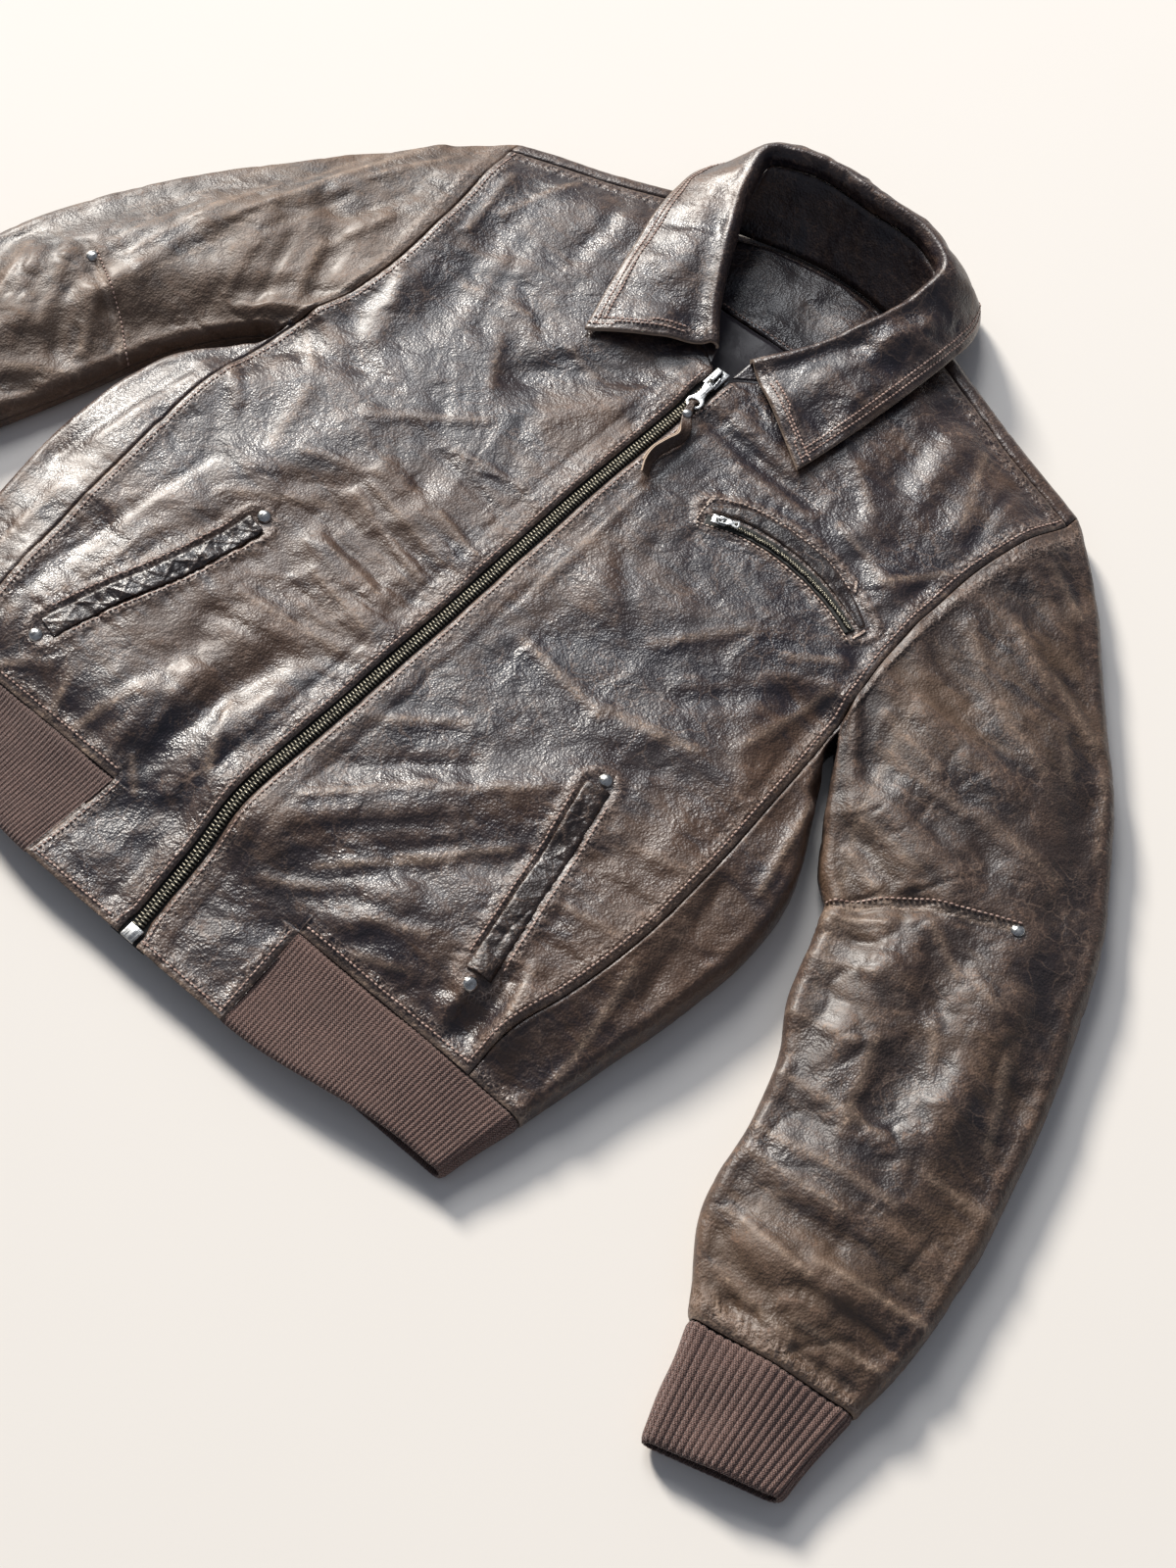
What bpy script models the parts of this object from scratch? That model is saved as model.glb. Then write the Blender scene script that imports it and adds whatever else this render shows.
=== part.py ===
"""Worn leather jacket laid flat on its back, zipped up, with its collar open.

Frame: metres, +X to the wearer's left, +Y from the hem to the collar, +Z up from the
surface it lies on, and the origin on the underside of the back panel. Sizes below are
in millimetres and are turned into metres when a mesh is made.

The body is one flattened tube whose top face is the function top(); the fronts, side
panels, back and hem rib are cut from it and end a seam gap apart. Each sleeve is a
flattened tube that starts from the armhole edge of those panels and ends at its cuff.
"""
import math

import bpy
import numpy as np
from mathutils import Vector
from mathutils.bvhtree import BVHTree
from mathutils.geometry import delaunay_2d_cdt

MM = 0.001
SEAM = 0.7            # width of the gap between two sewn pieces
LEATHER = 1.8         # wall of a leather piece
KNIT = 2.4            # wall of a knit piece, without its ribs
RIB_DEPTH = 0.8       # how far a knit rib stands up
HEM_RIB_PITCH = 3.3
CUFF_RIBS = 34
CUFF_SEAM = 0.6       # from the end of a sleeve to its cuff, along the sleeve
COLLAR_LEATHER = 2.4  # two layers of leather, sewn with raw edges

EDGE_REACH = 9.0      # width of the rolled edge where the tube turns under
EDGE_HEIGHT = 24.0    # height of the tube just inside its rolled edge
ROLL = 52.0           # distance over which the top rises from the edge to the crown
Y_HEM = -303.0        # lower end of the hem tabs and the hem rib
Y_RIB = -233.0        # seam between the leather body and the hem rib
Y_PIT = 100.0         # lower end of the armhole seams
Y_ZIP_TOP = 259.0
SHOULDER_WRAP = 16.0  # how far the back wraps over the shoulder to its seam
NECK_HALF = 97.0      # half width of the neck at the shoulder seams

# Along the body: y, height of the crown.
CROWN = [(-310, 21), (-270, 22), (-233, 25), (-205, 34), (-130, 37), (0, 38), (120, 38),
         (200, 37), (260, 37), (330, 36), (380, 33), (420, 28)]
# Half height of the rolled edge along the body: y, height.
EDGE_TABLE = [(-310, 19), (-270, 20), (-233, 21), (-190, 24), (420, 24)]
# Outline of the body under the armpit: y, distance from the middle.
SIDE = {1: [(-310, 242), (-237, 255), (-170, 270), (-100, 284), (-60, 288), (-25, 285),
            (10, 274), (40, 258), (62, 247), (92, 237), (130, 320), (200, 420), (430, 460)],
        -1: [(-310, 250), (-237, 265), (-170, 287), (-120, 299), (-60, 306), (-10, 304),
             (30, 292), (60, 270), (92, 253), (130, 330), (200, 430), (430, 460)]}
# Seam between front and side panel: y, distance from the middle.
SIDE_SEAM = {1: [(-240, 215), (-200, 218), (-160, 228), (-100, 238), (-40, 240), (40, 236), (100, 232)],
             -1: [(-240, 224), (-185, 232), (-140, 238), (-50, 248), (10, 254), (100, 248)]}
SIDE_UNDER = 30.0     # how far under the body the side panel reaches
# Line of the shoulder, seen from above: distance from the middle, y.
SHOULDER = [(0, 424), (60, 414), (97, 400), (130, 387), (185, 364), (230, 349), (260, 338)]
# Armhole seam on the front, from the shoulder seam to the armpit: distance, y.
ARMHOLE = {1: [(250, 326), (239, 290), (230, 250), (226, 200), (226, 150), (229, 120), (232, 100)],
           -1: [(250, 326), (242, 290), (236, 250), (232, 200), (234, 150), (241, 120), (248, 100)]}
PIT_TURN = (0.5, -0.86)   # direction in which the armpit edge rolls under
# Front edge of the neck, from the zip to the shoulder seam: distance, y.
NECKLINE = [(9, 259), (30, 275), (58, 315), (82, 356), (97, 384)]
# Zip line: y, x.
ZIP_LINE = [(-310, 5), (-260, -1), (-200, -7), (-100, -5), (0, -3), (120, -2), (220, 2), (290, 4)]
ZIP_HALF_GAP = 8.0    # from the zip line to the edge of a front
TAB_EDGE = (79.0, 84.0)   # outer edge of a hem tab at its top and at its foot

# Large folds of the body: start x, y, end x, y, width, height.
BODY_FOLDS = [
    (194, -176, 199, -225, 8, -5.5), (178, -180, 182, -226, 9, 3.0), (214, -175, 216, -226, 8, 2.6),
    (14, -200, 138, -52, 19, 3.6), (48, -205, 160, -96, 15, -2.8), (96, -226, 112, -178, 11, 2.6),
    (-62, -112, -74, -226, 13, -4.6), (-94, -222, -88, -150, 13, 3.2), (-42, -130, -46, -224, 13, 2.4),
    (-24, 22, -112, 46, 9, 2.4), (-26, -14, -118, 2, 9, -2.2), (-24, -46, -104, -30, 9, 2.2),
    (-28, -84, -100, -74, 10, -2.0), (226, 128, 178, 176, 11, -2.8), (222, 186, 158, 220, 13, 2.6),
    (-230, 140, -188, 100, 13, -2.6), (-228, 230, -196, 120, 12, 2.6), (-205, 300, -176, 170, 14, -2.4),
    (14, 243, 84, 228, 9, 1.6), (20, 226, 112, 216, 8, -2.6), (-100, 168, -40, 238, 17, -3.4),
    (-60, 150, -20, 214, 12, 2.0), (156, 366, 164, 286, 14, 2.8), (136, 340, 146, 270, 12, -2.4),
    (246, 76, 262, 20, 9, 3.4), (262, 20, 276, -52, 9, 3.4), (-262, 70, -278, -60, 12, 2.6),
    (60, 60, 150, 110, 22, 2.6), (-150, 60, -196, -100, 20, 2.4), (-216, -110, -224, -210, 10, -2.4),
]

# Stations of a sleeve: outer edge x, y, inner edge x, y, height of the crown.
SLEEVE = {1: [(257, 340, 236.5, 92, 35), (297, 300, 249, 70, 35), (350, 232, 267, 38, 36),
              (400, 166, 284, 12, 36), (444, 90, 301, -4, 38), (472, 12, 309, -26, 37),
              (492, -62, 322, -66, 33), (504, -126, 343, -104, 32), (510, -180, 355, -144, 34),
              (509, -214, 366, -202, 32), (505, -239, 402, -256, 26)],
          -1: [(257, 340, 252.5, 92, 35), (297, 300, 271, 79, 35), (350, 232, 289, 58, 36),
               (403, 160, 303, 34, 37), (446, 82, 314, 6, 38), (472, 8, 324, -27, 37),
               (490, -62, 337, -66, 34), (502, -126, 350, -104, 32), (507, -180, 358, -144, 33),
               (507, -214, 367, -202, 31), (504, -239, 402, -256, 26)]}
CUFF_END = (503, -300, 424, -325, 21)
SLEEVE_BLEND = 0.30   # share of the sleeve over which it leaves the armhole's form
# Large folds of the left sleeve and of the right one (given for the mirrored arm).
SLEEVE_FOLDS = {
    1: [(308, -6, 345, 26, 8, -3.0), (345, 26, 402, 48, 7, -2.6), (386, 22, 412, -92, 15, -4.6),
        (432, 16, 440, -86, 13, 3.2), (352, -20, 366, -90, 13, 2.8), (392, -212, 500, -184, 9, 3.6),
        (376, -186, 498, -156, 9, -2.8), (412, -238, 492, -212, 7, -3.4), (276, 252, 330, 222, 11, -2.8),
        (250, 140, 342, 128, 12, 2.6), (262, 66, 352, 54, 9, 2.6), (270, 92, 360, 82, 9, -2.2),
        (300, 282, 356, 206, 14, 2.4), (420, 120, 452, 40, 14, 2.6), (470, -20, 484, -120, 12, -2.6)],
    -1: [(316, -4, 352, 22, 8, -2.8), (352, 22, 400, 46, 7, -2.4), (296, 306, 352, 120, 10, 2.6),
         (352, 120, 362, 24, 9, 2.4), (284, 262, 306, 196, 11, -2.8), (292, 172, 268, 118, 10, -3.0),
         (330, 150, 312, 66, 11, 2.0), (420, 16, 386, -24, 12, 2.8), (436, -12, 404, -64, 12, -3.0),
         (350, -40, 372, -96, 13, 2.6), (392, -210, 500, -186, 9, 3.2), (380, -182, 498, -160, 9, -2.6),
         (412, -238, 492, -214, 7, -3.0), (440, 96, 404, 150, 13, 2.2)]}

# Collar: roll line and outer edge from the wearer's right end round the back: x, y, z.
ROLL_LINE = [(-17, 271, 47), (-37, 298, 52), (-65, 348, 58), (-87, 396, 62), (-92, 426, 64),
             (-66, 441, 64), (-8, 445, 63), (44, 440, 63), (67, 425, 63), (69, 396, 61),
             (56, 345, 58), (37, 305, 52), (16, 276, 47)]
LEAF_EDGE = [(-91, 224, 42), (-111, 290, 42), (-130, 370, 38), (-133, 402, 30), (-114, 448, 14),
             (-66, 464, 8), (-8, 468, 7), (46, 463, 8), (90, 448, 14), (110, 404, 30),
             (112, 374, 38), (104, 290, 42), (93, 228, 42)]
# Foot of the collar stand, where it meets the neckline: x, y, z (on the fronts and back
# it is lifted onto the panel).
STAND_FOOT = [(-8.2, 261.3, 38), (-28.6, 276.9, 38), (-56.5, 316.0, 38), (-79.6, 357.6, 38), (-92.6, 380, 26),
              (-95.6, 390, 24), (-95.6, 396, 13), (-93.5, 393, 4), (-82, 396, 3), (-48, 405, 3),
              (0, 410.5, 3), (48, 405, 3), (82, 396, 3), (93.5, 393, 4), (95.6, 396, 13),
              (95.6, 390, 24), (92.6, 380, 26), (79.6, 357.6, 38), (56.5, 316.0, 38), (28.6, 276.9, 38),
              (10.4, 262, 38)]
RIVET_RADIUS = 4.6
RIVET_HEIGHT = 2.6
# Rivets: at the ends of the hip welts, and at the elbow darts.
HIP_RIVETS = {1: [(152, -37), (182, -194)], -1: [(143, -36), (186, -197)]}
ELBOW_RIVETS = {1: (402, 52), -1: (390, 44)}
# Middle line of the hip welts, of the breast welt and of the breast zip: x, y.
HIP_WELT = {1: [(152, -44), (160, -80), (168, -120), (175, -155), (181, -186)],
            -1: [(-143, -43), (-150, -80), (-162, -118), (-175, -152), (-184, -189)]}
HIP_WELT_HALF = 9.0
HIP_LIFT = 0.75       # a hip welt's underside over the highest facet near it
WELT_LIFT = 1.1       # the same for the breast welt and its tape
SEAT_REACH = 7.0      # how far round a strip's points that facet is looked for
BREAST_WELT = [(70, 167), (88, 177), (120, 182.5), (152, 180), (180, 171.5), (200, 161.5)]
BREAST_WELT_HALF = (2.2, 6.6)     # at its ends and in the middle
BREAST_ZIP = [(72, 158), (90, 165), (120, 169.5), (150, 167.5), (178, 160.5), (196, 153.5)]
BREAST_ZIP_HALF = 4.0
TAPE_REACH = 14.0     # from the zip line to the outer edge of a tape
TAPE_DROP = 3.2       # from the front's top face to the tape
CHAIN_HALF = 3.1
# Breast slider, as boxes round its place, and its pull: outline and window.
BREAST_SLIDER = [(-5, -3.4, 2.6, 5, 3.4, 3.8), (-2.2, -1, 3.8, -1.2, 1, 6.2), (-1.2, -1, 5.3, 2.8, 1, 6.2),
                 (2.8, -1, 3.8, 3.8, 1, 6.2)]
BREAST_PULL = [(0, -2.7), (5.6, -2.7), (8.5, -1.7), (13, -3.4), (14.5, 0), (13, 3.4), (8.5, 1.7), (5.6, 2.7),
               (0, 2.7)]
BREAST_PULL_WINDOW = [(1.1, -1.6), (5.0, -1.6), (5.0, 1.6), (1.1, 1.6)]
SLIDER_Y = 253.5
# Front slider, as boxes round its place on the zip line: plates, post and bridge.
SLIDER = [(-5.4, -8.5, 0.4, 5.4, 8.5, 2.2), (-5.4, -8.5, -6.6, 5.4, 8.5, -4.7), (-4, 4.5, -4.7, 4, 8.5, 0.4),
          (-1.3, -5.5, 2.2, 1.3, -4.0, 6.0), (-1.3, -4.0, 4.8, 1.3, 4.0, 6.0),
          (-1.3, 4.0, 2.2, 1.3, 5.5, 6.0)]
# Front pull: outline from its hinge bar down, its window round the bridge, and its turn.
ZIP_PULL = [(-3.7, 0.6), (-3.7, -9.5), (-2.6, -15.5), (-3.6, -20.5), (-6.2, -25.5), (-5.9, -29.5),
            (-3.4, -32.2), (3.4, -32.2), (5.9, -29.5), (6.2, -25.5), (3.6, -20.5), (2.6, -15.5),
            (3.7, -9.5), (3.7, 0.6)]
ZIP_PULL_WINDOW = [(-2.5, -0.6), (-2.5, -8.2), (2.5, -8.2), (2.5, -0.6)]
PULL_TURN = 0.1
# Middle line of the doubled strap from the pull's end: x, y from the slider, and height.
STRAP = [(3.6, -34.5, 3.6), (7.0, -41, 3.6), (12.5, -49, 4.6), (15.5, -58, 6.0), (13.0, -69, 6.2),
         (11.0, -79, 6.0), (13.0, -90, 6.0), (17.5, -99, 6.0)]
STRAP_STEPS = 14
STRAP_SHORTER = 2
STRAP_TILT = 1.0      # lean of the strap beyond its stud, in radians
STRAP_LEATHER = 1.2
STUD_STEP = 1
NECK_CENTRE = (-4.0, 352.0)
LEAF_LIFT = 4.2       # top of the collar leaf above the front that it lies on
SEAM_BELOW_ROLL = 15.0    # drop from the roll to the stand seam, less at the front ends
STAND_LEAST = 2.5     # height of the stand at its front ends
HEM_LIFT = 17.0       # rise of the hem rib's foot from the tab to the side

BODY_ROWS = 18        # rows of the panels from the hem rib to the armpit


def smooth(t):
    """Even start and end between 0 and 1."""
    t = np.clip(t, 0.0, 1.0)
    return t * t * (3.0 - 2.0 * t)


def through(points, share):
    """Smooth curve through points, read at shares of its length."""
    p = np.asarray(points, float)
    gaps = np.linalg.norm(np.diff(p[:, :3], axis=0), axis=1)
    knots = np.concatenate([[0.0], np.cumsum(gaps)]) / gaps.sum()
    return hermite(knots, p, share)


def hermite(knots, values, t):
    """Smooth values between knots."""
    t = np.atleast_1d(np.asarray(t, float))
    slope = np.gradient(values, knots, axis=0)
    i = np.clip(np.searchsorted(knots, t, side="right") - 1, 0, len(knots) - 2)
    step = (knots[i + 1] - knots[i])
    u = (t - knots[i]) / step
    if values.ndim > 1:
        step, u = step[:, None], u[:, None]
    return ((2 * u ** 3 - 3 * u ** 2 + 1) * values[i] + (u ** 3 - 2 * u ** 2 + u) * step * slope[i]
            + (3 * u ** 2 - 2 * u ** 3) * values[i + 1] + (u ** 3 - u ** 2) * step * slope[i + 1])


def low_rows():
    """Places of the rows that fronts, side panels and back share under the armpit."""
    return np.linspace(Y_RIB, Y_PIT, BODY_ROWS)


def read(table, at):
    """Smooth value of a two-column table."""
    t = np.asarray(table, float)
    at = np.clip(at, t[0, 0], t[-1, 0])
    return hermite(t[:, 0], t[:, 1], np.ravel(at)).reshape(np.shape(at))


def shoulder_seam(x):
    """Place of the shoulder seam on the front."""
    return read(SHOULDER, x) - SHOULDER_WRAP


def folds(x, y, listed):
    """Height of the listed folds at x, y."""
    height = np.zeros(np.shape(x))
    for x0, y0, x1, y1, width, rise in listed:
        dx, dy = x1 - x0, y1 - y0
        t = np.clip(((x - x0) * dx + (y - y0) * dy) / (dx * dx + dy * dy), 0.0, 1.0)
        away = (x - x0 - t * dx) ** 2 + (y - y0 - t * dy) ** 2
        height = height + rise * np.exp(-away / (width * width))
    return height


def side_line(x, y):
    """Distance of the outline from the middle on the side where x lies."""
    return np.where(np.asarray(x) >= 0, read(SIDE[1], y), read(SIDE[-1], y))


def top(x, y):
    """Height of the top face of the body."""
    x, y = np.asarray(x, float), np.asarray(y, float)
    side = smooth((side_line(x, y) - np.abs(x) - EDGE_REACH) / ROLL)
    shoulder = smooth((read(SHOULDER, np.abs(x)) - y - EDGE_REACH) / ROLL)
    near_hem = smooth((y - Y_RIB) / 24.0)
    low = read(EDGE_TABLE, y)
    inside = side * shoulder
    return low + (read(CROWN, y) - low) * inside + folds(x, y, BODY_FOLDS) * np.sqrt(inside) * near_hem


def top_normal(x, y):
    """Outward direction of the top face."""
    step = 2.0
    gx = (top(x + step, y) - top(x - step, y)) / (2 * step)
    gy = (top(x, y + step) - top(x, y - step)) / (2 * step)
    n = np.stack([-gx, -gy, np.ones_like(gx)], axis=-1)
    return n / np.linalg.norm(n, axis=-1, keepdims=True)


def on_top(x, y, lift=0.0):
    """Points of the top face, moved out by lift."""
    x, y = np.asarray(x, float), np.asarray(y, float)
    return np.stack([x, y, top(x, y)], axis=-1) + top_normal(x, y) * lift


def grid_normals(points, ring=False):
    """Directions across a grid of points, from its rows and columns."""
    if ring:
        along = (np.roll(points, -1, axis=1) - np.roll(points, 1, axis=1))
    else:
        along = np.gradient(points, axis=1)
    n = np.cross(np.gradient(points, axis=0), along)
    return n / np.maximum(np.linalg.norm(n, axis=-1, keepdims=True), 1e-9)


def make_object(name, verts, faces):
    """Mesh object from points in millimetres, turned so that its faces look out."""
    v = np.asarray(verts, float) * MM
    volume = 0.0
    for f in faces:
        for k in range(1, len(f) - 1):
            volume += float(np.dot(v[f[0]], np.cross(v[f[k]], v[f[k + 1]])))
    if volume < 0:
        faces = [tuple(reversed(f)) for f in faces]
    mesh = bpy.data.meshes.new(name)
    mesh.from_pydata([tuple(p) for p in v], [], [tuple(int(i) for i in f) for f in faces])
    mesh.update()
    obj = bpy.data.objects.new(name, mesh)
    bpy.context.scene.collection.objects.link(obj)
    return obj


def wall(name, outer, inner, keep=None, ring=False):
    """Closed wall between two grids of points; keep says which cells it has."""
    rows, cols = outer.shape[:2]
    cells = cols if ring else cols - 1
    if keep is None:
        keep = np.ones((rows - 1, cells), bool)
    both = np.concatenate([outer.reshape(-1, 3), inner.reshape(-1, 3)])
    index, used = {}, []

    def point(i, j, layer):
        key = (layer * rows + i) * cols + j % cols
        if key not in index:
            index[key] = len(used)
            used.append(both[key])
        return index[key]

    faces = []
    for i in range(rows - 1):
        for j in range(cells):
            if not keep[i, j]:
                continue
            faces.append((point(i, j, 0), point(i, j + 1, 0), point(i + 1, j + 1, 0), point(i + 1, j, 0)))
            faces.append((point(i + 1, j, 1), point(i + 1, j + 1, 1), point(i, j + 1, 1), point(i, j, 1)))
            left = keep[i, j - 1] if (j > 0 or ring) else False
            right = keep[i, (j + 1) % cells] if (j + 1 < cells or ring) else False
            below = keep[i - 1, j] if i > 0 else False
            above = keep[i + 1, j] if i + 2 < rows else False
            if not left:
                faces.append((point(i, j, 0), point(i + 1, j, 0), point(i + 1, j, 1), point(i, j, 1)))
            if not right:
                faces.append((point(i, j + 1, 0), point(i, j + 1, 1), point(i + 1, j + 1, 1),
                              point(i + 1, j + 1, 0)))
            if not below:
                faces.append((point(i, j, 0), point(i, j, 1), point(i, j + 1, 1), point(i, j + 1, 0)))
            if not above:
                faces.append((point(i + 1, j, 0), point(i + 1, j + 1, 0), point(i + 1, j + 1, 1),
                              point(i + 1, j, 1)))
    return make_object(name, used, faces)


def rows_between(low, high, spacing):
    """Evenly spaced values, about spacing apart."""
    return np.linspace(low, high, max(2, int(round(abs(high - low) / spacing)) + 1))


SLEEVE_ROWS = 18
COLLAR_STEPS = 32     # cells along the collar
TOP_CELLS = 10        # cells across the top of a sleeve, and rows of a front above the armpit
PIT_CELLS = 7         # cells round the armpit edge, and across a side panel
UNDER_CELLS = 5       # cells across the underside of a sleeve
WRAP_CELLS = 5        # cells round the shoulder edge


def turn(points_high, direction, cells, reach=EDGE_REACH, height=EDGE_HEIGHT):
    """Half ellipse from the top of a rolled edge to its foot, with its outward directions."""
    angle = np.linspace(math.pi / 2, -math.pi / 2, cells + 1)
    dx, dy = np.asarray(direction, float) / np.hypot(*direction)
    pts = np.stack([points_high[0] + dx * reach * np.cos(angle), points_high[1] + dy * reach * np.cos(angle),
                    height / 2 * (1 + np.sin(angle))], axis=-1)
    n = np.stack([dx * np.cos(angle) / reach, dy * np.cos(angle) / reach,
                  np.sin(angle) / (height / 2)], axis=-1)
    return pts, n / np.linalg.norm(n, axis=-1, keepdims=True)


def armhole_ring(side):
    """Edge of the armhole: over the top, round the armpit, back underneath, over the shoulder."""
    line = through(ARMHOLE[side], np.linspace(0, 1, TOP_CELLS + 1))
    x, y = side * line[:, 0], line[:, 1]
    over, over_n = on_top(x, y), top_normal(x, y)
    direction = (side * PIT_TURN[0], PIT_TURN[1])
    pit, pit_n = turn((x[-1], y[-1]), direction, PIT_CELLS, height=float(over[-1, 2]))
    x_end = side * ARMHOLE[side][0][0]
    y_fold = float(read(SHOULDER, abs(x_end))) - EDGE_REACH
    back = through([(x[-1], y[-1], 0), (side * 230, 165, 0), (side * 233, 240, 0), (x_end, y_fold, 0)],
                   np.linspace(0, 1, UNDER_CELLS + 1))
    down = np.zeros_like(back)
    down[:, 2] = -1
    rolled, rolled_n = turn((x_end, y_fold), (0, 1), WRAP_CELLS - 1)
    rolled, rolled_n = rolled[::-1], rolled_n[::-1]
    pts = np.concatenate([over, pit[1:], back[1:], rolled[1:]])
    normals = np.concatenate([over_n, pit_n[1:], down[1:], rolled_n[1:]])
    return pts, normals


def front(name, side):
    """One front with its hem tab: rows from the hem to the shoulder seam."""
    share = np.linspace(0, 1, TOP_CELLS + 1)[::-1]
    arm = through(ARMHOLE[side], share)
    arm = np.column_stack([side * arm[:, 0] - side * SEAM / 2, arm[:, 1]])
    neck = [(side * d if i else zip_x(NECKLINE[0][1]) + side * ZIP_HALF_GAP, y)
            for i, (d, y) in enumerate(NECKLINE)]
    zip_rows = rows_between(Y_PIT, Y_ZIP_TOP, 20.0)
    upper_path = [(zip_x(y) + side * ZIP_HALF_GAP, y) for y in zip_rows[:-1]] + neck
    inner_up = through(upper_path, share[::-1])
    low = low_rows()
    outer_low = np.column_stack([side * read(SIDE_SEAM[side], low) - side * SEAM / 2, low])
    inner_low = np.column_stack([[zip_x(y) + side * ZIP_HALF_GAP for y in low], low])
    tab_rows = rows_between(Y_HEM, Y_RIB, 23.0)[:-1]
    cols = 12
    across = np.linspace(0, 1, cols + 1)
    tab_cell = 4
    outer = np.concatenate([outer_low[:-1], arm])
    inner = np.concatenate([inner_low[:-1], inner_up])
    plan = inner[:, None, :] + (outer - inner)[:, None, :] * across[None, :, None]
    # The column on the tab's edge runs straight up from it and fades into the even ones.
    rise = smooth((plan[:, 0, 1] - Y_RIB) / 120.0)
    edge_x = side * TAB_EDGE[0]
    for i in range(len(plan)):
        keep_x = edge_x + (plan[i, tab_cell, 0] - edge_x) * rise[i]
        inner_part = np.linspace(plan[i, 0, 0], keep_x, tab_cell + 1)
        outer_part = np.linspace(keep_x, plan[i, -1, 0], cols - tab_cell + 1)
        plan[i, :, 0] = np.concatenate([inner_part, outer_part[1:]])
    tab = np.zeros((len(tab_rows), cols + 1, 2))
    for i, y in enumerate(tab_rows):
        foot = (Y_RIB - y) / (Y_RIB - Y_HEM)
        outer_x = side * (TAB_EDGE[0] + (TAB_EDGE[1] - TAB_EDGE[0]) * foot)
        tab[i, :tab_cell + 1, 0] = np.linspace(zip_x(y) + side * ZIP_HALF_GAP, outer_x, tab_cell + 1)
        tab[i, tab_cell + 1:, 0] = plan[0, tab_cell + 1:, 0]
        tab[i, :, 1] = y
    # The last rows bend to the line of the shoulder seam.
    seam = seam_line(plan[-1, :, 0])
    bend = seam[:, 1] - SEAM / 2 - plan[-1, :, 1]
    for back_by in range(5):
        plan[-1 - back_by, :, 1] += bend * (1 - smooth(back_by / 4.5))
    plan = np.concatenate([tab, plan])
    pts = on_top(plan[..., 0], plan[..., 1])
    normals = top_normal(plan[..., 0], plan[..., 1])
    pts[-1, :, 2] = seam[:, 2]
    normals[-1] = (0, 0, 1)
    inside = pts - normals * LEATHER
    keep = np.ones((len(plan) - 1, cols), bool)
    keep[:len(tab_rows), tab_cell:] = False
    return wall(name, pts, inside, keep)


def seam_line(x):
    """Points of the shoulder seam: straight between the columns of the back."""
    end = ARMHOLE[1][0][0] - SEAM
    nodes = NECK_HALF + (end - NECK_HALF) * np.array([0.0, 1 / 3, 2 / 3, 1.0])
    a = np.abs(x)
    y = np.interp(a, nodes, shoulder_seam(nodes))
    side = np.sign(np.mean(x))
    z = np.interp(a, nodes, top(side * nodes, shoulder_seam(nodes)))
    return np.column_stack([x, y, z])


def under_seam(side, y):
    """Distance of the seam between side panel and back, underneath."""
    pit = ARMHOLE[side][-1][0]
    below = smooth((Y_PIT - y) / 70.0)
    return pit + (float(side_line(side, y)) - SIDE_UNDER - pit) * below


def zip_x(y):
    """Place of the zip line."""
    return float(read(ZIP_LINE, y))


def section(side, y, cells):
    """Side of the body at y: from the front seam round the edge to the seam underneath."""
    seam, line = float(read(SIDE_SEAM[side], y)), float(side_line(side, y))
    reach = min(EDGE_REACH, line - seam - 1.5)
    centre = line - reach
    angle = np.linspace(math.pi / 2, -math.pi / 2, 40)
    flat = np.linspace(seam + SEAM / 2, centre, 30)
    flat_z = top(side * flat, np.full_like(flat, y))
    arc_x, arc_z = centre + reach * np.cos(angle), flat_z[-1] / 2 * (1 + np.sin(angle))
    x = np.concatenate([flat[:-1], arc_x, np.linspace(centre, under_seam(side, y), 8)[1:]])
    z = np.concatenate([flat_z[:-1], arc_z, np.zeros(7)])
    length = np.concatenate([[0], np.cumsum(np.hypot(np.diff(x), np.diff(z)))])
    length /= length[-1]
    return np.interp(cells, length, x), np.interp(cells, length, z)


def side_panel(name, side):
    """Side panel: from the armpit edge to the hem rib."""
    ring, _ = armhole_ring(side)
    pit = ring[TOP_CELLS:TOP_CELLS + PIT_CELLS + 1].copy()
    across = np.linspace(0, 1, PIT_CELLS + 1)
    pit[:, 1] -= SEAM
    rows = [pit]
    for y in low_rows()[-2::-1]:
        x, z = section(side, y, across)
        rows.append(np.column_stack([side * x, np.full_like(x, y), z]))
    pts = np.array(rows)
    n = grid_normals(pts)
    if n[5, 1, 2] < 0:
        n = -n
    n[:, 0] = top_normal(pts[:, 0, 0], pts[:, 0, 1])
    n[:, -1] = (0, 0, -1)
    return wall(name, pts, pts - n * LEATHER)


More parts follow.
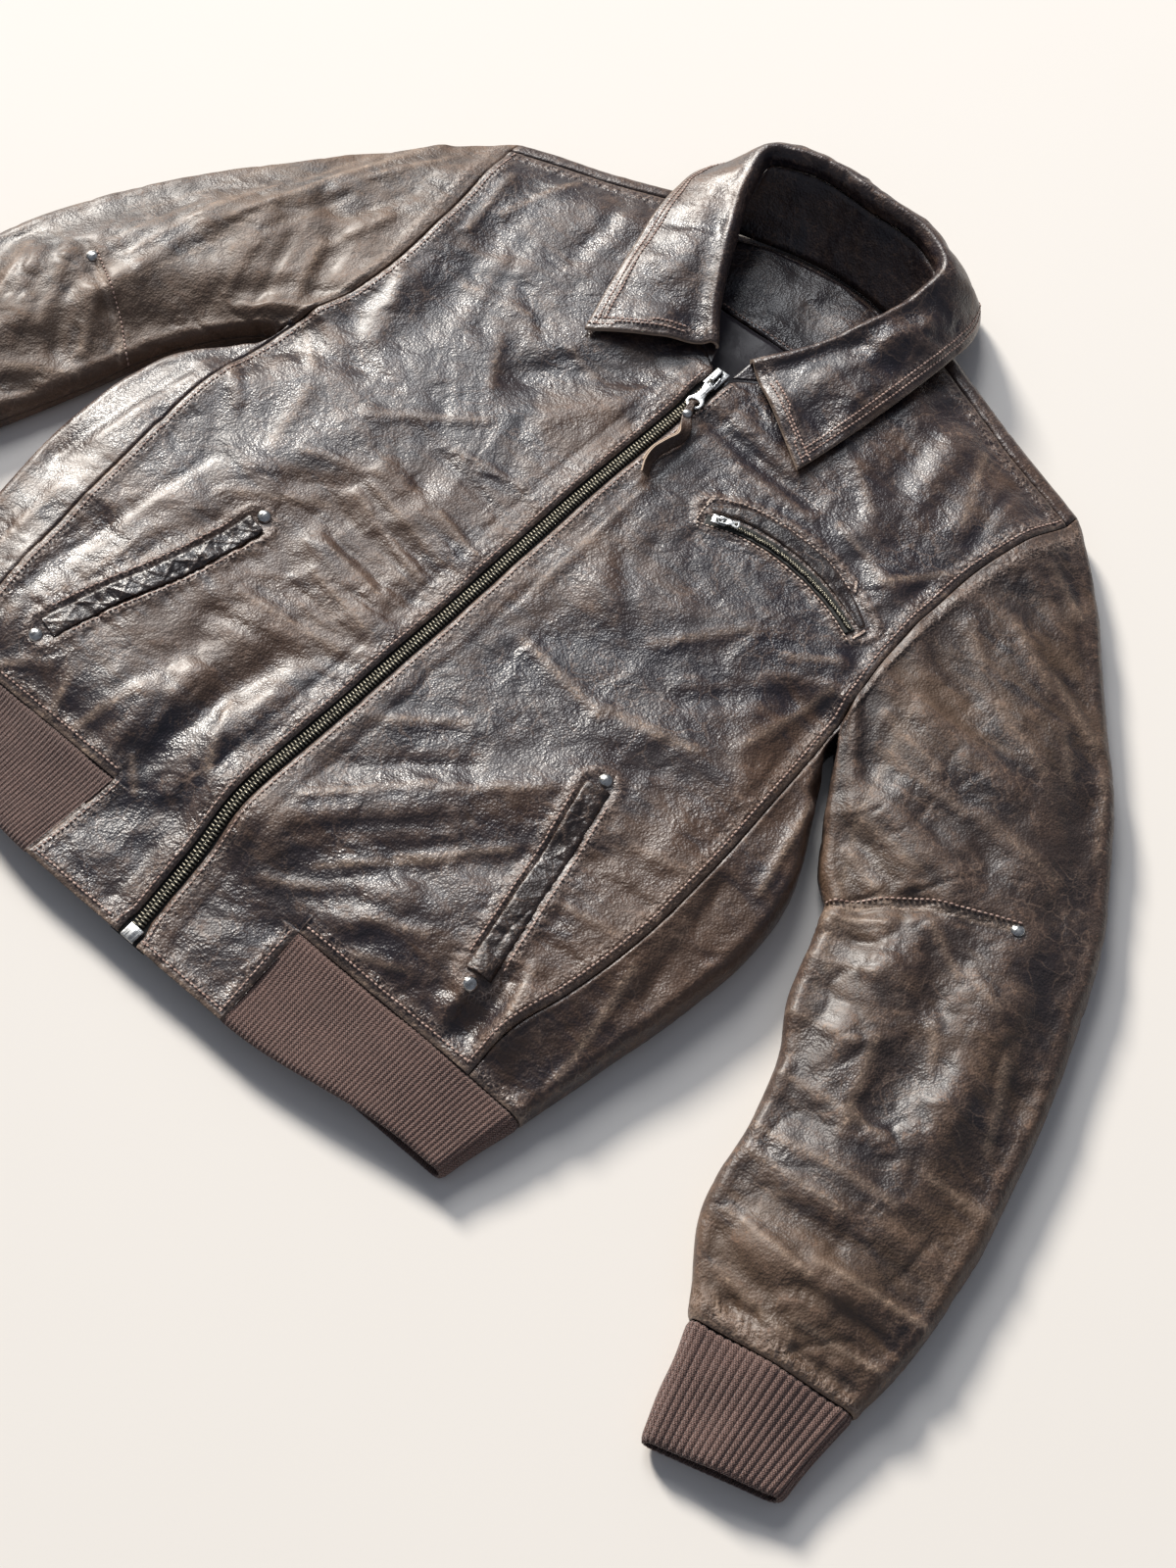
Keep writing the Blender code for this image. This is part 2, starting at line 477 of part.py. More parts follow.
def back(name):
    """Back panel: flat underneath, and wrapped over both shoulders."""
    rings = {s: armhole_ring(s)[0] for s in (1, -1)}
    first = TOP_CELLS + PIT_CELLS
    upper = {s: rings[s][first:first + UNDER_CELLS + 1] for s in (1, -1)}
    wraps = {s: rings[s][first + UNDER_CELLS:] for s in (1, -1)}
    half = [0.0, 0.2, 0.392, 0.6, 0.8, 1.0]
    fraction = np.array([-f for f in half[:0:-1]] + half)
    neck_cell = 2
    rows = []
    for y in low_rows()[:-1]:
        edge = {s: under_seam(s, y) - SEAM for s in (1, -1)}
        rows.append([(f * edge[1] if f >= 0 else f * edge[-1], y, 0.0) for f in fraction])
    count = len(upper[1])
    for k in range(count):
        t = k / (count - 1)
        row = []
        for j, f in enumerate(fraction):
            s = 1 if f >= 0 else -1
            end = upper[s][k]
            x_end = end[0] - s * SEAM
            neck_x = NECK_HALF * smooth(t) + abs(x_end) * half[neck_cell] * (1 - smooth(t))
            a = abs(f)
            if a <= half[neck_cell]:
                x = a / half[neck_cell] * neck_x
            else:
                x = neck_x + (a - half[neck_cell]) / (1 - half[neck_cell]) * (abs(x_end) - neck_x)
            y_high = float(read(SHOULDER, x)) - (EDGE_REACH if a >= half[neck_cell] else
                                                 EDGE_REACH + 3 * (1 - a / half[neck_cell]))
            y = end[1] + (y_high - upper[s][-1][1]) * smooth(t)
            if k == count - 1:
                y = y_high
            row.append((s * x, y, 0.0))
        rows.append(row)
    edge_row = np.array(rows[-1])
    for k in range(1, WRAP_CELLS + 1):
        row = []
        for j, f in enumerate(fraction):
            s = 1 if f >= 0 else -1
            x, y = edge_row[j, 0], edge_row[j, 1]
            if k < WRAP_CELLS:
                arc, _ = turn((x, y), (0, 1), WRAP_CELLS - 1)
                row.append(tuple(arc[::-1][k]))
            else:
                seam = seam_line(np.array([x]))[0]
                row.append((x, seam[1] + SEAM / 2, seam[2]))
        rows.append(row)
    pts = np.array(rows)
    n = grid_normals(pts)
    if n[2, 2, 2] > 0:
        n = -n
    n[:len(pts) - WRAP_CELLS] = (0, 0, -1)
    n[-1] = (0, 0, 1)
    keep = np.ones((len(pts) - 1, len(fraction) - 1), bool)
    middle = len(half) - 1
    keep[-WRAP_CELLS:, middle - neck_cell:middle + neck_cell] = False
    return wall(name, pts, pts - n * LEATHER, keep)


def ellipse_ring(outer, inner, height, low, column_kinds):
    """Flattened ring between an outer and an inner edge point, for listed columns."""
    o, i = np.asarray(outer, float), np.asarray(inner, float)
    across = (i - o) / np.linalg.norm(i - o)
    start, end = o + across * EDGE_REACH, i - across * EDGE_REACH
    width = np.linalg.norm(end - start)
    pts = []
    for kind, t in column_kinds:
        if kind in ("over", "under"):
            p = start + (end - start) * t
            rise = smooth(min(t, 1 - t) * width / ROLL) if kind == "over" else 0
            z = low + (height - low) * rise if kind == "over" else 0.0
        else:
            angle = t
            base, sign = (end, 1) if kind == "pit" else (start, -1)
            p = base + across * sign * EDGE_REACH * math.cos(angle)
            z = low / 2 * (1 + math.sin(angle))
        pts.append((p[0], p[1], z))
    return np.array(pts)


def sleeve_columns():
    """Kind and place of each column of a sleeve, in the order of the armhole ring."""
    cols = [("over", t) for t in np.linspace(0, 1, TOP_CELLS + 1)]
    cols += [("pit", a) for a in np.linspace(math.pi / 2, -math.pi / 2, PIT_CELLS + 1)[1:]]
    cols += [("under", t) for t in np.linspace(1, 0, UNDER_CELLS + 1)[1:]]
    cols += [("shoulder", a) for a in np.linspace(-math.pi / 2, math.pi / 2, WRAP_CELLS)[1:]]
    return cols


def sleeve_knots(side):
    """Stations of a sleeve and how far along it each lies."""
    st = np.asarray(SLEEVE[side], float)
    middle = (st[:, 0:2] + st[:, 2:4]) / 2
    gaps = np.linalg.norm(np.diff(middle, axis=0), axis=1)
    return st, np.concatenate([[0.0], np.cumsum(gaps)]) / gaps.sum()


def sleeve_grid(side, shares):
    """Points of a sleeve: a row at each share of its length."""
    st, knots = sleeve_knots(side)
    cols = sleeve_columns()
    ring, ring_n = armhole_ring(side)
    ring = ring.copy()
    mirrored = ring * (side, 1, 1)
    start = ellipse_ring(st[0, 0:2], st[0, 2:4], st[0, 4], EDGE_HEIGHT, cols)
    rows = []
    for s in shares:
        v = hermite(knots, st, s)[0]
        low = EDGE_HEIGHT - 4.0 * smooth((s - 0.85) / 0.15)
        pts = ellipse_ring(v[0:2], v[2:4], v[4], low, cols)
        over = np.array([kind == "over" for kind, _ in cols])
        place = np.array([t if kind == "over" else 0.0 for kind, t in cols])
        fade = np.sqrt(smooth(np.minimum(place, 1 - place) * 4.0)) * over * smooth((1 - s) / 0.03)
        pts[:, 2] += folds(pts[:, 0], pts[:, 1], SLEEVE_FOLDS[side]) * fade
        pts += (mirrored - start) * (1 - smooth(s / SLEEVE_BLEND))
        rows.append(pts * (side, 1, 1))
    return np.array(rows), ring_n


def sleeve(name, side):
    """One sleeve, cut at its underarm seam."""
    shares = np.concatenate([[0.0], np.linspace(0.035, 1.0, SLEEVE_ROWS - 1)])
    pts, ring_n = sleeve_grid(side, shares)
    n = grid_normals(pts, ring=True)
    if n[5, 5, 2] < 0:
        n = -n
    n[0] = ring_n
    n[-1] = n[-1] - np.array([0, 1, 0]) * n[-1][:, 1:2]
    n /= np.linalg.norm(n, axis=-1, keepdims=True)
    lift = np.zeros_like(pts[0])
    lift[:, 0] = side * SEAM
    pts[0] = pts[0] + lift
    # The underarm seam runs along the inner edge.
    cut = TOP_CELLS + PIT_CELLS // 2
    pts = np.roll(pts, -cut, axis=1)
    n = np.roll(n, -cut, axis=1)
    closing = pts[:, :1].copy()
    closing[..., 2] += SEAM
    pts = np.concatenate([pts, closing], axis=1)
    n = np.concatenate([n, n[:, :1]], axis=1)
    pts = np.maximum(pts, (-1e9, -1e9, 0.0))
    return wall(name, pts, pts - n * LEATHER)


def ribbed_ring(outer, inner, height, low, count):
    """Evenly spaced points of a flattened ring with their outward directions."""
    t = np.linspace(0, 1, 60)
    cols = [("over", v) for v in t] + [("pit", a) for a in np.linspace(math.pi / 2, -math.pi / 2, 30)[1:]]
    cols += [("under", v) for v in t[::-1][1:]]
    cols += [("shoulder", a) for a in np.linspace(-math.pi / 2, math.pi / 2, 30)[1:-1]]
    dense = ellipse_ring(outer, inner, height, low, cols)
    closed = np.concatenate([dense, dense[:1]])
    length = np.concatenate([[0], np.cumsum(np.linalg.norm(np.diff(closed, axis=0), axis=1))])
    at = np.linspace(0, length[-1], count, endpoint=False)
    pts = np.stack([np.interp(at, length, closed[:, k]) for k in range(3)], axis=-1)
    along = np.roll(pts, -1, axis=0) - np.roll(pts, 1, axis=0)
    o, i = np.asarray(outer, float), np.asarray(inner, float)
    axis = np.array([-(i - o)[1], (i - o)[0], 0.0])
    n = np.cross(along, axis)
    n /= np.linalg.norm(n, axis=-1, keepdims=True)
    middle = pts.mean(axis=0)
    if np.sum((pts - middle) * n) < 0:
        n = -n
    return pts, n


def cuff(name, side):
    """Knit cuff: a ribbed tube after the sleeve's end."""
    first = np.asarray(SLEEVE[side][-1], float)
    last = np.asarray(CUFF_END, float)
    start_gap = CUFF_SEAM / np.linalg.norm((last - first)[:4].reshape(2, 2).mean(axis=0))
    outer_rows, inner_rows = [], []
    for t in (start_gap, 0.5, 1.0):
        v = first + (last - first) * t
        crown = v[4] - 2.0 * (t == 0.5)
        pts, n = ribbed_ring(v[0:2], v[2:4], crown, EDGE_HEIGHT - 4.0 - 3.0 * t, CUFF_RIBS * 2)
        wave = np.where(np.arange(len(pts)) % 2 == 0, RIB_DEPTH, 0.0)[:, None]
        shrunk = pts - n * RIB_DEPTH
        out = shrunk + n * wave
        out[:, 2] = np.maximum(out[:, 2], 0.0)
        outer_rows.append(out * (side, 1, 1))
        inner_rows.append((shrunk - n * KNIT) * (side, 1, 1))
    return wall(name, np.array(outer_rows), np.array(inner_rows), ring=True)


def hem_rib(name):
    """Knit hem from one tab round the back to the other; plain underneath."""
    def half(side, y):
        line = float(side_line(side, y))
        low = float(read(EDGE_TABLE, y))
        edge = TAB_EDGE[0] + (TAB_EDGE[1] - TAB_EDGE[0]) * (Y_RIB - y) / (Y_RIB - Y_HEM) + SEAM
        centre = line - EDGE_REACH
        angle = np.linspace(math.pi / 2, -math.pi / 2, 60)
        flat = np.linspace(edge, centre, 80)[:-1]
        x = np.concatenate([flat, centre + EDGE_REACH * np.cos(angle)])
        z = np.concatenate([top(side * flat, np.full_like(flat, y)), low / 2 * (1 + np.sin(angle))])
        length = np.concatenate([[0], np.cumsum(np.hypot(np.diff(x), np.diff(z)))])
        count = 2 * int(round((float(side_line(side, Y_RIB)) - 60.0) / HEM_RIB_PITCH))
        at = np.linspace(0, length[-1], count + 1)
        px, pz = np.interp(at, length, x), np.interp(at, length, z)
        n = np.column_stack([-np.gradient(pz), np.gradient(px)])
        n /= np.linalg.norm(n, axis=1, keepdims=True)
        return px, pz, n, centre

    outer_rows, inner_rows = [], []
    for y in (Y_RIB - SEAM, Y_HEM):
        left, right = half(1, y), half(-1, y)
        rise = HEM_LIFT if y == Y_HEM else 0.0
        under = np.linspace(left[3], -right[3], 12)[1:-1]
        outs, ins = [], []
        for side, (px, pz, n, _) in ((1, left), (-1, right)):
            wave = np.where(np.arange(len(px)) % 2 == 1, 0.0, RIB_DEPTH)
            wave[-4:] = RIB_DEPTH
            o = np.column_stack([px - n[:, 0] * (RIB_DEPTH - wave), pz - n[:, 1] * (RIB_DEPTH - wave)])
            i = np.column_stack([px - n[:, 0] * (RIB_DEPTH + KNIT), pz - n[:, 1] * (RIB_DEPTH + KNIT)])
            o[:, 1] = np.maximum(o[:, 1], 0.0)
            foot = y + rise * smooth((px - TAB_EDGE[1]) / 140.0)
            outs.append(np.column_stack([side * o[:, 0], foot, o[:, 1]]))
            ins.append(np.column_stack([side * i[:, 0], foot, i[:, 1]]))
        flat_out = np.column_stack([under, np.full(len(under), y + rise), np.zeros(len(under))])
        flat_in = flat_out + (0, 0, RIB_DEPTH + KNIT)
        outer_rows.append(np.concatenate([outs[0], flat_out, outs[1][::-1]]))
        inner_rows.append(np.concatenate([ins[0], flat_in, ins[1][::-1]]))
    return wall(name, np.array(outer_rows), np.array(inner_rows))


def stand_foot(share):
    """Foot of the collar stand at shares of its length, lifted onto the panels."""
    foot = through(STAND_FOOT, share)
    on_front = foot[:, 1] < 378
    foot[:, 2] = np.where(on_front, top(foot[:, 0], foot[:, 1]) + 0.3, np.maximum(foot[:, 2], LEATHER + 0.6))
    return foot


def collar_profiles(share):
    """Control points across the collar at shares of its length: seam, roll, outer edge."""
    roll, edge = through(ROLL_LINE, share), through(LEAF_EDGE, share)
    away = roll[:, :2] - np.array(NECK_CENTRE)
    tangent = np.gradient(roll[:, :2], axis=0)
    out = np.column_stack([tangent[:, 1], -tangent[:, 0]])
    out /= np.linalg.norm(out, axis=1, keepdims=True)
    out *= np.sign(np.sum(out * away, axis=1))[:, None]
    out = np.column_stack([out, np.zeros(len(out))])
    up = np.array([0.0, 0.0, 1.0])
    lift = top(edge[:, 0], edge[:, 1]) + LEAF_LIFT
    on_front = edge[:, 1] < 396
    edge[:, 2] = np.where(on_front, np.maximum(edge[:, 2], lift), edge[:, 2])
    foot = stand_foot(share)
    drop = np.clip(roll[:, 2] - foot[:, 2] - STAND_LEAST, 4.0, SEAM_BELOW_ROLL)[:, None]
    seam = roll - out * 6.5 - up * drop
    return seam, roll, edge, out, up, drop


def collar_fall(name):
    """Collar fall: up from the stand seam, over the roll and down to its outer edge."""
    share = np.linspace(0, 1, COLLAR_STEPS + 1)
    seam, roll, edge, out, up, drop = collar_profiles(share)
    across = np.array([0.0, 0.10, 0.17, 0.25, 0.33, 0.47, 0.64, 0.82, 1.0])
    rows = []
    for k in range(len(share)):
        near = roll[k] + out[k] * 5.0 - up * 2.2
        leaf = edge[k] - near
        bulge = up * 3.0 + out[k] * 2.0
        path = [seam[k], roll[k] - out[k] * 4.8 - up * drop[k] / 3.0, roll[k], near,
                near + leaf * 0.33 + bulge, near + leaf * 0.68 + bulge * 0.8, edge[k]]
        rows.append(through(path, across))
    pts = np.array(rows)
    n = grid_normals(pts)
    if n[COLLAR_STEPS // 2, 5, 1] < 0:
        n = -n
    inside = pts - n * COLLAR_LEATHER
    return wall(name, pts, inside)


def collar_stand(name):
    """Collar stand: from the neckline up to the seam below the roll."""
    share = np.linspace(0, 1, COLLAR_STEPS + 1)
    seam, _, _, out, up, _ = collar_profiles(share)
    foot = stand_foot(share)
    head = seam + out * (LEATHER + 0.2) - up * 1.9
    belly = out * np.clip((seam - foot)[:, 2:] / 30.0, 0, 1) * 2.0
    pts = np.stack([foot + (head - foot) * t + belly * math.sin(math.pi * t) for t in (0, 0.5, 1.0)], axis=1)
    n = grid_normals(pts)
    if n[COLLAR_STEPS // 2, 1, 1] < 0:
        n = -n
    return wall(name, pts, pts - n * LEATHER)


def strip(name, tree, path, half_width, lift, thick, rows, cols=2):
    """Strip lying on a panel along a path; half_width may change along it."""
    share = np.linspace(0, 1, rows)
    line = through(path, share)
    along = np.gradient(line, axis=0)
    across = np.column_stack([-along[:, 1], along[:, 0]])
    across /= np.linalg.norm(across, axis=1, keepdims=True)
    half = np.array([half_width(t) for t in share])
    place = np.linspace(-1, 1, cols + 1)
    plan = line[:, None, :] + across[:, None, :] * half[:, None, None] * place[None, :, None]
    seat = np.array([[highest_near(tree, p, SEAT_REACH) for p in row] for row in plan])
    normals = top_normal(plan[..., 0], plan[..., 1])
    return wall(name, seat + normals * (lift + thick), seat + normals * lift)


def zip_rows():
    """Rows of the zip: those of the fronts' inner edge."""
    upper = rows_between(Y_PIT, Y_ZIP_TOP, 20.0)
    return np.concatenate([rows_between(Y_HEM, Y_RIB, 23.0)[:-1], low_rows()[:-1], upper])


def zip_level(y):
    """Level of the fronts beside the zip."""
    return min(float(top(zip_x(y) + ZIP_HALF_GAP, y)), float(top(zip_x(y) - ZIP_HALF_GAP, y)))


def zip_strip(name, rows, low_x, high_x, top_drop, thick):
    """Lengthwise strip of the zip between two distances from the zip line."""
    x = np.array([[zip_x(y) + low_x, zip_x(y) + high_x] for y in rows])
    y = np.repeat(np.asarray(rows)[:, None], 2, axis=1)
    z = np.array([[zip_level(v)] * 2 for v in rows])
    outer = np.stack([x, y, z - top_drop], axis=-1)
    inner = outer - (0, 0, thick)
    return wall(name, outer, inner)


def blocks(name, boxes, place, turn_z=0.0):
    """One solid from boxes that share faces, turned about Z and moved to its place."""
    b = np.asarray(boxes, float)
    grids = [np.unique(np.round(np.concatenate([b[:, k], b[:, k + 3]]), 4)) for k in range(3)]
    mids = [(g[1:] + g[:-1]) / 2 for g in grids]
    solid = np.zeros([len(m) for m in mids], bool)
    for x0, y0, z0, x1, y1, z1 in b:
        sel = np.ix_((mids[0] > x0) & (mids[0] < x1), (mids[1] > y0) & (mids[1] < y1),
                     (mids[2] > z0) & (mids[2] < z1))
        solid[sel] = True
    padded = np.pad(solid, 1)
    index, verts, faces = {}, [], []

    def corner(i, j, k):
        if (i, j, k) not in index:
            index[(i, j, k)] = len(verts)
            verts.append((grids[0][i], grids[1][j], grids[2][k]))
        return index[(i, j, k)]

    steps = [(1, 0, 0), (0, 1, 0), (0, 0, 1)]
    for i, j, k in np.argwhere(solid):
        for axis, (a, c, d) in enumerate(steps):
            for sign in (1, -1):
                if padded[i + 1 + sign * a, j + 1 + sign * c, k + 1 + sign * d]:
                    continue
                at = [i, j, k]
                at[axis] += 1 if sign > 0 else 0
                u, v = [(0, 1, 0), (0, 0, 1)] if axis == 0 else ([(0, 0, 1), (1, 0, 0)] if axis == 1
                                                                  else [(1, 0, 0), (0, 1, 0)])
                quad = [(0, 0), (1, 0), (1, 1), (0, 1)] if sign > 0 else [(0, 0), (0, 1), (1, 1), (1, 0)]
                faces.append(tuple(corner(at[0] + p * u[0] + q * v[0], at[1] + p * u[1] + q * v[1],
                                          at[2] + p * u[2] + q * v[2]) for p, q in quad))
    c, s = math.cos(turn_z), math.sin(turn_z)
    moved = [(place[0] + c * x - s * y, place[1] + s * x + c * y, place[2] + z) for x, y, z in verts]
    return make_object(name, moved, faces)


def plate(name, outline, holes, z0, z1, place, turn_z=0.0):
    """Flat plate with holes, from its outline."""
    loops = [list(outline)] + [list(h) for h in holes]
    points, edges = [], []
    for loop in loops:
        start = len(points)
        points += [Vector(p) for p in loop]
        edges += [(start + i, start + (i + 1) % len(loop)) for i in range(len(loop))]
    flat, _, tris, *_ = delaunay_2d_cdt(points, edges, [], 1, 1e-6)
    kept = []
    for t in tris:
        c = sum((flat[i] for i in t), Vector((0, 0))) / 3
        if not any(inside_loop(c, h) for h in holes):
            kept.append(tuple(t))
    count = len(flat)
    c, s = math.cos(turn_z), math.sin(turn_z)
    verts = [(place[0] + c * p[0] - s * p[1], place[1] + s * p[0] + c * p[1], place[2] + z)
             for z in (z0, z1) for p in flat]
    faces = [tuple(reversed(t)) for t in kept] + [tuple(i + count for i in t) for t in kept]
    sides = {}
    for t in kept:
        for i in range(3):
            sides[(t[i], t[(i + 1) % 3])] = True
    for a, b in sides:
        if (b, a) not in sides:
            faces.append((a, b, b + count, a + count))
    return make_object(name, verts, faces)


def inside_loop(point, loop):
    """Whether a point lies inside a loop."""
    odd = False
    for i in range(len(loop)):
        (x0, y0), (x1, y1) = loop[i], loop[(i + 1) % len(loop)]
        if (y0 > point[1]) != (y1 > point[1]):
            if point[0] < (x1 - x0) * (point[1] - y0) / (y1 - y0) + x0:
                odd = not odd
    return odd


def circle(cx, cy, r, count):
    """Points of a circle."""
    return [(cx + r * math.cos(2 * math.pi * i / count), cy + r * math.sin(2 * math.pi * i / count))
            for i in range(count)]


def dome(name, point, normal, radius, height, sides=10):
    """Domed rivet head, seated on a point of a face."""
    n = Vector(normal).normalized()
    u = n.orthogonal().normalized()
    v = n.cross(u)
    rings = [(0.0, 0.92), (0.25, 1.0), (0.62, 0.78), (0.9, 0.42)]
    verts, faces = [], []
    for z, r in rings:
        for i in range(sides):
            a = 2 * math.pi * i / sides
            verts.append(Vector(point) + n * z * height + (u * math.cos(a) + v * math.sin(a)) * r * radius)
    verts += [Vector(point), Vector(point) + n * height]
    foot, tip = len(verts) - 2, len(verts) - 1
    for i in range(sides):
        j = (i + 1) % sides
        faces.append((foot, j, i))
        for k in range(len(rings) - 1):
            faces.append((k * sides + i, k * sides + j, (k + 1) * sides + j, (k + 1) * sides + i))
        faces.append(((len(rings) - 1) * sides + i, (len(rings) - 1) * sides + j, tip))
    return make_object(name, [tuple(p) for p in verts], faces)


def surface_of(obj):
    """Search tree of an object's faces."""
    mesh = obj.data
    corners = [v.co.copy() for v in mesh.vertices]
    return BVHTree.FromPolygons(corners, [tuple(p.vertices) for p in mesh.polygons])


def drop_on(tree, x, y):
    """Point and direction of the face met from above, in millimetres."""
    hit, normal, _, _ = tree.ray_cast(Vector((x * MM, y * MM, 1.0)), Vector((0, 0, -1)))
    return np.array(hit) / MM, normal


def highest_near(tree, plan, reach):
    """Point over plan, as high as the highest face within reach of it."""
    turns = [math.pi / 4 * i for i in range(8)]
    around = [(0, 0)] + [(reach * math.cos(a), reach * math.sin(a)) for a in turns]
    found = [drop_on(tree, plan[0] + dx, plan[1] + dy)[0] for dx, dy in around]
    return np.array([plan[0], plan[1], max(p[2] for p in found)])


def rivet(name, tree, x, y):
    """Rivet seated just above the highest point under its head."""
    point, normal = drop_on(tree, x, y)
    n = np.array(normal)
    lift = 0.0
    for i in range(36):
        a, r = math.pi / 6 * i, RIVET_RADIUS * (1, 0.66, 0.33)[i // 12]
        near, _ = drop_on(tree, x + r * math.cos(a), y + r * math.sin(a))
        lift = max(lift, float(np.dot(near - point, n)))
    return dome(name, point + n * (lift + 0.35), n, RIVET_RADIUS, RIVET_HEIGHT)


MATERIALS = {
    "leather": ((0.075, 0.046, 0.034), 0.42, 0.0),
    "sleeve_leather": ((0.085, 0.055, 0.040), 0.45, 0.0),
    "welt_leather": ((0.045, 0.026, 0.020), 0.40, 0.0),
    "rib_knit": ((0.040, 0.024, 0.019), 0.90, 0.0),
    "lining": ((0.060, 0.045, 0.055), 0.45, 0.0),
    "zip_tape": ((0.020, 0.016, 0.014), 0.85, 0.0),
    "antique_brass": ((0.28, 0.22, 0.13), 0.38, 1.0),
    "silver_metal": ((0.55, 0.55, 0.54), 0.30, 1.0),
    "strap_leather": ((0.22, 0.12, 0.07), 0.60, 0.0),
}


def breast_pocket(tree):
    """Welt, tape, chain, slider and pull of the breast pocket."""
    ends, middle = BREAST_WELT_HALF

    def welt_half(t):
        return ends + (middle - ends) * math.sin(math.pi * t) ** 0.7

    chain_path = through(BREAST_ZIP, np.linspace(0.16, 0.99, 9))
    made = [(strip("breast_welt", tree, BREAST_WELT, welt_half, WELT_LIFT, 1.6, 12), "welt_leather"),
            (strip("breast_zip_tape", tree, BREAST_ZIP, lambda t: BREAST_ZIP_HALF, WELT_LIFT, 1.0, 12),
             "zip_tape"),
            (strip("breast_zip_chain", tree, chain_path, lambda t: 1.6, WELT_LIFT + 1.45, 1.15, 12, 1),
             "antique_brass")]
    start, after = through(BREAST_ZIP, 0.07)[0], through(BREAST_ZIP, 0.16)[0]
    turn_z = math.atan2(after[1] - start[1], after[0] - start[0])
    place = (start[0], start[1], drop_on(tree, *start)[0][2])
    made.append((blocks("breast_slider", BREAST_SLIDER, place, turn_z), "silver_metal"))
    made.append((plate("breast_pull", BREAST_PULL, [BREAST_PULL_WINDOW, circle(11.8, 0, 1.3, 8)], 4.2, 4.9,
                       place, turn_z), "silver_metal"))
    return made


def zip_place():
    """Point of the zip line at the slider, on the level of the fronts."""
    return (zip_x(SLIDER_Y), SLIDER_Y, zip_level(SLIDER_Y))


def front_zip():
    """Tapes, chain, bottom box, slider, pull, strap and stud of the front zip."""
    rows = zip_rows()
    tape_rows = np.append(rows[:-1], SLIDER_Y + 1.5)
    chain_rows = rows[(rows > Y_HEM + 11) & (rows < SLIDER_Y - 8)]
    chain_rows = np.concatenate([[Y_HEM + 10.6], chain_rows, [SLIDER_Y + 1.0]])
    made = [(zip_strip("zip_tape_left", tape_rows, SEAM / 2, TAPE_REACH, TAPE_DROP, 1.0), "zip_tape"),
            (zip_strip("zip_tape_right", tape_rows, -TAPE_REACH, -SEAM / 2, TAPE_DROP, 1.0), "zip_tape"),
            (zip_strip("zip_chain", chain_rows, -CHAIN_HALF, CHAIN_HALF, 0.1, TAPE_DROP - 0.6),
             "antique_brass")]
    foot = (zip_x(Y_HEM), Y_HEM, zip_level(Y_HEM))
    box = (-5.2, 0.0, 0.5 - TAPE_DROP, 5.2, 10.0, 0.7)
    made.append((blocks("zip_bottom_box", [box], foot), "silver_metal"))
    place = zip_place()
    made.append((blocks("zip_slider", SLIDER, place), "silver_metal"))
    windows = [ZIP_PULL_WINDOW, oval(0, -27.4, 4.2, 2.7, 12)]
    made.append((plate("zip_pull", ZIP_PULL, windows, 2.8, 4.0, place, PULL_TURN), "silver_metal"))
    made += pull_strap(place)
    return made


def oval(cx, cy, rx, ry, count):
    """Points of an oval."""
    return [(cx + rx * math.cos(2 * math.pi * i / count), cy + ry * math.sin(2 * math.pi * i / count))
            for i in range(count)]


def strap_frame(place):
    """Middle line of the doubled strap, its direction across and its normal, at each step."""
    share = np.linspace(0, 1, STRAP_STEPS + 1)
    middle = through([(place[0] + x, place[1] + y, 0.0) for x, y, _ in STRAP], share)
    lift = through([(x, y, z) for x, y, z in STRAP], share)[:, 2]
    level = np.maximum(top(middle[:, 0], middle[:, 1]), place[2])
    middle[:, 2] = level + lift
    along = np.gradient(middle, axis=0)
    along /= np.linalg.norm(along, axis=1, keepdims=True)
    flat = np.cross(along, (0.0, 0.0, 1.0))
    flat /= np.linalg.norm(flat, axis=1, keepdims=True)
    up = np.cross(flat, along)
    tilt = STRAP_TILT * smooth((share - 0.12) / 0.3)[:, None]
    across = flat * np.cos(tilt) + up * np.sin(tilt)
    return middle, across, np.cross(across, along)


def pull_strap(place):
    """Doubled leather strap through the pull's hole, with its stud."""
    middle, across, normal = strap_frame(place)
    half = 2.7 + 1.5 * smooth(np.arange(len(middle)) / 4.0)
    offset = (STRAP_LEATHER + 0.6) / 2
    hole = rotate_z((0.0, -27.6), PULL_TURN)
    bend = []
    for y, z in ((0.0, 5.9), (2.6, 5.7), (3.6, 3.4), (2.6, 1.1), (0.0, 0.9)):
        bend.append((place[0] + hole[0] + 0.12 * y, place[1] + hole[1] - 2.9 + y, place[2] + z))
    bend = np.array(bend)
    upper = (middle + normal * offset)[::-1]
    lower = (middle - normal * offset)[:-STRAP_SHORTER]
    line = np.concatenate([upper[:-1], bend, lower[1:]])
    turned = np.repeat(across[:1], len(bend), axis=0)
    spread = np.concatenate([across[::-1][:-1], turned, across[:-STRAP_SHORTER][1:]])
    width = np.concatenate([half[::-1][:-1], np.full(len(bend), 2.1), half[:-STRAP_SHORTER][1:]])
    places = width[:, None, None] * np.array([-1.0, 0.0, 1.0])[None, :, None]
    pts = line[:, None, :] + spread[:, None, :] * places
    along = np.gradient(line, axis=0)
    n = np.cross(spread, along)
    n /= np.linalg.norm(n, axis=1, keepdims=True)
    thick = n[:, None, :] * STRAP_LEATHER / 2
    strap = wall("pull_strap", pts + thick, pts - thick)
    seat = middle[STUD_STEP] + normal[STUD_STEP] * (offset + STRAP_LEATHER / 2 + 0.95)
    return [(strap, "strap_leather"), (dome("pull_stud", seat, normal[STUD_STEP], 3.4, 1.9), "silver_metal")]


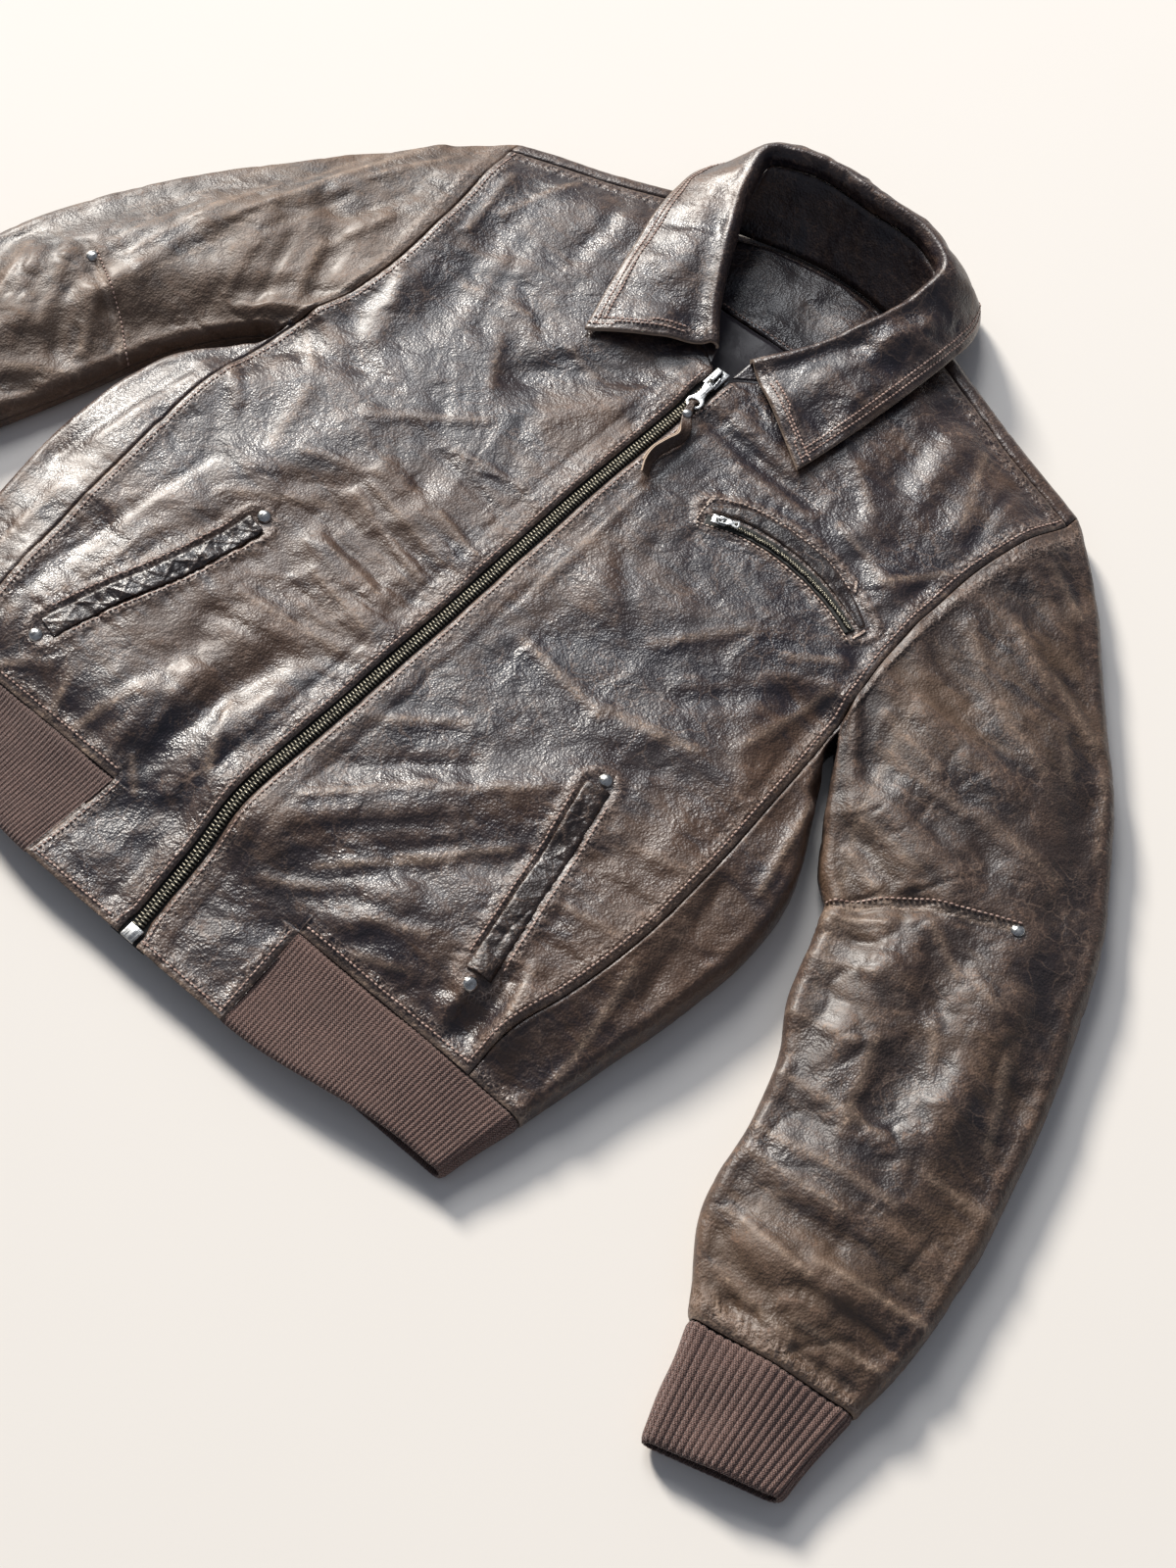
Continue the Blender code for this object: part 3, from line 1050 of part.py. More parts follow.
def rotate_z(point, angle):
    """Point turned about Z."""
    c, s = math.cos(angle), math.sin(angle)
    return (c * point[0] - s * point[1], s * point[0] + c * point[1])


def neck_inside():
    """Neck facing and lining: the part of the inside that the open neck shows."""
    made = []
    for name, slot, low, high, half, thick in (("lining", "lining", 150, 329.5, 150, 1.0),
                                               ("neck_facing", "leather", 330, None, 82, 1.5)):
        x = np.linspace(-half, half, 9)
        rows = []
        for t in np.linspace(0, 1, 4):
            ends = [(read(SHOULDER, abs(v)) - 18.0) if high is None else high for v in x]
            rows.append([(v, low + (float(e) - low) * t, LEATHER + SEAM + thick) for v, e in zip(x, ends)])
        outer = np.array(rows)
        made.append((wall(name, outer, outer - (0, 0, thick)), slot))
    return made


def paint(obj, slot):
    """Give an object its own material."""
    colour, rough, metal = MATERIALS[slot]
    mat = bpy.data.materials.new(slot + "_" + obj.name)
    mat.use_nodes = True
    shader = mat.node_tree.nodes.get("Principled BSDF")
    shader.inputs["Base Color"].default_value = (*colour, 1.0)
    shader.inputs["Roughness"].default_value = rough
    shader.inputs["Metallic"].default_value = metal
    obj.data.materials.append(mat)


def main():
    """Clear the scene and build every piece."""
    for obj in list(bpy.data.objects):
        bpy.data.objects.remove(obj, do_unlink=True)
    pieces = [(back("back_panel"), "leather")]
    for side, word in ((1, "left"), (-1, "right")):
        pieces.append((front("front_" + word, side), "leather"))
        pieces.append((side_panel("side_panel_" + word, side), "leather"))
        pieces.append((sleeve("sleeve_" + word, side), "sleeve_leather"))
        pieces.append((cuff("cuff_" + word, side), "rib_knit"))
    pieces.append((hem_rib("hem_rib"), "rib_knit"))
    pieces.append((collar_fall("collar_fall"), "leather"))
    pieces.append((collar_stand("collar_stand"), "leather"))
    named = {obj.name: obj for obj, _ in pieces}
    fronts = {1: surface_of(named["front_left"]), -1: surface_of(named["front_right"])}
    arms = {1: surface_of(named["sleeve_left"]), -1: surface_of(named["sleeve_right"])}
    for side, word in ((1, "left"), (-1, "right")):
        pieces.append((strip("hip_welt_" + word, fronts[side], HIP_WELT[side], lambda t: HIP_WELT_HALF,
                             HIP_LIFT, LEATHER, 12), "welt_leather"))
        for place, (x, y) in zip(("upper", "lower"), HIP_RIVETS[side]):
            pieces.append((rivet("rivet_%s_%s" % (place, word), fronts[side], side * x, y), "silver_metal"))
        x, y = ELBOW_RIVETS[side]
        pieces.append((rivet("rivet_elbow_" + word, arms[side], side * x, y), "silver_metal"))
    pieces += breast_pocket(fronts[1])
    pieces += front_zip()
    pieces += neck_inside()
    for obj, slot in pieces:
        paint(obj, slot)


main()
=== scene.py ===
"""Worn leather jacket laid flat on its back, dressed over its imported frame.

Sizes are in millimetres in the frame's own axes and become metres when a mesh is made:
+X to the wearer's left, +Y from the hem to the collar, +Z up from the surface. Each cloth
piece is a thin shell that follows its solid's form. Its large folds are placed one by one from
the tables below; its small wrinkles are sums of fixed waves, the same on every run.
"""
from __future__ import annotations

import logging
import math
from dataclasses import dataclass, field
from enum import Enum
from typing import Optional, Sequence

import bmesh
import bpy
import numpy as np
from mathutils import Matrix, Vector
from mathutils.bvhtree import BVHTree

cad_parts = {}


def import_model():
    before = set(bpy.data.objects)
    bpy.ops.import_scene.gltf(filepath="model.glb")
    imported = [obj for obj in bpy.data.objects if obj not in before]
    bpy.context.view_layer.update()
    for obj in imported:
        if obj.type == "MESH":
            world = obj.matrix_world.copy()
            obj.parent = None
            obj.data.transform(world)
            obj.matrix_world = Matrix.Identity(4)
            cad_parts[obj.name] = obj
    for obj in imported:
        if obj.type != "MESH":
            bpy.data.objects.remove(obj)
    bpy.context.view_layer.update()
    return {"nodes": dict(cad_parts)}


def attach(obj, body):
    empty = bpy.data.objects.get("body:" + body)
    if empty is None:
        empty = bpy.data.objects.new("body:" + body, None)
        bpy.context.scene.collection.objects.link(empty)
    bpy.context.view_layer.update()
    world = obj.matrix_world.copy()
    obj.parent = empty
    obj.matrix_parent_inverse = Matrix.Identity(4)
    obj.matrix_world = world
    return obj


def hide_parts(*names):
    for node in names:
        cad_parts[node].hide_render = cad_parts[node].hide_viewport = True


LOG = logging.getLogger("jacket")
MM = 0.001
UP = np.array([0.0, 0.0, 1.0])
FAR = 99.0  # a distance in millimetres past the reach of every seam
Array = np.ndarray
Table = Sequence[Sequence[float]]


class Slot(Enum):
    """Names of the pieces' material slots."""

    LEATHER = "leather"
    SLEEVE = "sleeve_leather"
    WELT = "welt_leather"
    KNIT = "rib_knit"
    LINING = "lining"
    TAPE = "zip_tape"
    BRASS = "antique_brass"
    SILVER = "silver_metal"
    STRAP = "strap_leather"


class Side(Enum):
    """The wearer's left and right, with the sign of X."""

    LEFT = 1
    RIGHT = -1

    @property
    def word(self) -> str:
        """Name of the side, as the solids have it."""
        return self.name.lower()


class Held(Enum):
    """How a piece of cloth lies."""

    LAID = "laid"
    FOLDED = "folded"


def smooth(t: Array) -> Array:
    """Even start and end between 0 and 1."""
    t = np.clip(t, 0.0, 1.0)
    return t * t * (3.0 - 2.0 * t)


def bell(distance: Array, width: float) -> Array:
    """1 at no distance, falling away over a width."""
    return np.exp(-(distance / width) ** 2)


def hermite(knots: Array, values: Array, t: Array) -> Array:
    """Smooth values between knots.

    Args:
        knots: Rising places of the values.
        values: One value or one row of values for each knot.
        t: Places to read.

    Returns:
        The values at t.
    """
    t = np.atleast_1d(np.asarray(t, float))
    slope = np.gradient(values, knots, axis=0)
    i = np.clip(np.searchsorted(knots, t, side="right") - 1, 0, len(knots) - 2)
    step = knots[i + 1] - knots[i]
    u = (t - knots[i]) / step
    if values.ndim > 1:
        step, u = step[:, None], u[:, None]
    return ((2 * u ** 3 - 3 * u ** 2 + 1) * values[i] + (u ** 3 - 2 * u ** 2 + u) * step * slope[i]
            + (3 * u ** 2 - 2 * u ** 3) * values[i + 1] + (u ** 3 - u ** 2) * step * slope[i + 1])


def through(points: Table, share: Array) -> Array:
    """Smooth curve through points, read at shares of its length."""
    p = np.asarray(points, float)
    gaps = np.linalg.norm(np.diff(p[:, :3], axis=0), axis=1)
    return hermite(np.concatenate([[0.0], np.cumsum(gaps)]) / gaps.sum(), p, share)


def unit(vectors: Array) -> Array:
    """Vectors with a length of 1."""
    return vectors / np.linalg.norm(vectors, axis=-1, keepdims=True)


def run(line: Array) -> Array:
    """Length of a line up to each of its points."""
    return np.concatenate([[0], np.cumsum(np.linalg.norm(np.diff(line, axis=0), axis=1))])


def even(points: Array, step: float) -> Array:
    """Places a step apart along a line of points."""
    length = run(points)
    at = np.arange(step / 2, length[-1], step)
    return np.stack([np.interp(at, length, points[:, k]) for k in range(points.shape[1])], axis=-1)


def read(table: Table, at: Array) -> Array:
    """Smooth value of a two-column table."""
    t = np.asarray(table, float)
    at = np.clip(at, t[0, 0], t[-1, 0])
    return hermite(t[:, 0], t[:, 1], np.ravel(at)).reshape(np.shape(at))


def creases(x: Array, y: Array, listed: Table) -> Array:
    """Height at x, y of soft ridges and troughs, each given as start, end, width and rise."""
    height = np.zeros(np.shape(x))
    for x0, y0, x1, y1, width, rise in listed:
        dx, dy = x1 - x0, y1 - y0
        t = np.clip(((x - x0) * dx + (y - y0) * dy) / (dx * dx + dy * dy), 0.0, 1.0)
        away = (x - x0 - t * dx) ** 2 + (y - y0 - t * dy) ** 2
        height = height + rise * np.exp(-away / (width * width))
    return height


def spaced(reach: float, cell: float, near: bool = True, far: bool = True) -> Array:
    """Shares of a width in millimetres, about a cell apart and closer towards the ends that are sewn."""
    close = np.array([0.0, 0.5, 1.1, 1.9, 3.0, 4.4])
    start = close if near else close[:1]
    end = reach - (close[::-1] if far else close[:1])
    middle = np.linspace(start[-1], end[0], int(round((end[0] - start[-1]) / cell)) + 1)
    return np.concatenate([start[:-1], middle, end[1:]]) / reach


def grid_normals(points: Array, ring: bool = False) -> Array:
    """Directions across a grid of points, from its rows and columns."""
    along = (np.roll(points, -1, axis=1) - np.roll(points, 1, axis=1)) if ring else np.gradient(points, axis=1)
    n = np.cross(np.gradient(points, axis=0), along)
    return n / np.maximum(np.linalg.norm(n, axis=-1, keepdims=True), 1e-9)


def facing(normals: Array, row: int, col: int, axis: int, sign: int) -> Array:
    """Normals turned so that one of them looks the given way."""
    return normals if normals[row, col, axis] * sign > 0 else -normals


@dataclass(frozen=True)
class Ripple:
    """Smooth uneven field of plane waves, the same on every run."""

    seed: int
    size: float
    waves: int = 12

    def at(self, p: Array) -> Array:
        """Value of about -1 to 1 at points.

        Args:
            p: Points in millimetres, with three coordinates last.

        Returns:
            One value for each point.
        """
        rng = np.random.default_rng(self.seed)
        total = np.zeros(p.shape[:-1])
        bent = p + 0.22 * self.size * np.sin(p[..., [1, 2, 0]] * (2.1 / self.size) + self.seed)
        for _ in range(self.waves):
            way = rng.normal(size=3)
            way *= 2 * math.pi / self.size * rng.uniform(0.6, 1.3) / np.linalg.norm(way)
            total += np.sin(bent @ way + rng.uniform(0, 2 * math.pi))
        return total / math.sqrt(self.waves / 2) * 0.7


def wrinkled(p: Array, amount: Array, seed: int = 1) -> Array:
    """Height of the leather's own unevenness: low swells with narrow valleys between them.

    Args:
        p: Points in millimetres.
        amount: How wrinkled each point is, about 0 to 1.5.
        seed: Which pattern.

    Returns:
        Height in millimetres.
    """
    swell = Ripple(seed, 62.0).at(p) * 0.55 + Ripple(seed + 1, 30.0).at(p) * 0.22
    broad = bell(Ripple(seed + 2, 44.0).at(p), 0.16) * np.clip(Ripple(seed + 3, 80.0).at(p) + 0.35, 0, 1)
    narrow = bell(Ripple(seed + 4, 19.0).at(p), 0.20) * np.clip(Ripple(seed + 5, 55.0).at(p) + 0.45, 0, 1)
    return (swell - 0.75 * broad - 0.42 * narrow) * amount


class Sockets:
    """Maker of the nodes of one tree."""

    def __init__(self, tree: bpy.types.NodeTree) -> None:
        """Start on an empty tree."""
        self.tree = tree
        tree.nodes.clear()

    def add(self, kind: str, inputs: Optional[dict] = None, **settings: object) -> bpy.types.Node:
        """Add a node.

        Args:
            kind: Blender's name of the node's type.
            inputs: Values or sockets for its inputs, by name or number.
            settings: Properties of the node.

        Returns:
            The node.
        """
        node = self.tree.nodes.new(kind)
        for key, value in settings.items():
            setattr(node, key, value)
        for key, value in (inputs or {}).items():
            if isinstance(value, bpy.types.NodeSocket):
                self.tree.links.new(value, node.inputs[key])
            else:
                node.inputs[key].default_value = value
        return node


class Recipe(Sockets):
    """Maker of one node material."""

    def __init__(self, name: str) -> None:
        """Start a material with only its output and its place on the piece."""
        self.material = bpy.data.materials.new(name)
        self.material.use_nodes = True
        super().__init__(self.material.node_tree)
        self.output = self.add("ShaderNodeOutputMaterial")
        coords = self.add("ShaderNodeTexCoord")
        self.place, self.uv = coords.outputs["Object"], coords.outputs["UV"]

    def noise(self, scale: float, detail: float = 3.0, rough: float = 0.55, bend: float = 0.0,
              place: Optional[bpy.types.NodeSocket] = None) -> bpy.types.NodeSocket:
        """Uneven value of 0 to 1, with scale features to the metre."""
        return self.add("ShaderNodeTexNoise", {"Vector": place or self.place, "Scale": scale, "Detail": detail,
                                               "Roughness": rough, "Distortion": bend}).outputs[0]

    def stretch(self, scale: Sequence[float], turn: float = 0.0) -> bpy.types.NodeSocket:
        """The piece's own coordinates, stretched and turned."""
        return self.add("ShaderNodeMapping", {"Vector": self.place, "Scale": scale,
                                              "Rotation": (0.0, 0.0, turn)}).outputs[0]

    def cells(self, scale: float, feature: str = "F1", place: Optional[bpy.types.NodeSocket] = None
              ) -> bpy.types.NodeSocket:
        """Distance within cells, or to their edges."""
        return self.add("ShaderNodeTexVoronoi", {"Vector": place or self.place, "Scale": scale},
                        feature=feature).outputs["Distance"]

    def band(self, value: bpy.types.NodeSocket, low: float, high: float, start: float = 0.0,
             end: float = 1.0) -> bpy.types.NodeSocket:
        """Part of a value's range, spread from start to end."""
        return self.add("ShaderNodeMapRange", {"Value": value, "From Min": low, "From Max": high,
                                               "To Min": start, "To Max": end},
                        interpolation_type="SMOOTHSTEP").outputs[0]

    def math(self, what: str, a: object, b: object = 0.0) -> bpy.types.NodeSocket:
        """One sum."""
        return self.add("ShaderNodeMath", {0: a, 1: b}, operation=what, use_clamp=(what == "ADD")).outputs[0]

    def blend(self, share: object, a: object, b: object) -> bpy.types.NodeSocket:
        """Colour between two colours."""
        node = self.add("ShaderNodeMix", {0: share}, data_type="RGBA")
        for socket, value in ((node.inputs[6], a), (node.inputs[7], b)):
            if isinstance(value, bpy.types.NodeSocket):
                self.tree.links.new(value, socket)
            else:
                socket.default_value = (*value, 1.0)
        return node.outputs[2]

    def attribute(self, name: str) -> bpy.types.NodeSocket:
        """A value kept on the piece's points."""
        return self.add("ShaderNodeAttribute", attribute_name=name).outputs["Fac"]

    def bump(self, height: bpy.types.NodeSocket, depth: float, strength: float = 1.0,
             under: Optional[bpy.types.NodeSocket] = None) -> bpy.types.NodeSocket:
        """Raised surface of a depth in metres, over another."""
        inputs = {"Height": height, "Distance": depth, "Strength": strength}
        if under:
            inputs["Normal"] = under
        return self.add("ShaderNodeBump", inputs).outputs[0]

    def finish(self, **sockets: object) -> bpy.types.Material:
        """Close the material with its surface shader; names take spaces for underscores."""
        shader = self.add("ShaderNodeBsdfPrincipled", {k.replace("_", " "): v for k, v in sockets.items()})
        self.tree.links.new(shader.outputs[0], self.output.inputs["Surface"])
        return self.material


@dataclass(frozen=True)
class LeatherFinish:
    """Waxed pull-up leather: mottled, rubbed pale on its edges, finely grained and creased, with painted glints on its
    grain.
    """

    name: str
    dark: tuple[float, float, float] = (0.012, 0.009, 0.015)
    middle: tuple[float, float, float] = (0.030, 0.019, 0.019)
    warm: tuple[float, float, float] = (0.085, 0.043, 0.022)
    rubbed: tuple[float, float, float] = (0.22, 0.130, 0.085)
    # Colour of the cracks and veins, and also of the painted glints on the grain.
    cracked_and_glint: tuple[float, float, float] = (0.30, 0.20, 0.145)
    puckered: tuple[float, float, float] = (0.36, 0.27, 0.22)
    cream: tuple[float, float, float] = (0.40, 0.29, 0.21)
    gloss: float = 0.35
    coat: float = 0.22
    rub: float = 0.55
    line: float = 0.34
    heat: float = 0.8
    brush: float = -1.1

    def material(self) -> bpy.types.Material:
        """Make the material."""
        r = Recipe(self.name)
        wear, lines, sewn = r.attribute("wear"), r.attribute("lines"), r.attribute("sewn")
        brushed = r.noise(16.0, 6.0, 0.68, 0.5, r.stretch((1.0, 4.2, 4.2), self.brush))
        tone = r.band(r.noise(9.0, 5.0, 0.64, 0.8), 0.36, 0.62)
        heat = r.band(r.math("ADD", r.math("ADD", r.math("MULTIPLY", r.noise(7.0, 5.0, 0.62, 0.7), 0.55),
                                           r.math("MULTIPLY", brushed, 0.45)), r.attribute("warm")), 0.50, 0.66)
        colour = r.blend(tone, self.dark, self.middle)
        colour = r.blend(r.math("MULTIPLY", heat, self.heat), colour, self.warm)
        warp = r.add("ShaderNodeVectorMath", {0: r.add("ShaderNodeTexNoise", {
            "Vector": r.place, "Scale": 55.0, "Detail": 3.0}).outputs["Color"], 1: (0.016, 0.016, 0.016),
            2: r.place}, operation="MULTIPLY_ADD").outputs[0]
        cracks = r.band(r.cells(62.0, "DISTANCE_TO_EDGE", warp), 0.0, 0.050, 1.0, 0.0)
        cracks = r.math("MULTIPLY", cracks, r.band(r.noise(21.0, 4.0), 0.47, 0.62))
        veins = r.band(r.math("ABSOLUTE", r.band(r.noise(34.0, 4.0, 0.6, 1.4), 0.0, 1.0, -0.5, 0.5)), 0.0, 0.022,
                       1.0, 0.0)
        veins = r.math("MULTIPLY", veins, r.band(r.noise(26.0, 3.0, bend=0.6), 0.50, 0.66))
        # Fine pale network, with more of it near stitches: partly pale grain lines, partly painted glints that stand in
        # for the grain's sparkle.
        grain_glint_lines = r.band(r.cells(190.0, "DISTANCE_TO_EDGE", warp), 0.0, 0.10, 1.0, 0.0)
        grain_glint_lines = r.math("MULTIPLY", grain_glint_lines, r.math("MAXIMUM", r.band(r.noise(33.0, 3.0, bend=0.4), 0.50, 0.68), sewn))
        scuffs = r.band(r.noise(210.0, 4.0, 0.7, 1.2), 0.50, 0.72)
        streaks = r.band(r.noise(42.0, 6.0, 0.72, 0.6, r.stretch((1.0, 5.0, 5.0), self.brush)), 0.54, 0.80, 0.0, 0.6)
        pale = r.math("MULTIPLY", r.math("ADD", wear, streaks), r.math("ADD", scuffs, 0.25))
        colour = r.blend(r.math("MULTIPLY", pale, self.rub), colour, self.rubbed)
        # Real cracks and veins, together with the painted grain glints, all blended towards one pale colour.
        cracks_and_glints = r.math("ADD", r.math("ADD", r.math("MULTIPLY", cracks, 0.8), r.math("MULTIPLY", grain_glint_lines, 0.5)), veins)
        colour = r.blend(r.math("MULTIPLY", cracks_and_glints, self.line), colour, self.cracked_and_glint)
        tight = r.band(r.cells(270.0, "DISTANCE_TO_EDGE", warp), 0.0, 0.16, 1.0, 0.0)
        colour = r.blend(r.math("MULTIPLY", r.math("MULTIPLY", tight, sewn), 0.5), colour, self.puckered)
        colour = r.blend(r.math("MULTIPLY", lines, r.math("ADD", scuffs, 0.30)), colour, self.cream)
        rough = r.math("ADD", r.band(r.noise(26.0, 5.0, 0.65), 0.3, 0.75, self.gloss - 0.10, self.gloss + 0.12),
                       r.math("ADD", r.math("MULTIPLY", pale, 0.22), r.math("MULTIPLY", heat, 0.10)))
        normal = r.bump(r.cells(640.0), 0.00030, 0.9)
        normal = r.bump(r.noise(300.0, 3.0, 0.6, 0.5), 0.0008, 0.32, normal)
        grain = r.math("MULTIPLY", r.cells(300.0, "F1", warp), r.band(r.noise(14.0, 3.0), 0.35, 0.65, 0.4, 1.0))
        normal = r.bump(grain, 0.0006, 0.5, normal)
        normal = r.bump(r.math("ADD", cracks, veins), 0.0004, -0.5, normal)
        normal = r.bump(r.math("MULTIPLY", r.noise(240.0, 2.0, 0.5, 0.6), sewn), 0.0022, 0.9, normal)
        normal = r.bump(r.noise(90.0, 3.0, 0.5, 0.8), 0.0030, 0.14, normal)
        normal = r.bump(r.noise(30.0, 2.0, 0.5, 1.0), 0.0100, 0.28, normal)
        normal = r.bump(r.noise(11.0, 2.0, 0.5, 0.8), 0.0300, 0.38, normal)
        return r.finish(Base_Color=colour, Roughness=rough, Normal=normal, Coat_Weight=self.coat,
                        Coat_Roughness=0.30, Specular_IOR_Level=0.55)


@dataclass(frozen=True)
class RawEdgeFinish:
    """Cut edge of the leather: pale and fibrous."""

    name: str = "raw_edge"

    def material(self) -> bpy.types.Material:
        """Make the material."""
        r = Recipe(self.name)
        colour = r.blend(r.noise(160.0, 4.0, 0.7), (0.30, 0.20, 0.135), (0.66, 0.52, 0.40))
        return r.finish(Base_Color=colour, Roughness=0.75, Normal=r.bump(r.noise(1500.0), 0.0003))


@dataclass(frozen=True)
class KnitFinish:
    """Rib knit: small loops in columns, painted lighter on their crests and darker between them, with a little fuzz;
    needs a map in metres.
    """

    name: str = "rib_knit"
    loop: float = 0.0021

    def material(self) -> bpy.types.Material:
        """Make the material."""
        r = Recipe(self.name)
        split = r.add("ShaderNodeSeparateXYZ", {0: r.uv})
        across, along = split.outputs[0], split.outputs[1]
        slant = r.math("PINGPONG", r.math("MULTIPLY", across, 1000.0), 0.8)
        turns = r.math("MULTIPLY", r.math("ADD", r.math("MULTIPLY", along, 1.0 / self.loop), slant), 2 * math.pi)
        sum_node = turns.node.inputs[0].links[0].from_node
        sum_node.use_clamp = False
        loops = r.band(r.math("SINE", turns), -1.0, 1.0)
        fuzz = r.noise(1400.0, 3.0)
        colour = r.blend(r.band(r.noise(45.0, 4.0), 0.3, 0.7), (0.058, 0.029, 0.023), (0.115, 0.062, 0.050))
        # Painted light and shade: the loop crests are painted lighter and the gaps between them darker, following the
        # loops' own bump.
        colour = r.blend(r.math("MULTIPLY", loops, 0.75), colour, (0.40, 0.245, 0.205))
        colour = r.blend(r.math("MULTIPLY", r.band(fuzz, 0.52, 0.75), 0.45), colour, (0.50, 0.38, 0.33))
        normal = r.bump(loops, 0.0011, 1.0)
        normal = r.bump(fuzz, 0.0004, 0.7, normal)
        return r.finish(Base_Color=colour, Roughness=0.92, Normal=normal, Sheen_Weight=0.35,
                        Sheen_Roughness=0.5, Specular_IOR_Level=0.2)


@dataclass(frozen=True)
class WovenFinish:
    """Woven cloth: a zip's tape or a satin lining, its raised threads painted lighter; needs a map in metres."""

    name: str
    colour: tuple[float, float, float]
    light: tuple[float, float, float]
    rough: float
    thread: float
    sheen: float = 0.2

    def material(self) -> bpy.types.Material:
        """Make the material."""
        r = Recipe(self.name)
        weave_relief_and_painted_light = r.add("ShaderNodeTexChecker", {"Vector": r.uv, "Scale": 1.0 / self.thread}).outputs["Fac"]
        patch = r.band(r.noise(30.0, 4.0), 0.3, 0.7)
        colour = r.blend(patch, self.colour, self.light)
        # Painted light: the raised threads of the weave are painted lighter, following the weave's own bump.
        colour = r.blend(r.math("MULTIPLY", weave_relief_and_painted_light, 0.25), colour, self.light)
        normal = r.bump(weave_relief_and_painted_light, self.thread * 0.2, 0.6)
        normal = r.bump(r.noise(70.0, 3.0, bend=0.8), 0.0015, 0.3, normal)
        return r.finish(Base_Color=colour, Roughness=self.rough, Normal=normal, Sheen_Weight=self.sheen,
                        Sheen_Roughness=0.4)


@dataclass(frozen=True)
class MetalFinish:
    """Plated metal with tarnish in patches and fine scratches."""

    name: str
    colour: tuple[float, float, float]
    tarnish: tuple[float, float, float]
    rough: float

    def material(self) -> bpy.types.Material:
        """Make the material."""
        r = Recipe(self.name)
        spots = r.band(r.noise(420.0, 5.0, 0.65), 0.42, 0.68)
        scratch = r.noise(900.0, 3.0, place=r.stretch((1.0, 0.08, 1.0), 0.6))
        colour = r.blend(spots, self.colour, self.tarnish)
        rough = r.band(scratch, 0.3, 0.75, self.rough - 0.08, self.rough + 0.16)
        normal = r.bump(scratch, 0.0001, 0.35)
        normal = r.bump(r.noise(350.0, 3.0), 0.0004, 0.3, normal)
        return r.finish(Base_Color=colour, Roughness=rough, Metallic=1.0, Normal=normal)


@dataclass(frozen=True)
class ThreadFinish:
    """Waxed sewing thread of two twisted plies."""

    name: str
    colour: tuple[float, float, float]
    worn: tuple[float, float, float]

    def material(self) -> bpy.types.Material:
        """Make the material."""
        r = Recipe(self.name)
        colour = r.blend(r.band(r.noise(85.0, 5.0, 0.7), 0.35, 0.68), self.colour, self.worn)
        return r.finish(Base_Color=colour, Roughness=0.62, Normal=r.bump(r.noise(2400.0), 0.0003, 0.8))


@dataclass(frozen=True)
class FloorFinish:
    """Plain pale studio floor."""

    name: str = "studio_floor"

    def material(self) -> bpy.types.Material:
        """Make the material."""
        r = Recipe(self.name)
        colour = r.blend(r.noise(3.0), (0.885, 0.845, 0.79), (0.905, 0.865, 0.81))
        return r.finish(Base_Color=colour, Roughness=0.9, Normal=r.bump(r.noise(300.0), 0.0001, 0.1),
                        Specular_IOR_Level=0.1)


@dataclass
class Finishes:
    """Every material of the jacket, made once."""

    body: bpy.types.Material = field(init=False)
    sleeve: bpy.types.Material = field(init=False)
    welt: bpy.types.Material = field(init=False)
    strap: bpy.types.Material = field(init=False)
    raw: bpy.types.Material = field(init=False)
    knit: bpy.types.Material = field(init=False)
    tape: bpy.types.Material = field(init=False)
    satin: bpy.types.Material = field(init=False)
    brass: bpy.types.Material = field(init=False)
    silver: bpy.types.Material = field(init=False)
    thread: bpy.types.Material = field(init=False)
    pale_thread: bpy.types.Material = field(init=False)

    def __post_init__(self) -> None:
        """Make the materials."""
        self.body = LeatherFinish("body_leather").material()
        self.sleeve = LeatherFinish("sleeve_leather", dark=(0.018, 0.012, 0.013), middle=(0.038, 0.023, 0.018),
                                    warm=(0.105, 0.060, 0.033), rub=0.62, gloss=0.46, coat=0.16).material()
        self.welt = LeatherFinish("welt_leather", dark=(0.012, 0.008, 0.009), middle=(0.022, 0.013, 0.011),
                                  warm=(0.040, 0.022, 0.015), rub=0.40, line=0.45).material()
        self.strap = LeatherFinish("strap_leather", dark=(0.035, 0.018, 0.012), middle=(0.060, 0.032, 0.020),
                                   warm=(0.11, 0.060, 0.035), rub=0.5, gloss=0.5, coat=0.05).material()
        self.raw = RawEdgeFinish().material()
        self.knit = KnitFinish().material()
        self.tape = WovenFinish("zip_tape", (0.016, 0.016, 0.015), (0.042, 0.042, 0.038), 0.80, 0.0009).material()
        self.satin = WovenFinish("satin_lining", (0.020, 0.013, 0.018), (0.034, 0.023, 0.030), 0.38, 0.0005,
                                 0.4).material()
        self.brass = MetalFinish("antique_brass", (0.30, 0.28, 0.22), (0.11, 0.105, 0.085), 0.38).material()
        self.silver = MetalFinish("silver_metal", (0.66, 0.66, 0.64), (0.36, 0.35, 0.33), 0.26).material()
        self.thread = ThreadFinish("tan_thread", (0.40, 0.26, 0.21), (0.68, 0.50, 0.42)).material()
        self.pale_thread = ThreadFinish("pale_thread", (0.52, 0.38, 0.31), (0.80, 0.66, 0.56)).material()


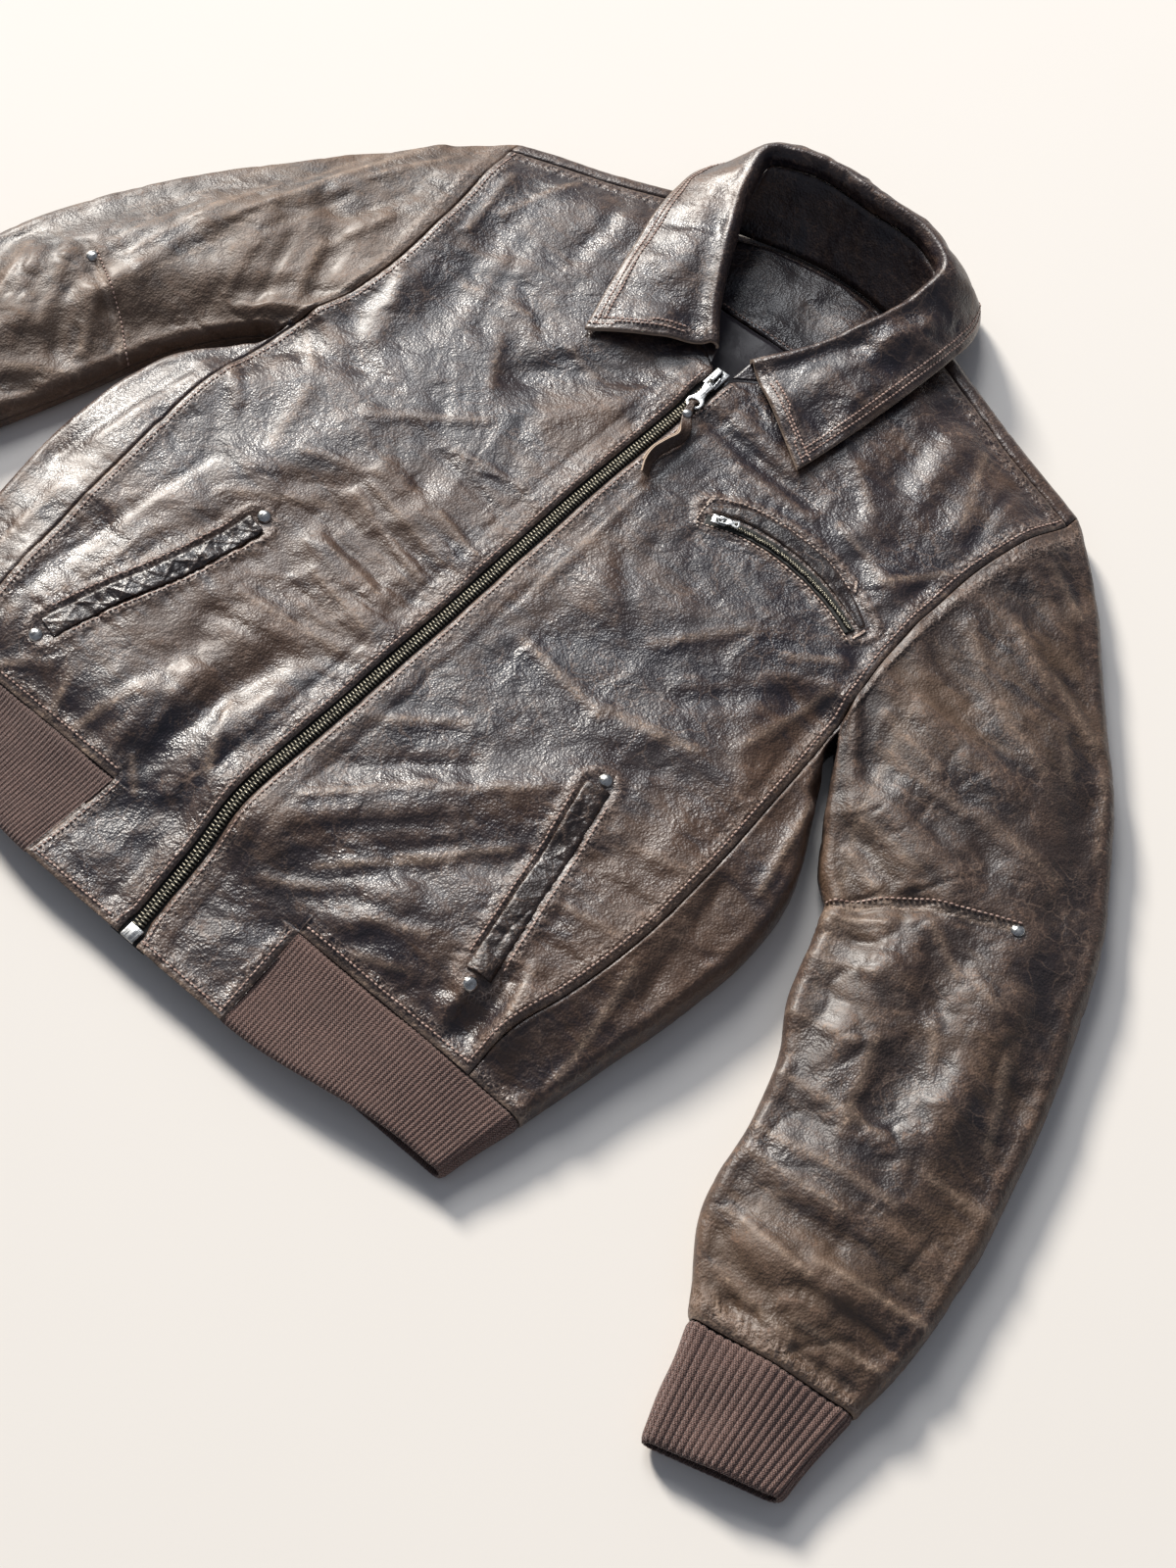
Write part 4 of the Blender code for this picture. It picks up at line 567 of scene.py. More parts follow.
class Growth(Sockets):
    """Maker of one geometry tree that sets a small shape on every point of a mesh."""

    def __init__(self, name: str, sizes: dict[str, float]) -> None:
        """Start a tree.

        Args:
            name: Name of the tree.
            sizes: Its named inputs, with their usual values.
        """
        super().__init__(bpy.data.node_groups.new(name, "GeometryNodeTree"))
        face = self.tree.interface
        face.new_socket("Geometry", in_out="INPUT", socket_type="NodeSocketGeometry")
        for key, value in sizes.items():
            face.new_socket(key, in_out="INPUT", socket_type="NodeSocketFloat").default_value = value
        face.new_socket("Finish", in_out="INPUT", socket_type="NodeSocketMaterial")
        face.new_socket("Geometry", in_out="OUTPUT", socket_type="NodeSocketGeometry")
        self.start = self.add("NodeGroupInput")
        self.end = self.add("NodeGroupOutput")

    def size(self, *names: str) -> bpy.types.NodeSocket:
        """Three inputs as one vector."""
        return self.add("ShaderNodeCombineXYZ", {i: self.start.outputs[n] for i, n in enumerate(names)}).outputs[0]

    def close(self, shape: bpy.types.NodeSocket, low: float = 1.0, high: float = 1.0, seed: int = 4) -> None:
        """Set the shape on each point, facing along and out, and end the tree.

        Args:
            shape: Mesh of one shape, with X along and Z out.
            low: Least random size.
            high: Greatest random size.
            seed: Seed of the random sizes.
        """
        ways = [self.add("GeometryNodeInputNamedAttribute", {"Name": name}, data_type="FLOAT_VECTOR").outputs[0]
                for name in ("out", "along")]
        turn = self.add("FunctionNodeAxesToRotation", {0: ways[0], 1: ways[1]}, primary_axis="Z",
                        secondary_axis="X").outputs[0]
        uneven = self.add("FunctionNodeRandomValue", data_type="FLOAT")
        for socket, value in (("Min", low), ("Max", high)):
            [s for s in uneven.inputs if s.name == socket and s.type == "VALUE"][0].default_value = value
        [s for s in uneven.inputs if s.name == "Seed"][0].default_value = seed
        scale = [s for s in uneven.outputs if s.type == "VALUE"][0]
        put = self.add("GeometryNodeInstanceOnPoints", {"Points": self.start.outputs["Geometry"], "Instance": shape,
                                                        "Rotation": turn, "Scale": scale}).outputs[0]
        real = self.add("GeometryNodeRealizeInstances", {0: put}).outputs[0]
        soft = self.add("GeometryNodeSetShadeSmooth", {"Geometry": real}).outputs[0]
        done = self.add("GeometryNodeSetMaterial", {"Geometry": soft, "Material": self.start.outputs["Finish"]})
        self.tree.links.new(done.outputs[0], self.end.inputs[0])

    def moved(self, mesh: bpy.types.NodeSocket, scale: bpy.types.NodeSocket,
              shift: Optional[bpy.types.NodeSocket] = None) -> bpy.types.NodeSocket:
        """A mesh stretched and shifted."""
        inputs = {"Geometry": mesh, "Scale": scale}
        if shift:
            inputs["Translation"] = shift
        return self.add("GeometryNodeTransform", inputs).outputs[0]

    def joined(self, *parts: bpy.types.NodeSocket) -> bpy.types.NodeSocket:
        """Several meshes as one."""
        join = self.add("GeometryNodeJoinGeometry")
        for part in parts:
            self.tree.links.new(part, join.inputs[0])
        return join.outputs[0]


class StitchGrowth(Growth):
    """Sewn stitches: short plump threads."""

    def __init__(self) -> None:
        """Build the tree."""
        super().__init__("stitch_growth", {"Length": 0.0024, "Width": 0.0008, "Height": 0.0007})
        ball = self.add("GeometryNodeMeshUVSphere", {"Segments": 6, "Rings": 4, "Radius": 0.5}).outputs[0]
        self.close(self.moved(ball, self.size("Length", "Width", "Height")), 0.86, 1.12)


class ToothGrowth(Growth):
    """Zip teeth: a bar across the tape with a rounded head at the middle of the zip."""

    def __init__(self) -> None:
        """Build the tree; X runs to the head."""
        super().__init__("tooth_growth", {"Reach": 0.0031, "Width": 0.0012, "Height": 0.0020, "Head": 0.0014})
        bar = self.add("GeometryNodeMeshCube", {"Size": (1, 1, 1)}).outputs[0]
        knob = self.add("GeometryNodeMeshUVSphere", {"Segments": 8, "Rings": 5, "Radius": 0.5}).outputs[0]
        shift = self.add("ShaderNodeVectorMath", {0: self.size("Reach", "Reach", "Reach"), 1: (0.42, 0, 0)},
                         operation="MULTIPLY").outputs[0]
        self.close(self.joined(self.moved(bar, self.size("Reach", "Width", "Height")),
                               self.moved(knob, self.size("Head", "Head", "Height"), shift)))


class RivetGrowth(Growth):
    """Domed rivet heads with a thin rim."""

    def __init__(self) -> None:
        """Build the tree; the middle of the head lies on the point."""
        super().__init__("rivet_growth", {"Across": 0.0092, "Rise": 0.0052, "Rim": 0.0010})
        dome = self.add("GeometryNodeMeshUVSphere", {"Segments": 24, "Rings": 12, "Radius": 0.5}).outputs[0]
        rim = self.add("GeometryNodeMeshCylinder", {"Vertices": 24, "Radius": 0.5, "Depth": 1.0}).outputs[0]
        self.close(self.joined(self.moved(dome, self.size("Across", "Across", "Rise")),
                               self.moved(rim, self.size("Across", "Across", "Rim"))))


@dataclass(frozen=True)
class Cut:
    """Flat size of a cloth piece in metres, the share of it that is cloth, and how it lies."""

    width: float
    length: float
    share: float
    held: Held
    rests_on: tuple[str, ...] = ()


@dataclass(frozen=True)
class Marks:
    """What a piece's leather shows at each point: wear, warm tone, pale lines and nearness to stitches."""

    wear: Optional[Array] = None
    warm: Optional[Array] = None
    lines: Optional[Array] = None
    sewn: Optional[Array] = None


class Shop:
    """Makes finished pieces, sets them on their bodies and hides the solids that they stand for."""

    def __init__(self, finishes: Finishes, nodes: dict[str, bpy.types.Object]) -> None:
        """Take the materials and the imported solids, and make the trees."""
        self.finishes = finishes
        self.nodes = nodes
        self.stitch, self.tooth, self.rivet = StitchGrowth(), ToothGrowth(), RivetGrowth()
        self.trees: dict[str, BVHTree] = {}

    @staticmethod
    def mesh_object(name: str, verts: Array, faces: Array) -> bpy.types.Object:
        """Object of points in millimetres and four-sided faces."""
        mesh = bpy.data.meshes.new(name)
        mesh.from_pydata((verts * MM).tolist(), [], faces.tolist())
        obj = bpy.data.objects.new(name, mesh)
        bpy.context.scene.collection.objects.link(obj)
        return obj

    @staticmethod
    def told(piece: bpy.types.Object, slot: Slot, nodes: Sequence[str], body: str = "jacket") -> bpy.types.Object:
        """Set a piece on the body that it rides on, hide the solids that it stands for, and log its faces."""
        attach(piece, body)
        if nodes:
            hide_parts(*nodes)
        LOG.info("%s: %d faces", piece.name, len(piece.data.polygons))
        return piece

    def shell(self, name: str, outer: Array, inner: Array, finish: bpy.types.Material, *,
              keep: Optional[Array] = None, ring: bool = False, uv: Optional[Array] = None,
              marks: Marks = Marks(), edge: Optional[bpy.types.Material] = None) -> bpy.types.Object:
        """Closed thin wall between two grids of points.

        Args:
            name: Name of the piece.
            outer: Grid of the outer face.
            inner: Grid of the inner face.
            finish: Its material.
            keep: Which cells it has; all of them if left out.
            ring: Whether the last column joins the first.
            uv: Map of the grid in metres.
            marks: What its leather shows.
            edge: Material of its cut edge.

        Returns:
            The piece.
        """
        rows, cols = outer.shape[:2]
        idx = np.arange(rows * cols).reshape(rows, cols)
        if ring:
            idx = np.concatenate([idx, idx[:, :1]], axis=1)
        size = rows * cols
        keep = np.ones((rows - 1, idx.shape[1] - 1), bool) if keep is None else keep
        quads = np.stack([idx[:-1, :-1], idx[:-1, 1:], idx[1:, 1:], idx[1:, :-1]], axis=-1)
        parts = [quads[keep], (quads[keep] + size)[:, ::-1]]
        open_left = keep & ~(np.roll(keep, 1, axis=1) if ring else np.pad(keep, ((0, 0), (1, 0)))[:, :-1])
        open_right = keep & ~(np.roll(keep, -1, axis=1) if ring else np.pad(keep, ((0, 0), (0, 1)))[:, 1:])
        open_low = keep & ~np.pad(keep, ((1, 0), (0, 0)))[:-1]
        open_high = keep & ~np.pad(keep, ((0, 1), (0, 0)))[1:]
        for mask, a, b in ((open_left, 0, 3), (open_right, 2, 1), (open_low, 1, 0), (open_high, 3, 2)):
            q = quads[mask]
            parts.append(np.stack([q[:, a], q[:, b], q[:, b] + size, q[:, a] + size], axis=-1))
        faces = np.concatenate(parts)
        points = np.concatenate([outer.reshape(-1, 3), inner.reshape(-1, 3)])
        used, faces = np.unique(faces, return_inverse=True)
        faces = faces.reshape(-1, 4)
        p = points[used]
        a, b, c, d = (p[faces[:, k]] for k in range(4))
        if np.sum(a * (np.cross(b, c) + np.cross(c, d))) < 0:
            faces = faces[:, ::-1]
        obj = self.mesh_object(name, p, faces)
        mesh = obj.data
        mesh.materials.append(finish)
        flats = 2 * int(keep.sum())
        is_wall = np.arange(len(faces)) >= flats
        mesh.polygons.foreach_set("use_smooth", ~is_wall)
        if edge:
            mesh.materials.append(edge)
            mesh.polygons.foreach_set("material_index", is_wall.astype(np.int32))
        for key in ("wear", "warm", "lines", "sewn"):
            value = getattr(marks, key)
            both = np.zeros(2 * size) if value is None else np.tile(np.ravel(value), 2)
            mesh.attributes.new(key, "FLOAT", "POINT").data.foreach_set("value", both[used].astype(np.float32))
        if uv is None:
            uv = outer[..., :2] * MM
        flat = np.tile(uv.reshape(-1, 2), (2, 1))[used]
        corner = np.zeros(len(mesh.loops), np.int32)
        mesh.loops.foreach_get("vertex_index", corner)
        mesh.uv_layers.new(name="cloth").data.foreach_set("uv", flat[corner].astype(np.float32).ravel())
        mesh.update()
        return obj

    def cloth(self, name: str, outer: Array, normals: Array, thick: float, finish: bpy.types.Material, slot: Slot,
              nodes: Sequence[str], cut: Cut, body: str = "jacket", **dress: object) -> bpy.types.Object:
        """Shell of even thickness, set on its body.

        Args:
            name: Name of the piece.
            outer: Grid of its outer face.
            normals: Outward directions of the grid.
            thick: Thickness in millimetres.
            finish: Its material.
            slot: Its material slot.
            nodes: The solids that it stands for.
            cut: Its flat size; not used.
            body: The body that it rides on.
            **dress: What shell takes besides.

        Returns:
            The piece.
        """
        inner = outer - normals * thick
        inner[..., 2] = np.maximum(inner[..., 2], 0.0)
        piece = self.shell(name, outer, inner, finish, **dress)
        self.told(piece, slot, nodes, body)
        return piece

    def remember(self, key: str, piece: bpy.types.Object) -> None:
        """Keep a piece's faces so that others can be set on them."""
        mesh = piece.data
        self.trees[key] = BVHTree.FromPolygons([v.co.copy() for v in mesh.vertices],
                                               [tuple(p.vertices) for p in mesh.polygons])

    def drop(self, key: str, plan: Array) -> tuple[Array, Array]:
        """Points and directions of a remembered piece, straight under points of the plan."""
        places, ways = [], []
        for x, y in np.asarray(plan, float)[:, :2]:
            hit, normal, _, _ = self.trees[key].ray_cast(Vector((x * MM, y * MM, 0.5)), Vector((0, 0, -1)))
            if hit is not None:
                places.append(tuple(hit))
                ways.append(tuple(normal))
        return np.array(places) / MM, np.array(ways)

    def grown(self, name: str, places: Array, along: Array, out: Array, tree: Growth, finish: bpy.types.Material,
              slot: Slot, nodes: Sequence[str] = (), body: str = "jacket", **sizes: float) -> bpy.types.Object:
        """Small shapes on points, as one plain mesh.

        Args:
            name: Name of the piece.
            places: The points.
            along: Direction of each shape's length.
            out: Direction in which each looks.
            tree: The geometry tree.
            finish: Material of the shapes.
            slot: Their material slot.
            nodes: The solids that they stand for.
            body: The body that they ride on.
            **sizes: The tree's named sizes in metres.

        Returns:
            The piece.
        """
        obj = self.mesh_object(name, places, np.zeros((0, 4), int))
        for key, value in (("along", along), ("out", out)):
            data = obj.data.attributes.new(key, "FLOAT_VECTOR", "POINT").data
            data.foreach_set("vector", np.asarray(value, np.float32).ravel())
        modifier = obj.modifiers.new("growth", "NODES")
        modifier.node_group = tree.tree
        for item in tree.tree.interface.items_tree:
            if item.in_out == "INPUT" and item.name in sizes:
                modifier[item.identifier] = sizes[item.name]
            elif item.in_out == "INPUT" and item.name == "Finish":
                modifier[item.identifier] = finish
        bpy.context.view_layer.update()
        graph = bpy.context.evaluated_depsgraph_get()
        mesh = bpy.data.meshes.new_from_object(obj.evaluated_get(graph))
        obj.modifiers.remove(modifier)
        obj.data = mesh
        return self.told(obj, slot, nodes, body)

    def sew(self, name: str, rows: Sequence[tuple[Array, Array]], finish: bpy.types.Material, pitch: float = 3.6,
            slot: Slot = Slot.LEATHER, lift: float = 0.42, length: float = 0.0029, width: float = 0.0015
            ) -> bpy.types.Object:
        """Rows of stitches as one piece.

        Args:
            name: Name of the piece.
            rows: Points and directions of each row.
            finish: The thread.
            pitch: From stitch to stitch, in millimetres.
            slot: Material slot.
            lift: Height of a thread's middle over the cloth.
            length: Length of a stitch in metres.
            width: Width of a stitch in metres.

        Returns:
            The piece.
        """
        places, ways, outs = [], [], []
        for points, normals in rows:
            line = even(np.concatenate([points, normals], axis=1), pitch)
            spots, out = line[:, :3], line[:, 3:]
            way = np.gradient(spots, axis=0)
            places.append(spots + out * lift)
            ways.append(unit(way))
            outs.append(out)
        return self.grown(name, np.concatenate(places), np.concatenate(ways), np.concatenate(outs), self.stitch,
                          finish, slot, Length=length, Width=width, Height=0.0010)

    def zip_teeth(self, name: str, line: Array, out: Array, reach: float, finish: bpy.types.Material, slot: Slot,
                  nodes: Sequence[str], **sizes: float) -> bpy.types.Object:
        """Teeth along a line, from its two sides by turns.

        Args:
            name: Name of the piece.
            line: Places on the middle line, one for each tooth.
            out: Direction in which the teeth look.
            reach: From the middle line to a tooth's middle, in millimetres.
            finish: Their material.
            slot: Their material slot.
            nodes: The solids that they stand for.
            **sizes: The tree's named sizes in metres.

        Returns:
            The piece.
        """
        way = np.gradient(line, axis=0)
        across = np.cross(out, way)
        across = unit(across)
        turn = np.where(np.arange(len(line)) % 2 == 0, 1.0, -1.0)[:, None]
        return self.grown(name, line + across * turn * reach, -across * turn, out, self.tooth, finish, slot, nodes,
                          **sizes)

    def row(self, key: str, path: Table, count: int = 200) -> tuple[Array, Array]:
        """A row of stitches on a remembered piece, along a smooth path of the plan."""
        return self.drop(key, through(np.asarray(path, float)[:, :2], np.linspace(0, 1, count)))

    def refined(self, name: str, node: str, finish: bpy.types.Material, slot: Slot, body: str, bevel: float,
                rounds: int = 2) -> bpy.types.Object:
        """A hard solid's own form with its edges rounded.

        Args:
            name: Name of the piece.
            node: The solid.
            finish: Its material.
            slot: Its material slot.
            body: The body that it rides on.
            bevel: Width of the rounding in metres.
            rounds: Steps of the rounding.

        Returns:
            The piece.
        """
        mesh = self.nodes[node].data.copy()
        work = bmesh.new()
        work.from_mesh(mesh)
        bmesh.ops.remove_doubles(work, verts=work.verts, dist=1e-6)
        bmesh.ops.dissolve_limit(work, angle_limit=0.02, verts=work.verts, edges=work.edges)
        bmesh.ops.recalc_face_normals(work, faces=work.faces)
        edges = [e for e in work.edges if len(e.link_faces) == 2 and e.calc_face_angle(0) > 0.5]
        bmesh.ops.bevel(work, geom=edges, offset=bevel, segments=rounds, profile=0.6, affect="EDGES",
                        clamp_overlap=True)
        bmesh.ops.triangulate(work, faces=[f for f in work.faces if len(f.verts) > 4])
        work.to_mesh(mesh)
        work.free()
        mesh.polygons.foreach_set("use_smooth", np.ones(len(mesh.polygons), bool))
        mesh.materials.clear()
        mesh.materials.append(finish)
        obj = bpy.data.objects.new(name, mesh)
        bpy.context.scene.collection.objects.link(obj)
        return self.told(obj, slot, (node,), body)


def offset(path: Table, by: float) -> Array:
    """Smooth path of the plan beside another."""
    line = through(np.asarray(path, float)[:, :2], np.linspace(0, 1, 60))
    way = np.gradient(line, axis=0)
    way = unit(way)
    return line + np.column_stack([-way[:, 1], way[:, 0]]) * by


def laid_strip(shop: Shop, key: str, path: Table, half: Array, columns: int) -> tuple[Array, Array, Array, Array]:
    """Grid of points along a path on a remembered piece.

    Args:
        shop: Where the piece is remembered.
        key: The piece.
        path: Middle line in the plan.
        half: Half width at each row.
        columns: Cells across.

    Returns:
        The points, their outward directions, and how far across and along each lies.
    """
    line = through(np.asarray(path, float)[:, :2], np.linspace(0, 1, len(half)))
    way = np.gradient(line, axis=0)
    length = run(line)
    way = unit(way)
    side = np.column_stack([-way[:, 1], way[:, 0]])
    across = half[:, None] * np.linspace(-1, 1, columns + 1)[None, :]
    plan = line[:, None, :] + side[:, None, :] * across[..., None]
    spots, out = shop.drop(key, plan.reshape(-1, 2))
    shape = plan.shape[:2] + (3,)
    return spots.reshape(shape), out.reshape(shape), across, np.repeat(length[:, None], columns + 1, axis=1)


@dataclass(frozen=True)
class Pockets:
    """Places of the pockets in the plan, and the form that they give the leather round them."""

    hip_left: Table = ((152, -44), (160, -80), (168, -120), (175, -155), (181, -186))
    hip_right: Table = ((-143, -43), (-150, -80), (-162, -118), (-175, -152), (-184, -189))
    hip_half: float = 9.0
    breast_welt: Table = ((70, 167), (88, 177), (120, 182.5), (152, 180), (180, 171.5), (200, 161.5))
    breast_half: tuple[float, float] = (2.2, 6.6)
    breast_zip: Table = ((72, 158), (90, 165), (120, 169.5), (150, 167.5), (178, 160.5), (196, 153.5))

    def hip(self, side: Side) -> Table:
        """Middle line of a hip welt."""
        return self.hip_left if side is Side.LEFT else self.hip_right

    @staticmethod
    def near(x: Array, y: Array, path: Table) -> tuple[Array, Array]:
        """Distance of points from a path, and how far along it each lies."""
        line = through(np.asarray(path, float), np.linspace(0, 1, 90))
        length = run(line)
        gap = np.hypot(x[..., None] - line[:, 0], y[..., None] - line[:, 1])
        return gap.min(axis=-1), length[gap.argmin(axis=-1)]

    def rise(self, x: Array, y: Array, side: Side) -> Array:
        """Lips, grooves and puckers that the pockets of a front give it."""
        d, along = self.near(x, y, self.hip(side))
        pucker = np.sin(along * 0.62 + 1.8 * np.sin(along * 0.19)) * bell(d - 16.0, 7.0)
        total = (0.75 * bell(d - 11.6, 2.4) - 1.0 * bell(d - self.hip_half - 0.2, 1.0)
                 - 0.7 * (1 - smooth((d - 6.5) / 2.0)) + 0.55 * pucker)
        if side is Side.LEFT:
            d, along = self.near(x, y, self.breast_welt)
            low, _ = self.near(x, y, self.breast_zip)
            pucker = np.sin(along * 0.55 + 1.7 * np.sin(along * 0.21)) * bell(d - 12.0, 6.0)
            total += 0.8 * bell(d - 9.5, 2.6) - 0.9 * bell(d - 6.8, 1.2) + 0.35 * pucker
            total += 0.7 * bell(low - 6.0, 1.8) - 0.9 * (1 - smooth((low - 3.0) / 2.0))
        return total

    def wear(self, x: Array, y: Array, side: Side) -> tuple[Array, Array]:
        """Wear on the lips, and how near their rows of stitches are."""
        d, _ = self.near(x, y, self.hip(side))
        worn, sewn = 0.45 * bell(d - 11.0, 2.4), bell(d - 13.0, 4.0)
        if side is Side.LEFT:
            d, _ = self.near(x, y, self.breast_welt)
            low, _ = self.near(x, y, self.breast_zip)
            worn = worn + 0.6 * bell(d - 9.0, 2.4) + 0.5 * bell(low - 6.0, 1.8)
            sewn = sewn + bell(d - 10.0, 4.0) + bell(low - 7.0, 3.0)
        return worn, sewn


@dataclass(frozen=True)
class Body:
    """The flattened body tube: its top face and the lines along which it is cut."""

    seam: float = 0.35
    thick: float = 1.3
    edge_reach: float = 9.0
    edge_height: float = 24.0
    roll: float = 52.0
    y_hem: float = -303.0
    y_rib: float = -233.0
    y_pit: float = 100.0
    y_zip_top: float = 259.0
    wrap: float = 16.0
    neck_half: float = 97.0
    zip_gap: float = 8.0
    zip_near: float = 5.7
    pit_turn: tuple[float, float] = (0.5, -0.86)
    crown: Table = ((-310, 21), (-270, 22), (-233, 25), (-205, 34), (-130, 37), (0, 38), (120, 38),
                    (200, 37), (260, 37), (330, 36), (380, 33), (420, 28))
    edge: Table = ((-310, 19), (-270, 20), (-233, 21), (-190, 24), (420, 24))
    side_left: Table = ((-310, 242), (-237, 255), (-170, 270), (-100, 284), (-60, 288), (-25, 285), (10, 274),
                        (40, 258), (62, 247), (92, 237), (130, 320), (200, 420), (430, 460))
    side_right: Table = ((-310, 250), (-237, 265), (-170, 287), (-120, 299), (-60, 306), (-10, 304),
                         (30, 292), (60, 270), (92, 253), (130, 330), (200, 430), (430, 460))
    seam_left: Table = ((-240, 215), (-200, 218), (-160, 228), (-100, 238), (-40, 240), (40, 236), (100, 232))
    seam_right: Table = ((-240, 224), (-185, 232), (-140, 238), (-50, 248), (10, 254), (100, 248))
    side_under: float = 30.0
    shoulder: Table = ((0, 424), (60, 414), (97, 400), (130, 387), (185, 364), (230, 349), (260, 338))
    arm_left: Table = ((250, 326), (239, 290), (230, 250), (226, 200), (226, 150), (229, 120), (232, 100))
    arm_right: Table = ((250, 326), (242, 290), (236, 250), (232, 200), (234, 150), (241, 120), (248, 100))
    neckline: Table = ((9, 259), (30, 275), (58, 315), (82, 356), (97, 384))
    zip_line: Table = ((-310, 5), (-260, -1), (-200, -7), (-100, -5), (0, -3), (120, -2), (220, 2), (290, 4))
    folds: Table = (
        (194, -176, 199, -225, 8, -5.5), (178, -180, 182, -226, 9, 3.0), (214, -175, 216, -226, 8, 2.6),
        (14, -200, 138, -52, 19, 3.6), (48, -205, 160, -96, 15, -2.8), (96, -226, 112, -178, 11, 2.6),
        (-62, -112, -74, -226, 13, -4.6), (-94, -222, -88, -150, 13, 3.2), (-42, -130, -46, -224, 13, 2.4),
        (-24, 22, -112, 46, 9, 2.4), (-26, -14, -118, 2, 9, -2.2), (-24, -46, -104, -30, 9, 2.2),
        (-28, -84, -100, -74, 10, -2.0), (226, 128, 178, 176, 11, -2.8), (222, 186, 158, 220, 13, 2.6),
        (-230, 140, -188, 100, 13, -2.6), (-228, 230, -196, 120, 12, 2.6), (-205, 300, -176, 170, 14, -2.4),
        (14, 243, 84, 228, 9, 1.6), (20, 226, 112, 216, 8, -2.6), (-100, 168, -40, 238, 17, -3.4),
        (-60, 150, -20, 214, 12, 2.0), (156, 366, 164, 286, 14, 2.8), (136, 340, 146, 270, 12, -2.4),
        (246, 76, 262, 20, 9, 3.4), (262, 20, 276, -52, 9, 3.4), (-262, 70, -278, -60, 12, 2.6),
        (60, 60, 150, 110, 22, 2.6), (-150, 60, -196, -100, 20, 2.4), (-216, -110, -224, -210, 10, -2.4))
    # Smaller creases that only the looks have.
    small: Table = (
        (-20, 34, -60, 42, 3.2, 1.3), (-22, 26, -84, 36, 3.0, -1.2), (-30, 14, -108, 30, 3.4, 1.2),
        (-26, 4, -90, 12, 3.0, -1.1), (-34, -4, -112, 18, 4.0, 1.3), (-22, -12, -70, -8, 3.0, 1.2),
        (-28, -22, -104, -16, 3.4, -1.2), (-40, -32, -96, -24, 3.2, 1.2), (-22, -38, -60, -42, 2.8, -1.0),
        (-30, -56, -88, -46, 4.0, 1.2), (-26, -66, -92, -62, 3.4, -1.1), (-36, -78, -110, -88, 4.4, 1.2),
        (-46, -96, -116, -110, 5.0, -1.2), (-110, 40, -160, 20, 5.0, 1.1), (-118, 20, -168, -14, 5.0, -1.1),
        (-120, 0, -176, -40, 6.0, 1.2), (-128, -60, -150, -86, 4.0, 1.0), (-100, -56, -138, -32, 4.6, -1.0),
        (-30, 96, -86, 88, 3.6, 1.0), (-36, 70, -128, 84, 4.0, -0.9), (-90, 120, -150, 72, 6.0, 1.1),
        (-60, -150, -34, -196, 5.0, 1.3), (-96, -166, -84, -212, 5.0, -1.3), (-108, -180, -122, -226, 6.0, 1.3),
        (-80, -216, -62, -232, 4.0, 1.3), (-40, -214, -22, -232, 4.0, -1.0), (-150, -200, -140, -230, 6.0, 1.2),
        (-178, -214, -200, -230, 5.0, 1.2), (-186, -90, -200, -170, 6.0, 1.2), (-205, -30, -214, -120, 5.0, -1.2),
        (-180, 200, -130, 210, 6.0, 1.1), (-150, 226, -110, 206, 5.0, -1.1), (-176, 260, -150, 180, 7.0, -1.1),
        (-130, 180, -108, 146, 5.0, 1.1), (-90, 208, -60, 200, 4.0, 1.0), (-196, 60, -180, 10, 6.0, 1.2),
        (20, -170, 74, -112, 5.0, 1.3), (34, -190, 96, -126, 5.0, -1.3), (60, -196, 118, -140, 5.5, 1.3),
        (70, -212, 110, -190, 5.0, -1.2), (94, -160, 140, -110, 5.0, 1.2), (30, -130, 84, -84, 5.5, -1.2),
        (84, -108, 130, -66, 5.0, 1.1), (16, -100, 60, -64, 6.0, 1.1), (104, -204, 140, -188, 4.5, 1.2),
        (116, -222, 160, -208, 4.0, 1.3), (146, -214, 176, -204, 4.0, -1.1), (40, -222, 70, -206, 4.0, 1.1),
        (196, -60, 226, -54, 4.0, 1.0), (190, -90, 232, -84, 4.5, -0.9), (186, -120, 226, -112, 4.0, 1.0),
        (196, -146, 222, -140, 4.0, -1.0), (204, -164, 216, -210, 4.0, 1.4), (188, -196, 192, -226, 3.6, -1.6),
        (120, 2, 178, 16, 8.0, 1.2), (46, 6, 118, -4, 7.0, 1.3), (150, 40, 196, 90, 8.0, -1.2),
        (110, 60, 150, 110, 6.0, 1.0), (50, 100, 90, 60, 7.0, -1.0), (200, 40, 214, 110, 5.0, 1.2),
        (180, 110, 206, 130, 5.0, 1.0), (190, 196, 216, 230, 6.0, 1.1), (140, 214, 196, 196, 5.0, 1.0),
        (60, 206, 120, 206, 5.0, 0.8), (120, 260, 150, 236, 6.0, 1.0), (176, 330, 200, 270, 7.0, 1.0),
        (206, 320, 214, 260, 5.0, -1.1), (-190, 330, -206, 270, 6.0, 1.1), (-150, 340, -142, 270, 7.0, -1.1),
        (-226, 300, -214, 240, 4.5, 1.2), (-222, 180, -204, 150, 4.5, 1.2), (-240, 100, -206, 76, 5.0, 1.2),
        (-250, 40, -222, 20, 5.0, 1.0), (-254, -20, -226, -34, 5.0, -1.0), (-240, -100, -226, -96, 4.0, 1.0),
        (12, 60, 14, 140, 9.0, -1.4), (24, 150, 26, 40, 6.0, 1.0), (250, -40, 262, -130, 6.0, -1.6),
        (254, 40, 270, -30, 4.0, 1.6), (240, 96, 250, 50, 4.0, -1.8), (246, -120, 256, -200, 6.0, 1.3),
        (-270, 20, -286, -90, 6.0, -1.3), (-262, -110, -256, -200, 7.0, 1.3))
